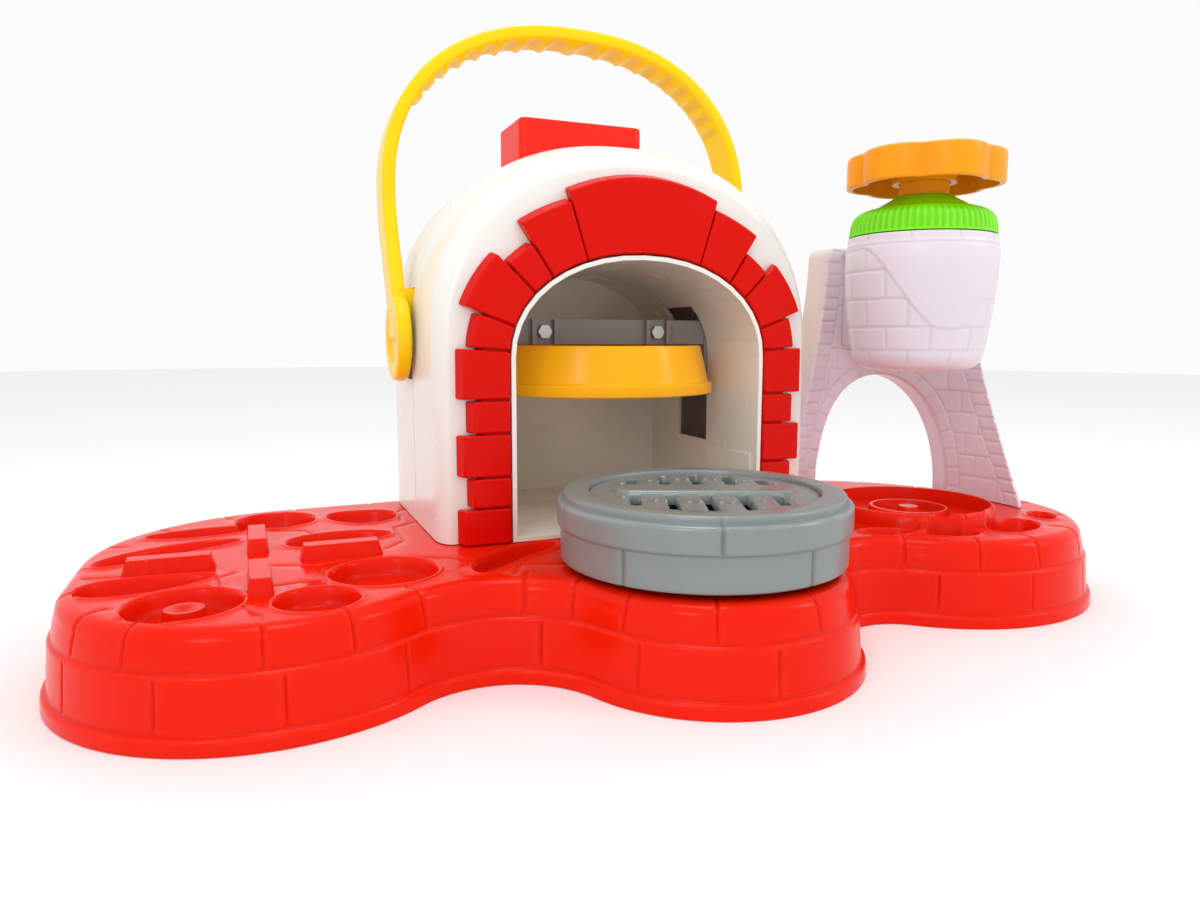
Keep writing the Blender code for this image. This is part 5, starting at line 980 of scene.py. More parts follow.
            # Dust and painted shade inside each cup, wear and a painted highlight just outside its lip.
            groove[near] += 0.5 * groove_at(depth - 1.6 * MM, 0.7 * MM) + 0.25 * smooth(depth, 0.0, 1.5 * MM)
            edge[near] += 0.5 * groove_at(depth + 0.5 * MM, 0.4 * MM)
        height = np.where(cup < -0.2 * MM, cup, lip + cup)
        x, y, radius = self.hub
        r = np.hypot(places[:, 0] - x, places[:, 1] - y)
        post = (self.mould_depth - 0.8 * MM) * (1 - smooth(r, radius - 0.5 * MM, radius + 0.4 * MM))
        height += post - 1.0 * MM * (1 - smooth(r, 0.4 * MM, 3.2 * MM))
        x, y, first, last, half, rise, draft = self.bars
        for cos, sin in ((1, 0), (0, 1), (-1, 0), (0, -1)):
            u = (places[:, 0] - x) * cos + (places[:, 1] - y) * sin
            v = np.abs((places[:, 1] - y) * cos - (places[:, 0] - x) * sin)
            share = np.minimum(np.minimum(u - first, last - u) / draft, (half - v) / (draft / 2))
            height += rise * np.clip(share, 0.0, 1.0)
            # Dust and painted shade at each bar's foot, wear and a painted highlight along its top edge.
            groove += 0.35 * groove_at(share, 0.25) * (share < 0.3)
            edge += 0.45 * groove_at(share - 1.05, 0.22)
        r = np.hypot(places[:, 0] - self.pedestal[0], places[:, 1] - self.pedestal[1])
        for inner, outer, rise in ((28.6, 31.0, 5.2), (12.6, 15.0, 2.8), (-1.0, 4.2, 2.8)):
            band = np.minimum(smooth(r, inner * MM, (inner + 0.6) * MM), 1 - smooth(r, (outer - 0.7) * MM, outer * MM))
            height += rise * MM * band
            # Wear and painted highlights on each ring's top edges, dust and painted shade at its feet.
            edge += 0.4 * groove_at(r - (outer - 0.8) * MM, 0.35 * MM)
            edge += 0.3 * groove_at(r - (inner + 0.8) * MM, 0.35 * MM)
            groove += 0.4 * groove_at(r - (outer + 0.3) * MM, 0.5 * MM)
            groove += 0.3 * groove_at(r - (inner - 0.3) * MM, 0.5 * MM)
        x, y, radius, rise = self.rest
        height += rise * (1 - smooth(np.hypot(places[:, 0] - x, places[:, 1] - y), radius - 0.6 * MM, radius))
        crack, _ = segment_distance(places, *self.top_marks())
        bare = (np.abs(height) < 0.25 * MM).astype(float)
        # Cracks get dust and painted shade, their sides wear and a painted highlight.
        cut = groove_at(crack, 0.42 * MM) * bare
        edge += 0.3 * groove_at(crack - 0.9 * MM, 0.3 * MM) * bare
        return height - 0.40 * MM * cut, 0.7 * groove + 0.4 * cut, edge

    def top_places(self) -> Points:
        """Places for the top's triangles: rings along every rim, then a lattice."""
        rings = [outline(grow * MM) for outline in self.moulds() for grow in
                 (1.7, 1.2, 0.8, 0.45, 0.1, -0.25, -0.55, -0.85, -1.2, -1.6, -2.3)]
        x, y, first, last, half, _, draft = self.bars
        for share in (-0.4, 0.0, 1.0, 1.3, 1.9):
            a, b, w = first + draft * share, last - draft * share, half - draft / 2 * share
            u = np.concatenate([np.linspace(a, b, 30), np.full(7, b), np.linspace(b, a, 30), np.full(7, a)])
            end = np.linspace(-w, w, 9)[1:-1]
            v = np.concatenate([np.full(30, -w), end, np.full(30, w), -end])
            for c, s in ((1, 0), (0, 1), (-1, 0), (0, -1)):
                rings.append(np.stack([x + u * c - v * s, y + u * s + v * c], axis=1))
        rings += [circle(*self.pedestal, r * MM, 160 if r > 20 else 90) for r in
                  (31.4, 31.0, 30.7, 30.4, 30.1, 29.2, 28.9, 28.6, 28.2, 15.4, 15.0, 14.6, 14.2, 13.2, 12.9, 12.6, 12.2,
                   4.6, 4.2, 3.9, 3.5, 2.5)]
        rings += [circle(*self.rest[:2], self.rest[2] - drop * MM, 150) for drop in (-0.4, 0.0, 0.2, 0.4, 0.6, 1.0)]
        rings += [circle(*self.hub[:2], r * MM, 40) for r in (5.7, 5.4, 5.1, 4.8, 3.2, 2.3, 1.4, 0.5)]
        for start, end in zip(*self.top_marks()):
            along = end - start
            length = float(np.hypot(*along))
            side = np.array((-along[1], along[0])) / length
            share = np.linspace(0.0, 1.0, max(3, int(length / (1.3 * MM))))[:, None]
            rings += [start + along * share + side * off * MM for off in (-0.9, -0.42, 0.0, 0.42, 0.9)]
        return np.vstack(rings)

    def build(self, shop: ShaderShop) -> None:
        """The base: one grid from the inside of the wall, under its foot and up its outside, then the two plates."""
        total = float(self.segments()[0].sum())
        marks = np.concatenate([self.lower_marks, self.upper_marks]) * MM
        offsets = np.array((-1.2, -0.75, -0.38, 0.0, 0.38, 0.75, 1.2)) * MM
        stations = marked_steps(0.0, total - 1.9 * MM, 1.9 * MM, marks, offsets)
        place, out = self.place(stations)
        turn = np.linspace(0.0, math.pi / 2, 9)[1:]
        shoulder, foot = np.array(self.wall_mm[-1]) * MM
        crown = np.stack([shoulder + self.top_round * (1 - np.cos(turn)), foot + self.top_round * np.sin(turn)], axis=1)
        inside = np.array(self.inside_mm) * MM
        rows = np.vstack([inside, np.array(self.wall_mm) * MM, crown])
        inset, level = rows[:, 0], rows[:, 1]
        slope = np.gradient(rows, axis=0)
        normal = np.stack([slope[:, 1], slope[:, 0]], axis=1) / np.maximum(np.hypot(*slope.T), 1e-9)[:, None]
        normal[-1] = (0.0, 1.0)
        outside = (np.arange(len(rows)) >= len(inside) + 2).astype(float)
        lower = outside * smooth(level, 4.5 * MM, 5.6 * MM) * (1 - smooth(level, 16.9 * MM, 17.6 * MM))
        upper = outside * smooth(level, 18.5 * MM, 19.6 * MM)
        to_lower = nearest_mark(stations, np.array(self.lower_marks) * MM, total)
        to_upper = nearest_mark(stations, np.array(self.upper_marks) * MM, total)
        cut = np.maximum(
            lower[:, None] * groove_at(to_lower, 0.42 * MM)[None, :],
            upper[:, None] * groove_at(to_upper, 0.46 * MM)[None, :],
        )
        beside = np.maximum(
            lower[:, None] * groove_at(to_lower - MM, 0.35 * MM), upper[:, None] * groove_at(to_upper - MM, 0.35 * MM)
        )
        reach = inset[:, None] + normal[:, :1] * cut * self.groove_depth
        plan = place[None] - out[None] * reach[..., None]
        rise = level[:, None] - normal[:, 1:] * cut * self.groove_depth - self.height
        # Dust and painted shade in the crease under each ledge (line); wear and a painted highlight on each ledge's
        # edge (crest).
        line = groove_at(level - 4.6 * MM, 0.5 * MM) * outside + groove_at(level - 18.6 * MM, 0.5 * MM) * outside
        crest = groove_at(level - 3.6 * MM, 0.5 * MM) * outside + 1.2 * groove_at(level - 17.7 * MM, 0.4 * MM) * outside
        skin = Skin("base")
        points = np.concatenate([plan, rise[..., None]], axis=2)
        # The joints get dust and painted shade, the strips beside them wear and a painted highlight.
        skin.grid(points, 0.4 * cut + 0.35 * line[:, None], 0.4 * beside + 0.5 * crest[:, None])
        ring = points[-1]
        taken = self.top_places()
        near = depth_inside(ring[::3, :2], taken) > 0.45 * MM
        taken = np.vstack([taken[near], ring[:, :2]])
        extra = np.vstack([taken[: -len(ring)], scatter((-0.19, -0.1), (0.19, 0.11), 2.5 * MM, taken)])
        corners, triangles = triangulate([ring[:, :2]], extra)
        height, groove, edge = self.relief(corners)
        height[: len(ring)] = ring[:, 2]
        skin.add(np.column_stack([corners, height]), triangles, groove, edge)
        ring = points[0]
        taken = np.vstack([outline(grow * MM)[::3] for outline in self.moulds() for grow in (2.6, 1.8, 1.0, 0.2)])
        extra = np.vstack([taken, scatter((-0.19, -0.1), (0.19, 0.11), 6 * MM, np.vstack([taken, ring[:, :2]]))])
        corners, triangles = triangulate([ring[:, :2]], extra)
        under = np.zeros(len(corners))
        for outline in self.moulds():
            loop = outline(2 * MM)
            near = ((corners > loop.min(axis=0) - 3 * MM) & (corners < loop.max(axis=0) + 3 * MM)).all(axis=1)
            share = smooth(depth_inside(loop, corners[near]), 0.0, MM)
            under[near] = np.minimum(under[near], -self.mould_depth * share)
        skin.add(np.column_stack([corners, under - 2 * MM]), triangles[:, ::-1])
        skin.finish(shop, BASE_RED, "base", Slot.BASE, ["base_shell"], sharp=65.0)


# ---------------------------------------------------------------- oven


@dataclass(frozen=True)
class Oven:
    """The oven: the dome's two halves, the red brick arch round its mouth and the chimney."""

    depth: float = 0.0905
    trim: float = 0.0045
    wall: float = 0.0018
    half_width: float = 0.0700
    spring: float = 0.0620
    top: float = 0.1335
    face_inset: float = 0.0045
    face_top: float = 0.1220
    side_round: float = 0.0090
    top_round: float = 0.0260
    back_round: float = 0.0080
    back_inset: float = 0.0050
    parting: float = 0.0463
    bulges: tuple = (2.25, 2.40)
    mouth: tuple = (0.0472, 0.0600, 0.0943, 2.1)
    slot_y: tuple = (0.0476, 0.0564)
    slot_z: tuple = (0.0516, 0.0844)
    pillar: tuple = (0.0, 0.202, 0.368, 0.603, 0.782)
    voussoirs: tuple = (3.5, 16.0, 36.0, 47.5, 65.5)
    bricks: tuple = (0.0155, 0.0123, 0.0172, 0.0195)
    joint: float = 0.0007
    joint_depth: float = 0.0012
    draft: tuple = (0.0018, 0.0003)
    keystone: tuple = (0.1190, 0.1130, 0.0270)
    chimney_size: tuple = (0.0506, 0.0582, 0.0296, 0.1494, 0.0030)
    chimney_rim: tuple = (0.0008, 0.0042, 0.0026)

    def columns(self) -> tuple[Points, Points]:
        """Stations of a vault from its right foot to its left: share of the way up to the spring, and degrees."""
        slot_share = self.slot_z[0] / self.spring
        shares = marked_steps(0.0, 1.0, 0.11, [slot_share])
        rise = (self.slot_z[1] - self.spring) / (self.top - self.spring)
        slot_degrees = math.degrees(math.asin(rise ** (self.bulges[1] / 2)))
        arc = marked_steps(0.0, 90.0, 2.0, [slot_degrees])
        arc = np.unique(np.concatenate([[0.0, 0.02, 0.1, 0.35, 0.9], arc, [89.3, 89.8]]))
        degrees = np.concatenate([arc, 180.0 - arc[::-1][1:]])
        up = np.concatenate([shares[:-1], np.ones(len(degrees)), shares[:-1][::-1]])
        turn = np.concatenate([np.zeros(len(shares) - 1), degrees, np.full(len(shares) - 1, 180.0)])
        return up, turn

    def vault(self, half_width, spring, top, bulge, foot: float = GAP) -> tuple[Points, Points]:
        """x and height of vaults: straight walls, then x = a * cos ** (2 / n), z = spring + rise * sin ** (2 / n)."""
        up, turn = self.columns()
        half_width, top, bulge = (np.asarray(value, float)[..., None] for value in (half_width, top, bulge))
        x, rise = superellipse(half_width, top - spring, bulge, turn)
        return x, np.where(up < 1.0, foot + (spring - foot) * up, spring + rise)

    def section(self, y: Points, grow) -> Points:
        """The dome's rows of points at depths y, grown by grow: rounded towards its face and its back."""
        start = self.trim + GAP

        def fall(share):
            """1 - sqrt(1 - (1 - t) ** 2): a quarter round from the face."""
            return 1 - np.sqrt(1 - (1 - np.clip(share, 0.0, 1.0)) ** 2)

        top_share = np.clip((y - start) / self.top_round, 0.0, 1.0)
        tuck = self.back_inset * fall((self.depth - y) / self.back_round)
        half = self.half_width - self.face_inset * fall((y - start) / self.side_round) - tuck + grow
        top = self.top - (self.top - self.face_top) * fall(top_share) - tuck + grow
        x, z = self.vault(half, self.spring, top, self.bulges[0] + (self.bulges[1] - self.bulges[0]) * top_share)
        return np.stack([x, np.broadcast_to(y[:, None], x.shape), z], axis=-1)

    def dome_height(self, x: Points, y: Points) -> Points:
        """The dome's outer height over a plan place: spring + rise * (1 - |x / a| ** n) ** (1 / n)."""
        tuck = self.back_inset * (1 - np.sqrt(1 - (1 - np.clip((self.depth - y) / self.back_round, 0, 1)) ** 2))
        bulge = self.bulges[1]
        share = np.clip(np.abs(x) / (self.half_width - tuck), 0.0, 1.0)
        return self.spring + (self.top - tuck - self.spring) * (1 - share**bulge) ** (1 / bulge)

    def build_shells(self, shop: ShaderShop) -> None:
        """Both halves of the dome as thick sheets; the line where they meet is softened."""
        start = self.trim + GAP
        turn = np.linspace(0.0, 90.0, 22)
        fronts = start + self.top_round * (1 - np.cos(np.radians(turn)))
        even = np.linspace(fronts[-1] + 1.5 * MM, self.parting - 1.2 * MM, 7)
        y = np.concatenate([fronts, even, self.parting - np.array((0.7, 0.35, 0.05)) * MM])
        soft = np.concatenate([np.zeros(len(y) - 3), [-0.02 * MM, -0.12 * MM, -0.35 * MM]])
        mouth_x, mouth_z = self.vault(*self.mouth)
        face = np.stack([mouth_x, np.full_like(mouth_x, start), mouth_z], axis=-1)[None]
        outer = np.concatenate([face, self.section(y, soft)])
        inner_y = np.maximum(y, start + self.wall)
        inner = np.concatenate([face + (0.0, self.wall, 0.0), self.section(inner_y, -self.wall)])
        inner[1:, :, 1] = inner_y[:, None]
        skin = Skin("oven_dome_front")
        # Dust and painted shade along the parting line, on the front half's last rows.
        line = np.zeros(len(outer))
        line[-2:] = (0.4, 0.9)
        skin.sheet(outer, inner, np.ones((len(outer) - 1, outer.shape[1] - 1), bool), False, line[:, None])
        skin.finish(shop, SHELL_WHITE, "base", Slot.SHELL, ["oven_front_shell"], sharp=50.0)
        turn = np.linspace(90.0, 0.0, 14)
        backs = self.depth - self.back_round * (1 - np.cos(np.radians(turn)))
        starts = self.parting + np.array((0.05, 0.35, 0.7)) * MM
        beside_slot = [self.slot_y[0], 0.052, self.slot_y[1]]
        y = np.concatenate([starts, beside_slot, np.linspace(0.0595, backs[0] - 2 * MM, 8), backs])
        soft = np.concatenate([[-0.35 * MM, -0.12 * MM, -0.02 * MM], np.zeros(len(y) - 3)])
        shrink = np.linspace(1.0, 0.0, 9)[1:, None]
        outer, inner = self.section(y, soft), self.section(np.minimum(y, self.depth - self.wall), -self.wall)
        inner[:, :, 1] = np.minimum(y, self.depth - self.wall)[:, None]
        grids = []
        for grid in (outer, inner):
            last = np.repeat(grid[-1:], len(shrink), axis=0)
            last[:, :, 0] *= shrink
            grids.append(np.concatenate([grid, last]))
        keep = np.ones((len(grids[0]) - 1, outer.shape[1] - 1), bool)
        rows = (y[:-1] > self.slot_y[0] - 1e-6) & (y[1:] < self.slot_y[1] + 1e-6)
        height = outer[4, :, 2]
        columns = (np.minimum(height[:-1], height[1:]) > self.slot_z[0] - 5e-5)
        columns &= np.maximum(height[:-1], height[1:]) < self.slot_z[1] + 5e-5
        keep[: len(rows)] &= ~(rows[:, None] & columns[None, :])
        # Dust and painted shade along the parting line, on the rear half's first rows.
        line = np.zeros(len(grids[0]))
        line[:2] = (0.9, 0.4)
        skin = Skin("oven_dome_rear")
        skin.sheet(*grids, keep, True, line[:, None])
        skin.finish(shop, SHELL_WHITE, "base", Slot.SHELL, ["oven_rear_shell"], sharp=50.0)

    def mouth_point(self, kind: str, value: float) -> tuple[Points, Points]:
        """The mouth's edge at a pillar's height or an arch's degrees, and the direction outwards from it."""
        half, spring, top, bulge = self.mouth
        if kind == "pillar":
            return np.array((half, value)), np.array((1.0, 0.0))
        x, rise = (float(part) for part in superellipse(half, top - spring, bulge, value))
        tall = top - spring
        across = math.copysign((abs(x) / half) ** (bulge - 1) / half, x)
        normal = np.array((across, (rise / tall) ** (bulge - 1) / tall))
        return np.array((x, spring + rise)), normal / np.hypot(*normal)

    def brick_ring(self, point: Points, out: Points, thickness: float, front: float = 0.0) -> Points:
        """Four corners of the trim's section as x, y, height; its back is wider than its front by the draft."""
        back = self.trim
        corners = ((0.0, back), (thickness + self.draft[0], back), (thickness, front), (self.draft[1], front))
        return np.array([(point[0] + out[0] * reach, y, point[1] + out[1] * reach) for reach, y in corners])

    def build_arch(self, shop: ShaderShop) -> None:
        """The brick trim: pillars and voussoirs on both sides, a tall bare keystone, a strip behind their joints."""
        spring = self.mouth[1]
        wide, narrow, middle, voussoir = self.bricks
        heights = [share * spring for share in self.pillar]
        pillar = enumerate(zip(heights, heights[1:]))
        stations = [("pillar", low, high, narrow if k % 2 else wide) for k, (low, high) in pillar]
        stations.append(("step", heights[-1], self.voussoirs[0], wide))
        sizes = (narrow, middle, narrow, voussoir)
        spans = zip(self.voussoirs, self.voussoirs[1:])
        stations += [("arch", low, high, size) for (low, high), size in zip(spans, sizes)]
        skin = Skin("brick_arch_trim")
        mirror = np.array((-1.0, 1.0, 1.0))
        for kind, low, high, thickness in stations:
            count = 7 if kind == "arch" else 2
            if kind == "step":
                run = [self.mouth_point("pillar", low), self.mouth_point("arch", high)]
            else:
                run = [self.mouth_point(kind, value) for value in np.linspace(low, high, count)]
            along = (run[-1][0] - run[0][0]) / np.hypot(*(run[-1][0] - run[0][0])) * self.joint / 2
            run[0] = (run[0][0] + along, run[0][1])
            run[-1] = (run[-1][0] - along, run[-1][1])
            rings = np.array([self.brick_ring(point, out, thickness) for point, out in run])
            skin.sweep(rings)
            skin.sweep(rings * mirror)
        top, corner, key_half = self.keystone
        rings = []
        for share in np.linspace(-1.0, 1.0, 13):
            foot, _ = self.mouth_point("arch", 90 + (90 - self.voussoirs[-1]) * share)
            ray = np.array((-share * key_half, top - (top - corner) * share**2)) - foot
            rings.append(self.brick_ring(foot, ray / np.hypot(*ray), float(np.hypot(*ray))))
        skin.sweep(np.array(rings))
        points = [self.mouth_point("pillar", 0.0), self.mouth_point("pillar", spring)]
        points += [self.mouth_point("arch", degrees) for degrees in range(4, 88, 3)]
        thickness = narrow - 1.4 * MM - self.draft[0]
        strip = np.array([self.brick_ring(point, out, thickness, self.joint_depth) for point, out in points])
        # The strip seen through the joints gets dust and painted shade.
        skin.sweep(np.concatenate([strip, (strip * mirror)[::-1]]), groove=0.8)
        skin.finish(shop, TRIM_RED, "base", Slot.TRIM, ["brick_arch"], sharp=30.0, bevel=0.55 * MM)

    def build_chimney(self, shop: ShaderShop) -> None:
        """The chimney: rings of a rounded rectangle, its foot following the dome and its top sunk inside a rim."""
        width, start, depth, top, corner = self.chimney_size
        flare, rim, sink = self.chimney_rim
        middle = start + depth / 2

        def ring(grow: float, round_corner: float, scale: float = 1.0) -> Points:
            """A rounded rectangle in plan, grown by grow."""
            quarter = np.linspace(0.0, math.pi / 2, 9)
            parts = []
            for k, (sx, sy) in enumerate(((1, 1), (-1, 1), (-1, -1), (1, -1))):
                angle = quarter + k * math.pi / 2
                x = sx * (width / 2 + grow - round_corner) + round_corner * np.cos(angle)
                y = sy * (depth / 2 + grow - round_corner) + round_corner * np.sin(angle)
                parts.append(np.stack([x, y], axis=1))
                swap = np.array(((-1.0, 1.0), (1.0, -1.0))[k % 2])
                share = np.linspace(0.0, 1.0, 9)[1:-1, None]
                parts.append(parts[-1][-1] * (1 - share + share * swap))
            return np.vstack(parts) * scale

        rows = []
        for scale in (0.03, 0.35, 0.65, 0.85, 1.0):
            plan = ring(flare, corner, scale)
            rows.append(np.column_stack([plan, self.dome_height(plan[:, 0], plan[:, 1] + middle) + 2 * GAP]))
        plan = ring(0.0, corner)
        low = self.dome_height(plan[:, 0], plan[:, 1] + middle)
        for grow, rise in ((flare, 0.5), (0.6 * flare, 0.9), (0.25 * flare, 1.4), (0.05 * flare, 2.0), (0.0, 2.8)):
            rows.append(np.column_stack([ring(grow, corner), low + rise * MM]))
        for grow, height in ((0.0, top - 1.2 * MM), (-0.08, top - 0.7 * MM), (-0.3, top - 0.3 * MM), (-0.65, top - 0.07 * MM),
                             (-1.1, top), (-(rim / MM - 0.7), top), (-(rim / MM - 0.2), top - 0.12 * MM),
                             (-rim / MM, top - 0.5 * MM), (-(rim / MM + 0.15), top - sink + 0.4 * MM),
                             (-(rim / MM + 0.6), top - sink)):
            grow = grow * (MM if grow else 1.0)
            rows.append(np.column_stack([ring(grow, max(corner + grow, 0.6 * MM)), np.full(len(plan), height)]))
        last = ring(-(rim + 0.6 * MM), 0.6 * MM, 0.03)
        rows.append(np.column_stack([last, np.full(len(last), top - sink)]))
        rings = np.array(rows) + (0.0, middle, 0.0)
        edge, groove = np.zeros(len(rings)), np.zeros(len(rings))
        # Wear and a painted highlight on the top's rounded edge; dust and painted shade at the foot on the dome and in
        # the sunk top.
        edge[12:15], groove[[4, 5, 19, 20]] = 0.5, 0.6
        skin = Skin("chimney_stack")
        skin.sweep(rings, groove=groove[:, None], edge=edge[:, None])
        skin.finish(shop, CHIMNEY_RED, "base", Slot.CHIMNEY, ["chimney"], sharp=55.0)

    def build(self, shop: ShaderShop) -> None:
        """All of the oven's fixed pieces; its liner keeps the CAD's own form."""
        self.build_shells(shop)
        self.build_arch(shop)
        self.build_chimney(shop)


# ---------------------------------------------------------------- handle


@dataclass(frozen=True)
class Handle:
    """The yellow bail: a ribbed band over the dome, with a dished round foot and a tongue on each side."""

    inner: float = 0.0713
    foot: tuple = (0.0520, 0.0665, 0.0155, 0.0050)
    dish: tuple = (0.0092, 0.0016)
    band: tuple = (0.0715, 0.0165, 0.0048, 0.1200, 0.1855, 2.3)
    edge: float = 0.0014
    ribs: tuple = (17, 7.2, 0.0017)
    tongue: tuple = (0.0080, 0.0100, 0.0740, 0.0100)

    def build(self, shop: ShaderShop) -> None:
        """Sweeps a rounded band along its path; its inner side is pushed in by a wave where the fingers hold it."""
        y_band, width, thick, spring, top, bulge = self.band
        y_foot, z_foot, radius, foot_thick = self.foot
        side = self.inner + thick / 2
        leg = np.linspace(z_foot, spring, 18)[:-1]
        degrees = np.unique(np.concatenate([[0.0, 0.03, 0.15, 0.5, 1.2], np.arange(2.0, 178.5, 0.75),
                                            [178.8, 179.5, 179.85, 179.97, 180.0]]))
        x, rise = superellipse(side, top - thick / 2 - spring, bulge, degrees)
        x = np.concatenate([np.full(len(leg), side), x, np.full(len(leg), -side)])
        z = np.concatenate([leg, spring + rise, leg[::-1]])
        turn = np.concatenate([np.full(len(leg), -90.0), degrees, np.full(len(leg), 270.0)])
        step = np.stack([np.gradient(x), np.gradient(z)], axis=1)
        step /= np.hypot(*step.T)[:, None]
        out = np.stack([step[:, 1], -step[:, 0]], axis=1)
        share = smooth(z, z_foot, spring)
        y = y_foot + (y_band - y_foot) * share
        corner = np.linspace(0.0, math.pi / 2, 5)
        half_t, half_w, edge = thick / 2, width / 2, self.edge
        ring = []
        for k, (st, sw) in enumerate(((1, -1), (1, 1), (-1, 1), (-1, -1))):
            angle = corner + (k - 1) * math.pi / 2
            across, along = st * (half_t - edge) + edge * np.cos(angle), sw * (half_w - edge) + edge * np.sin(angle)
            ring.append(np.stack([across, along], axis=1))
        ring.append(np.stack([np.full(5, -half_t), np.linspace(half_w, -half_w, 7)[1:-1] * 0.86], axis=1))
        ring = np.vstack([ring[0], ring[1], ring[2], ring[4], ring[3]])
        count, pitch, height = self.ribs
        phase = (turn - 90.0) / pitch
        wave = (0.5 + 0.5 * np.cos(math.tau * phase)) ** 1.6 * (np.abs(phase) < count / 2)
        inside = smooth(-ring[:, 0], half_t * 0.6, half_t)
        inside = inside * (1 - smooth(np.abs(ring[:, 1]), half_w - 2.6 * MM, half_w - 0.9 * MM))
        push = -height * wave[:, None] * inside[None, :]
        t = ring[None, :, 0] + push
        rings = np.stack([x[:, None] + out[:, :1] * t, y[:, None] + np.broadcast_to(ring[None, :, 1], t.shape),
                          z[:, None] + out[:, 1:] * t], axis=-1)
        # Dust and painted shade in the hollows between the finger ribs, wear and a painted highlight on the ribs.
        hollow_mark = (1 - wave[:, None]) * inside[None, :] * (np.abs(phase) < count / 2)[:, None] * 0.5
        skin = Skin("bail_handle")
        skin.sweep(rings, groove=hollow_mark, edge=0.3 * wave[:, None] * inside[None, :])
        angle = np.linspace(0.0, math.tau, 97)[:-1]
        dish, sink = self.dish
        profile = np.array(((0.2, 0.0), (radius / MM - 1.4, 0.0), (radius / MM - 0.5, 0.35), (radius / MM, 1.3),
                            (radius / MM, foot_thick / MM - 1.6), (radius / MM - 0.35, foot_thick / MM - 0.6),
                            (radius / MM - 1.0, foot_thick / MM - 0.1), (radius / MM - 1.8, foot_thick / MM),
                            (dish / MM + 1.2, foot_thick / MM), (dish / MM + 0.5, foot_thick / MM - 0.15),
                            (dish / MM - 0.2, foot_thick / MM - 0.6), (dish / MM - 1.4, foot_thick / MM - 1.1),
                            (dish / MM - 3.5, (foot_thick - 0.9 * sink) / MM), (2.2, (foot_thick - sink) / MM),
                            (0.2, (foot_thick - sink) / MM))) * MM
        depth, high, low, reach = self.tongue
        for mirror in (1, -1):
            r, out_x = profile[:, :1], profile[:, 1:]
            disc = np.stack([np.broadcast_to(mirror * (self.inner + out_x), (len(profile), 96)),
                             y_foot + r * np.cos(angle)[None, :], z_foot + r * np.sin(angle)[None, :]], axis=-1)
            # Dust and painted shade round the dish's rim inside the foot.
            mark = np.zeros(len(profile))
            mark[9:12] = 0.3
            skin.sweep(disc, groove=mark[:, None])
            box = [(y_foot + sy * depth / 2, low + sz * high) for sy, sz in ((-1, 0), (1, 0), (1, 1), (-1, 1))]
            ends = (mirror * (self.inner - reach), mirror * (self.inner + foot_thick / 2))
            skin.sweep(np.array([[(end, *corner_place) for corner_place in box] for end in ends]))
        skin.finish(shop, HANDLE_YELLOW, "press", Slot.HANDLE, ["handle"], sharp=45.0)


# ---------------------------------------------------------------- stamper


@dataclass(frozen=True)
class Stamper:
    """The amber cup under the beam: a round flange, a drafted side, an open top and two lugs up into the beam."""

    centre: tuple = (0.0, 0.0430)
    heights: tuple = (0.0464, 0.0046, 0.0640)
    radii: tuple = (0.0438, 0.0423, 0.0392)
    wall: float = 0.0020
    lugs: tuple = (0.0230, 0.0040, 0.0019, 0.0714)

    def build(self, shop: ShaderShop) -> None:
        """Rings of the turned section, a quarter round on each outer edge, then a box for each lug."""
        low, flange, high = (value / MM for value in self.heights)
        wide, side, narrow = (value / MM for value in self.radii)
        wall = self.wall / MM
        turn = np.linspace(0.0, math.pi / 2, 5)
        rows = [(0.2, low), (wide - 6, low)]
        rows += [(wide - 0.6 * (1 - math.sin(a)), low + 0.6 * (1 - math.cos(a))) for a in turn]
        rows += [(wide - 0.5 * (1 - math.cos(a)), low + flange - 0.9 + 0.5 * math.sin(a)) for a in turn]
        rows += [(side + 0.35, low + flange - 0.25), (side, low + flange + 0.1)]
        lean = (narrow - side) / (high - low - flange)
        rows += [(side + lean * step, low + flange + step) for step in np.linspace(0.8, high - low - flange - 0.9, 6)]
        rows += [(narrow + 0.1 - 0.6 * (1 - math.cos(a)), high - 0.6 * (1 - math.sin(a))) for a in turn]
        rows += [(narrow - wall + 0.3, high), (narrow - wall, high - 0.3), (side - wall, low + wall + 0.6),
                 (side - wall - 0.6, low + wall), (0.2, low + wall)]
        r, z = (np.array(column)[:, None] * MM for column in zip(*rows))
        skin = Skin("stamper_cup")
        rings = polar(self.centre, r, np.linspace(0.0, math.tau, 193)[:-1][None, :], z)
        skin.sweep(rings)
        place, half, deep, top = self.lugs
        for x in (-place, place):
            ring = [(x + sx * half, self.centre[1] + sy * deep) for sx, sy in ((-1, -1), (1, -1), (1, 1), (-1, 1))]
            levels = (self.heights[0] + self.wall / 2, top)
            skin.sweep(np.array([[(*corner, level) for corner in ring] for level in levels]))
        skin.finish(shop, STAMPER_AMBER, "press", Slot.STAMPER, ["stamper"], sharp=50.0)


# ---------------------------------------------------------------- extruder


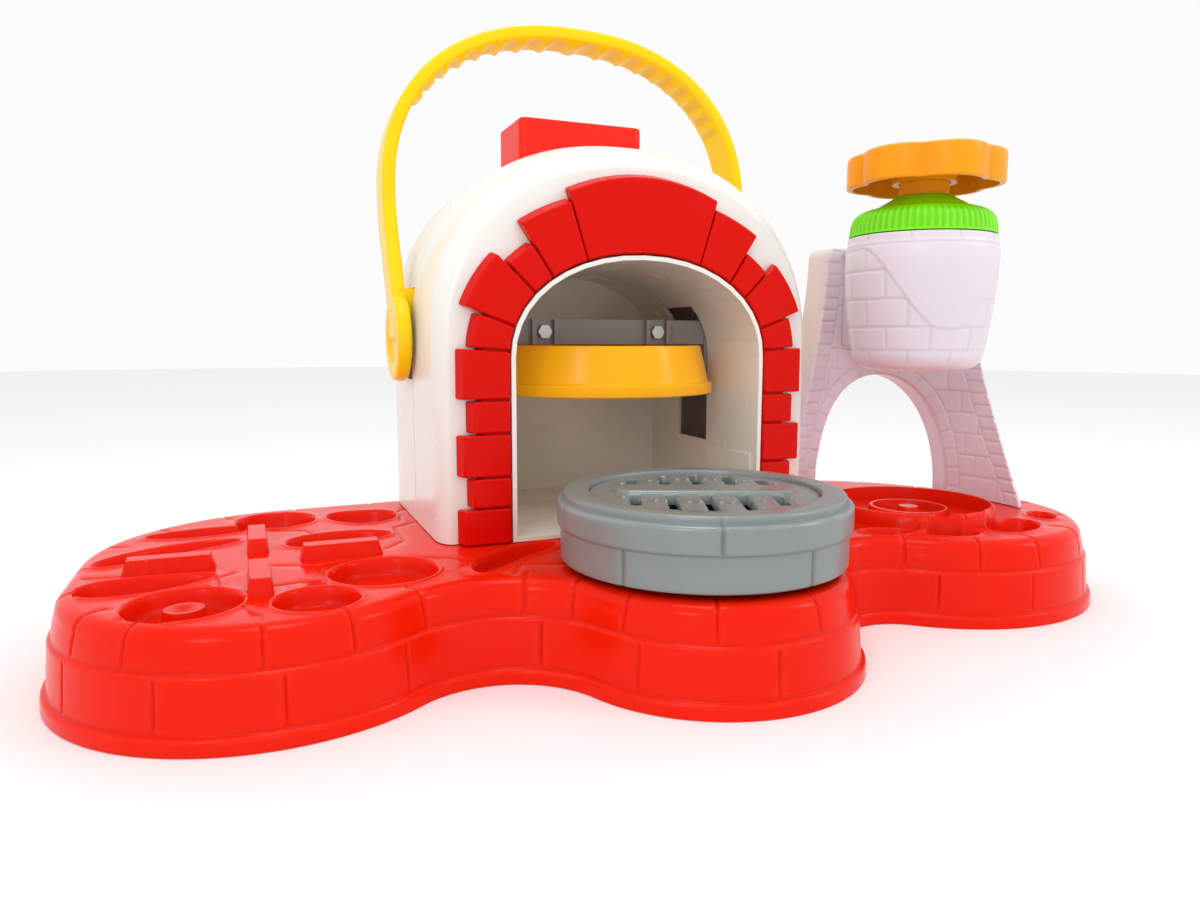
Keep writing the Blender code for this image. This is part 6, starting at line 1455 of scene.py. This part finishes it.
@dataclass(frozen=True)
class Extruder:
    """The extruder's tower, barrel, cap and knob, all turned about one upright axis or curved round it."""

    centre: tuple = (0.109, -0.008)
    wall: tuple = (0.0480, 0.0110, 0.0022, 0.1042)
    facing: float = 64.7
    edges: tuple = (0.065, 0.034, 0.051, 0.027, 1.8)
    corner: float = 0.0040
    taper: tuple = (-0.030, 0.88)
    arch: tuple = (0.0295, 0.0510, 2.1)
    course: tuple = (0.0089, 0.0172)
    quoin: tuple = (0.0083, 0.0049)
    arch_stone: tuple = (0.0055, 0.0077)
    barrel: tuple = (0.0552, 0.1038, 0.0236, 0.0270, 0.0262, 0.0075)
    bore: tuple = (0.0215, 0.0140, 0.0032)
    courses: tuple = (0.0624, 0.0707, 0.0806, 0.0907)
    saddle: tuple = (0.0178, 0.0635, 0.1035)
    cap: tuple = (0.1041, 0.0143, 0.0020, 0.0055)
    cap_outside: tuple = ((0.992, 0.0), (0.981, 0.245), (0.950, 0.455), (0.889, 0.566), (0.802, 0.643), (0.649, 0.706),
                          (0.573, 0.797), (0.458, 0.909), (0.392, 1.0))
    cap_inside: tuple = ((0.440, 0.790), (0.535, 0.640), (0.650, 0.560))
    cap_ribs: tuple = (66, 0.0005)
    spindle: float = 0.0088
    knob: tuple = (0.1219, 0.0125, 0.0276, 0.0032, 6, 16.5)
    knob_wall: tuple = (0.0022, 0.0008, 0.0012, 0.0080)

    def wall_place(self, arc: Points, radius) -> tuple[Points, Points]:
        """Plan places on the curved wall from arcs along its front; it narrows towards its back."""
        front, depth, _, _ = self.wall
        pivot, share = self.taper
        taper = 1 - (1 - share) * np.maximum(0.0, radius - front) / depth
        angle = math.radians(self.facing) - (pivot + (arc - pivot) * taper) / front
        return self.centre[0] + radius * np.cos(angle), self.centre[1] + radius * np.sin(angle)

    def edge_at(self, height: Points, side: int) -> Points:
        """Half width at a height: top + (foot - top) * (1 - h / H) ** n."""
        foot, top = self.edges[:2] if side > 0 else self.edges[2:4]
        return top + (foot - top) * np.clip(1 - height / self.wall[3], 0.0, 1.0) ** self.edges[4]

    def outline(self, inset: float) -> Points:
        """The wall's outline as arc and height: up the right edge, over the top, down the left, and over the arch."""
        tall = self.wall[3] - inset
        corner = self.corner
        up = np.linspace(0.0, tall - corner, 130)
        turn = np.linspace(0.0, math.pi / 2, 8)[1:]
        right, left = self.edges[1] - inset, self.edges[3] - inset
        loops = [
            np.stack([self.edge_at(up, 1) - inset, up], axis=1),
            np.stack([right - corner + corner * np.cos(turn), tall - corner + corner * np.sin(turn)], axis=1),
            np.stack([np.linspace(right - corner, -(left - corner), 78)[1:-1], np.full(76, tall)], axis=1),
            np.stack([-(left - corner) - corner * np.sin(turn), tall - corner + corner * np.cos(turn)], axis=1)[:-1],
            np.stack([-(self.edge_at(up[::-1], -1) - inset), up[::-1]], axis=1),
        ]
        half, rise, bulge = self.arch
        x, z = superellipse(half + inset, rise + inset, bulge, np.linspace(180.0, 0.0, 170))
        left_foot, right_foot = -(self.edges[2] - inset), self.edges[0] - inset
        loops.append(np.stack([np.linspace(left_foot, -(half + inset), 26)[1:-1], np.zeros(24)], axis=1))
        loops.append(np.stack([x, z], axis=1))
        loops.append(np.stack([np.linspace(half + inset, right_foot, 40)[1:-1], np.zeros(38)], axis=1))
        return np.vstack(loops)

    def masonry(self, places: Points) -> Points:
        """Groove strength, 0 to 1, on the wall: arch stones, quoins on both edges and staggered courses."""
        arc, height = places.T
        half, rise, bulge = self.arch
        x, z = superellipse(half, rise, bulge, np.linspace(0.0, 180.0, 121))
        line = np.stack([x, z], axis=1)
        to_arch, where = segment_distance(places, line[:-1], line[1:])
        run = np.concatenate([[0.0], np.cumsum(np.hypot(*np.diff(line, axis=0).T))])
        along = np.interp(where, np.arange(len(run)), run)
        stone, stone_pitch = self.arch_stone
        quoin, quoin_pitch = self.quoin
        from_edge = np.where(arc > 0, self.edge_at(height, 1) - arc, self.edge_at(height, -1) + arc)

        def joints(value: Points, pitch, shift=0.0) -> Points:
            """Distance to the nearest of evenly spaced joints."""
            return np.abs((value / pitch + shift + 0.5) % 1.0 - 0.5) * pitch

        thin = 0.36 * MM
        in_arch = to_arch < stone
        in_quoin = (from_edge < quoin) & ~in_arch
        field = ~in_arch & ~in_quoin
        pitch, length = self.course
        number = np.floor(height / pitch)
        cut = groove_at(joints(height, pitch), thin) * field
        stagger = 0.5 * (number % 2) + 0.13 * np.sin(number * 2.3)
        cut = np.maximum(cut, groove_at(joints(arc, length, stagger), thin) * field)
        cut = np.maximum(cut, groove_at(joints(along, stone_pitch, 0.5), thin) * in_arch)
        cut = np.maximum(cut, groove_at(joints(height, quoin_pitch), thin) * in_quoin)
        cut = np.maximum(cut, groove_at(to_arch - stone, thin))
        cut = np.maximum(cut, groove_at(from_edge - quoin, thin) * ~in_arch)
        return cut

    def build_tower(self, shop: ShaderShop) -> None:
        """The curved wall: a front skin cut with masonry, its back skin, and a return round every edge."""
        front, depth, wall, _ = self.wall
        loop = self.outline(0.0)
        inner = self.outline(wall)
        extra = scatter((-0.055, 0.0), (0.068, 0.106), 0.62 * MM, loop)
        extra = extra[depth_inside(loop, extra) > 0.25 * MM]
        corners, triangles = triangulate([loop], extra)
        cut = self.masonry(corners)
        away, _ = segment_distance(corners, loop, np.roll(loop, -1, axis=0))
        foot = (corners[:, 1] < 0.4 * MM) & (away < 1e-6)
        back = round_over(np.where(foot, 1.0, away), 0.9 * MM) * smooth(corners[:, 1], 0.0, 1.5 * MM)
        back = back + 0.34 * MM * cut * smooth(away, 0.0, 0.6 * MM)

        def wall_points(places: Points, radius) -> Points:
            """Places of arc and height at a radius, as points."""
            x, y = self.wall_place(places[:, 0], np.broadcast_to(radius, len(places)))
            return np.stack([x, y, places[:, 1] + GAP], axis=1)

        skin = Skin("brick_tower")
        # The masonry joints get dust and painted shade, the rim's rounded edge wear and a painted highlight.
        skin.add(wall_points(corners, front + back), triangles, 0.30 * cut, 0.25 * groove_at(away - 0.7 * MM, 0.6 * MM))
        rim = len(loop)
        radii = np.linspace(0.0, 1.0, 5)
        start = front + back[:rim]
        rings = [wall_points(loop, start + (front + depth - start) * share) for share in radii]
        rings += [wall_points(inner, front + depth + (wall - depth) * share) for share in radii[:-1]]
        skin.grid(np.array(rings + [wall_points(inner, front + wall)]))
        extra = scatter((-0.055, 0.0), (0.068, 0.106), 3.0 * MM, inner)
        corners, triangles = triangulate([inner], extra)
        skin.add(wall_points(corners, front + wall), triangles[:, ::-1])
        skin.finish(shop, LAVENDER, "base", Slot.LAVENDER, ["tower"], sharp=50.0)

    def build_barrel(self, shop: ShaderShop) -> None:
        """The barrel: a turned cup in brick courses, with a bare raised apron whose lower edge is a wave."""
        low, high, foot, radius, mouth, turn = self.barrel
        bore, outlet, floor = self.bore
        height = high - low
        angle = np.linspace(0.0, math.tau, 301)[:-1]
        under = np.linspace(0.0, math.pi / 2, 12)
        share = np.linspace(turn / height, 1.0, 96)[1:]
        swell = foot + (radius - foot) * np.sin(math.pi / 2 * np.clip((share - 0.15) / 0.70, 0.0, 1.0))
        swell += (mouth - radius) * smooth(share, 0.80, 1.0)
        outside = np.vstack([
            np.stack([foot - turn * (1 - np.sin(under)), low + turn * (1 - np.cos(under))], axis=1),
            np.stack([swell, low + height * share], axis=1),
        ])
        outside[-3:, 1] = (high - 0.9 * MM, high - 0.5 * MM, high - 0.2 * MM)
        outside[-1, 0] -= 0.25 * MM
        inside = np.array((
            (mouth - 0.7 * MM, high), (bore + 0.3 * MM, high), (bore, high - 0.3 * MM), (bore, low + floor + 6 * MM),
            (bore, low + floor), (outlet, low + floor), (outlet, low),
        ))
        profile = np.vstack([outside, inside])
        r, z = profile[:, :1], profile[:, 1:]
        seen = np.arange(len(profile))[:, None] < len(outside)
        front = math.radians(-132.2)
        arc = radius * ((angle[None, :] - front + math.pi) % math.tau - math.pi)
        wave = 0.0700 + 0.0290 * smooth(np.abs(arc - 0.011), 0.002, 0.034)
        apron = smooth(z - wave, -0.0005, 0.0004) * seen * (1 - smooth(z, 0.1000, 0.1015))
        marks = np.array(self.courses)
        lines = groove_at(np.abs(z[:, :, None] - marks).min(axis=2), 0.40 * MM)
        number = np.searchsorted(marks, z[:, 0])[:, None]
        pitch = math.tau / 10
        turned = (angle[None, :] - front) / pitch + 0.5 * (number % 2) + 0.22
        joint = np.abs((turned + 0.5) % 1.0 - 0.5) * pitch * radius
        cut = np.maximum(lines, groove_at(joint, 0.42 * MM)) * (1 - apron) * seen
        cut = cut * smooth(z, low + 2 * MM, low + 4 * MM)
        cut = np.maximum(cut, 0.8 * groove_at(z - 0.0998, 0.4 * MM) * seen)
        cut = np.maximum(cut, 0.45 * groove_at(z - wave, 0.5 * MM) * seen * (z < 0.099))
        push = 0.30 * MM * apron - 0.34 * MM * cut
        rings = polar(self.centre, r + push, angle[None, :], np.broadcast_to(z, push.shape))
        skin = Skin("barrel_cup")
        # Joints and the apron's edge get dust and painted shade, the top lip wear and a painted highlight.
        skin.sweep(rings, wrap=True, groove=0.30 * cut, edge=0.3 * groove_at(z - high, 0.8 * MM) * seen)
        half, bottom, top = self.saddle
        wide = np.linspace(-1.0, 1.0, 31) * half
        facing = math.radians(self.facing)

        def row(reach: float, level: float, pinch: float) -> Points:
            """A row across the saddle at a distance from the axis."""
            side = wide * (1 - pinch)
            out = np.sqrt(reach**2 - side**2)
            x = self.centre[0] + out * math.cos(facing) + side * math.sin(facing)
            y = self.centre[1] + out * math.sin(facing) - side * math.cos(facing)
            return np.stack([x, y, np.full_like(side, level)], axis=1)

        levels = ((bottom, 0.06), (bottom + 0.4 * MM, 0.02), (bottom + 1.2 * MM, 0.0), (0.075, 0.0), (0.088, 0.0),
                  (top - 1.0 * MM, 0.0), (top - 0.3 * MM, 0.02), (top, 0.05))
        near, far = bore + 1.2 * MM, self.wall[0] - GAP
        rows = [np.vstack([row(near, level, pinch), row(far, level, pinch)[::-1]]) for level, pinch in levels]
        skin.sweep(np.array(rows))
        skin.finish(shop, LAVENDER, "base", Slot.LAVENDER, ["extruder_barrel"], sharp=50.0)

    def build_cap(self, shop: ShaderShop) -> None:
        """The green cap: a ribbed skirt, r - d * sin(k * a) ** 2, under a smooth low dome, with a spigot below."""
        low, height, wall, drop = self.cap
        mouth = self.barrel[4]
        ribs, depth = self.cap_ribs
        bore, spigot = self.spindle + 0.4 * MM, self.bore[0] - 0.4 * MM
        outside = np.array(self.cap_outside) * (mouth, height) + (0.0, low)
        run = np.concatenate([[0.0], np.cumsum(np.hypot(*np.diff(outside, axis=0).T))])
        steps = np.linspace(0.0, run[-1], 44)
        smooth_path = np.stack([np.interp(steps, run, outside[:, 0]), np.interp(steps, run, outside[:, 1])], axis=1)
        kernel = np.array((0.25, 0.5, 0.25))
        for _ in range(4):
            padded = np.pad(smooth_path, ((1, 1), (0, 0)), mode="edge")
            blurred = kernel[0] * padded[:-2] + kernel[1] * padded[1:-1] + kernel[2] * padded[2:]
            smooth_path[2:-1] = blurred[2:-1]
        inner = spigot - wall
        under = np.array(self.cap_inside) * (mouth, height) + (0.0, low)
        inside = np.vstack([[(bore, low + height), (bore, low + height - wall)], under,
                            [(inner, under[-1, 1] - depth), (inner, low - drop), (spigot, low - drop), (spigot, low)]])
        inside[2:, 1] = np.minimum(inside[2:, 1], low + height - wall)
        profile = np.vstack([smooth_path, inside])
        r, z = profile[:, :1], profile[:, 1:]
        angle = np.linspace(0.0, math.tau, ribs * 8 + 1)[:-1][None, :]
        seen = (np.arange(len(profile))[:, None] < len(smooth_path)).astype(float)
        band = seen * (1 - smooth(z, low + 0.52 * height, low + 0.66 * height))
        band = band * smooth(z, low + 0.2 * MM, low + 0.9 * MM)
        valley = 0.5 - 0.5 * np.cos(ribs * angle)
        rings = polar(self.centre, r - depth * valley * band, angle, z)
        skin = Skin("barrel_cap_ribbed")
        # Dust and painted shade in the rib valleys, wear and a painted highlight on the rib crests.
        skin.sweep(rings, wrap=True, groove=0.75 * valley * band, edge=0.3 * (1 - valley) * band)
        skin.finish(shop, CAP_GREEN, "cap", Slot.CAP, ["barrel_cap"], sharp=60.0)

    def build_knob(self, shop: ShaderShop) -> None:
        """The knob: rings of six lobes, r - n * (1 - (0.5 + 0.5 * cos(6 a)) ** 0.45), a hollow skirt and a boss."""
        low, height, radius, notch, lobes, turn = self.knob
        wall, crown, edge, socket = self.knob_wall
        high = low + height
        ceiling = high - wall - crown
        hole = self.spindle + GAP
        boss = hole + wall
        soft = np.linspace(0.0, math.pi / 2, 6)
        crowned = ((0.3, 0.0, 0.0), (4, 0.02, 0.0), (9, 0.10, 0.35), (14, 0.3, 0.7), (19, 0.55, 1.0), (22.5, 0.72, 1.0))
        rows = [(reach * MM, high - fall * MM, share) for reach, fall, share in crowned]
        shoulder, side = high - crown, height - crown - 2 * edge
        rows += [(radius - 1.6 * edge * (1 - math.sin(a)), shoulder - 1.3 * edge * (1 - math.cos(a)), 1.0) for a in soft]
        rows += [(radius, shoulder - share * side - edge * 1.2, 1.0) for share in (0.25, 0.5, 0.75)]
        rows += [(radius - 0.5 * edge * (1 - math.cos(a)), low + 0.5 * edge * (1 - math.sin(a)), 1.0) for a in soft]
        rows += [(radius - wall, low, 1.0), (radius - wall, ceiling, 1.0), (boss, ceiling, 0.0)]
        rows += [(boss, low + edge, 0.0), (hole, low + edge, 0.0), (hole, low + socket, 0.0), (0.3 * MM, low + socket, 0.0)]
        r, z, lobed = (np.array(column)[:, None] for column in zip(*rows))
        angle = np.linspace(0.0, math.tau, 361)[:-1][None, :]
        valley = 1 - (0.5 + 0.5 * np.cos(lobes * (angle - math.radians(turn)))) ** 0.45
        rings = polar(self.centre, r - notch * valley * lobed, angle, z)
        skin = Skin("lobed_knob")
        number = np.arange(len(rows))[:, None]
        # Dust and painted shade in the notches between the lobes, wear and a painted highlight on the top's rounded
        # shoulder.
        deep = 0.35 * valley * (number > 8) * (number < 16)
        skin.sweep(rings, groove=deep, edge=0.35 * ((number > 5) & (number < 10)))
        skin.finish(shop, KNOB_ORANGE, "knob", Slot.KNOB, ["knob"], sharp=50.0)

    def build(self, shop: ShaderShop) -> None:
        """All of the extruder's dressed pieces; its inner parts keep the CAD's own form."""
        self.build_tower(shop)
        self.build_barrel(shop)
        self.build_cap(shop)
        self.build_knob(shop)


# ---------------------------------------------------------------- pan


@dataclass(frozen=True)
class Pan:
    """The grey pan: two brick courses under a raised rim, with a slatted grate in its well."""

    centre: tuple = (0.0, -0.041)
    bottom: float = 0.0018
    radii: tuple = (0.0428, 0.0438, 0.0418, 0.0345)
    heights: tuple = (0.0103, 0.0078, 0.0023, 0.0062)
    wall: float = 0.0020
    ledge: float = 0.0022
    notch: tuple = (0.0006, 0.0006)
    bricks: int = 5
    turn: float = -22.5
    slats: tuple = (6, 0.0072, 0.0030, 0.0030)
    band: tuple = (0.054, 0.012, 0.0010)

    def build_body(self, shop: ShaderShop) -> None:
        """The turned body; its joints are grooves cut across each course and over the rim's edge."""
        lower, upper, rim, well_radius = (value / MM for value in self.radii)
        h1, h2, h3, sunk = (value / MM for value in self.heights)
        top = h1 + h2 + h3
        well, wall, ledge = top - sunk, self.wall / MM, (self.radii[3] - self.ledge) / MM
        turn = np.linspace(0.0, math.pi / 2, 6)
        rows = [(0.3, well, 0), (ledge, well, 0), (ledge, well + wall, 0), (well_radius, well + wall, 0)]
        rows += [(well_radius, top - 0.5, 0), (well_radius + 0.15, top - 0.15, 0), (well_radius + 0.5, top, 0)]
        rows += [(well_radius + 3.5, top, 0.0), (rim - 1.6, top, 0.2)]
        rows += [(rim - 1.1 * (1 - math.sin(a)), top - 1.1 * (1 - math.cos(a)), 0.5) for a in turn[1:]]
        rows += [(rim + 0.02, h1 + h2 + 0.5, 0.5), (rim + 0.15, h1 + h2 + 0.12, 0.4), (rim + 0.4, h1 + h2, 0.5)]
        rows += [(upper - 1.4 * (1 - math.sin(a)), h1 + h2 - 1.4 * (1 - math.cos(a)), 1) for a in turn[1:]]
        rows += [(upper, h1 + (h2 - 1.4) * share, 1) for share in (0.8, 0.55, 0.3, 0.14)]
        rows += [(upper - 0.05, h1 + 0.35, 0.6), (upper - 0.25, h1 + 0.08, 0.2), (upper - 0.6, h1, 0)]
        rows += [(lower + 0.15, h1 - 0.02, 0), (lower, h1 - 0.25, 0)]
        rows += [(lower, h1 * share, -1) for share in (0.92, 0.8, 0.6, 0.4, 0.2)]
        rows += [(lower - 0.05, 0.6, -1), (lower - 0.3, 0.15, -1), (lower - 0.7, 0.0, -0.5), (lower - wall, 0.0, 0),
                 (lower - wall, well - wall, 0), (0.3, well - wall, 0)]
        r, z, course = (np.array(column)[:, None] for column in zip(*rows))
        pitch = math.tau / self.bricks
        first = math.radians(self.turn) - math.pi / 2
        places = np.concatenate([first + np.arange(5) * pitch, first + (np.arange(5) + 0.5) * pitch]) % math.tau
        offsets = np.array((-1.6, -1.1, -0.7, -0.35, 0.0, 0.35, 0.7, 1.1, 1.6)) / upper
        angle = marked_steps(0.0, math.tau - 0.03, 0.03, places, offsets)
        width = self.notch[0] / (upper * MM)
        to_upper, to_lower = nearest_mark(angle, places[:5], math.tau), nearest_mark(angle, places[5:], math.tau)
        in_upper, in_lower = np.clip(course, 0, 1), np.clip(-course, 0, 1)
        cut = np.maximum(in_upper * groove_at(to_upper, width), in_lower * groove_at(to_lower, width))
        reach = r * MM - self.notch[1] * cut
        rings = polar(self.centre, reach, angle[None, :], z * MM + self.bottom)
        # Dust and painted shade in the crease at the course step and under the rim, and in the joints (cut).
        line = groove_at(z - h1, 0.35) * (r > lower - 0.5)
        line = line + groove_at(r - rim - 0.2, 0.35) * (z > h1 + h2 - 0.2) * (z < h1 + h2 + 1)
        # Wear and a painted highlight on the upper course's rounded top edge.
        highlight_and_wear = 0.3 * (np.abs(course) > 0.4) * groove_at(z - h1 - h2 + 0.4, 0.7)
        skin = Skin("brick_pan")
        skin.sweep(rings, groove=0.8 * cut + 0.6 * line, edge=highlight_and_wear)
        skin.finish(shop, PAN_GREY, "pan", Slot.PAN, ["pan_body"], sharp=50.0)

    def build_grate(self, shop: ShaderShop) -> None:
        """The grate: a round plate with two rows of slots, a bare raised band across it and pips on its slats."""
        top = self.bottom + sum(self.heights[:3])
        low = top - self.heights[3] + self.wall + GAP
        count, slat, thick, rim = self.slats
        high = low + thick
        radius = self.radii[3] - GAP
        inner = radius - rim
        pitch = 2 * inner / count
        gap = pitch - slat
        length, width, proud = self.band
        middle = np.array(self.centre)
        turn = math.radians(self.turn)
        along, across = np.array((math.cos(turn), math.sin(turn))), np.array((-math.sin(turn), math.cos(turn)))
        loops = [circle(*self.centre, radius, 220)]
        for k in range(count + 1):
            place = min(max(-inner + k * pitch, -inner + gap / 2), inner - gap / 2)
            reach = math.sqrt(max(inner**2 - (abs(place) + gap / 2) ** 2, 0.0))
            if reach <= width / 2 + rim / 2:
                continue
            for side in (-1, 1):
                ends = np.linspace(-1, 1, 8)[:-1]
                u = np.concatenate([ends, np.ones(22), -ends, -np.ones(22)]) * gap / 2
                v = np.linspace(width / 2 + 0.5 * MM, reach, 23)
                v = np.concatenate([np.full(7, v[0]), v[:-1], np.full(7, v[-1]), v[::-1][:-1]])
                loops.append(middle + along * (place + u)[:, None] + across * (side * v)[:, None])
        right = ((0.0045, 0.0195), (0.0135, 0.0170), (0.0225, 0.0115))
        slats = [(-place, reach) for place, reach in right[::-1]] + list(right)
        pips = [(place, side * reach) for side in (-1, 1) for place, reach in slats]
        pips = np.array([(u + shift, v) for u, v in pips for shift in (-0.0016, 0.0016)])
        spots = middle + pips[:, :1] * along + pips[:, 1:] * across
        rings = np.vstack([circle(*spot, r * MM, 16) for spot in spots for r in (0.25, 0.55, 0.85, 1.1)])
        half = width / 2
        angle = np.linspace(0.0, math.tau, 120, endpoint=False)
        capsule = []
        for reach in (half - 1.4 * MM, half - 0.9 * MM, half - 0.6 * MM, half - 0.3 * MM, half, half + 0.25 * MM):
            x, y = np.sign(np.cos(angle)) * (length / 2 - half) + reach * np.cos(angle), reach * np.sin(angle)
            straight = np.linspace(-(length / 2 - half), length / 2 - half, 50)
            x = np.concatenate([x, straight, straight])
            y = np.concatenate([y, np.full(50, reach), np.full(50, -reach)])
            capsule.append(middle + x[:, None] * along + y[:, None] * across)
        dense = np.vstack([rings, *capsule])
        taken = np.vstack([*loops, dense])
        extra = np.vstack([dense, scatter(middle - 0.036, middle + 0.036, 0.9 * MM, taken)])
        corners, triangles = triangulate(loops, extra)
        local = corners - middle
        u, v = local @ along, local @ across
        rounding = np.full(len(corners), 1.0)
        for loop in loops:
            near = ((corners > loop.min(axis=0) - 2 * MM) & (corners < loop.max(axis=0) + 2 * MM)).all(axis=1)
            away, _ = segment_distance(corners[near], loop, np.roll(loop, -1, axis=0))
            rounding[near] = np.minimum(rounding[near], away)
        capsule_gap = np.hypot(np.maximum(np.abs(u) - (length / 2 - half), 0.0), v) - half
        raised = proud * (1 - smooth(capsule_gap, -0.7 * MM, 0.0))
        to_pip = np.hypot(*np.moveaxis(corners[:, None] - spots[None], 2, 0)).min(axis=1)
        bump = 0.75 * MM * np.sqrt(np.clip(1 - (to_pip / (1.0 * MM)) ** 2, 0.0, 1.0))
        step = 0.35 * MM * groove_at(np.hypot(u, v) - (radius - 1.6 * MM), 0.5 * MM)
        surface = high + raised + bump - round_over(rounding, 0.55 * MM) - step
        surface = np.minimum(surface, top + proud - 0.1 * MM)
        plan_top = np.column_stack([corners, surface])
        plan_low = np.column_stack([corners, np.full(len(corners), low)])
        # Dust and painted shade round the raised band's foot and round each pip, wear and a painted highlight on each
        # slot's rounded rim.
        marks = 0.5 * groove_at(capsule_gap - 0.3 * MM, 0.5 * MM) + 0.5 * groove_at(to_pip - 1.1 * MM, 0.3 * MM)
        skin = Skin("slatted_grate")
        skin.plate(corners, triangles, plan_top, plan_low, loops, marks, 0.4 * groove_at(rounding - 0.5 * MM, 0.4 * MM))
        skin.finish(shop, PAN_GREY, "pan", Slot.PAN, ["pan_grate"], sharp=60.0)

    def build(self, shop: ShaderShop) -> None:
        """The pan's two pieces."""
        self.build_body(shop)
        self.build_grate(shop)


def main() -> None:
    """Builds the studio and the dressed toy, one sub-assembly at a time."""
    logging.basicConfig(level=logging.INFO, format="%(name)s: %(message)s")
    shop = ShaderShop()
    dress_cad_nodes(shop)
    for assembly in (Base(), Oven(), Handle(), Stamper(), Extruder(), Pan()):
        LOG.info("building %s", type(assembly).__name__)
        assembly.build(shop)
    studio = Studio()
    studio.camera()
    studio.floor()
    studio.lights()


if __name__ == "__main__":
    main()
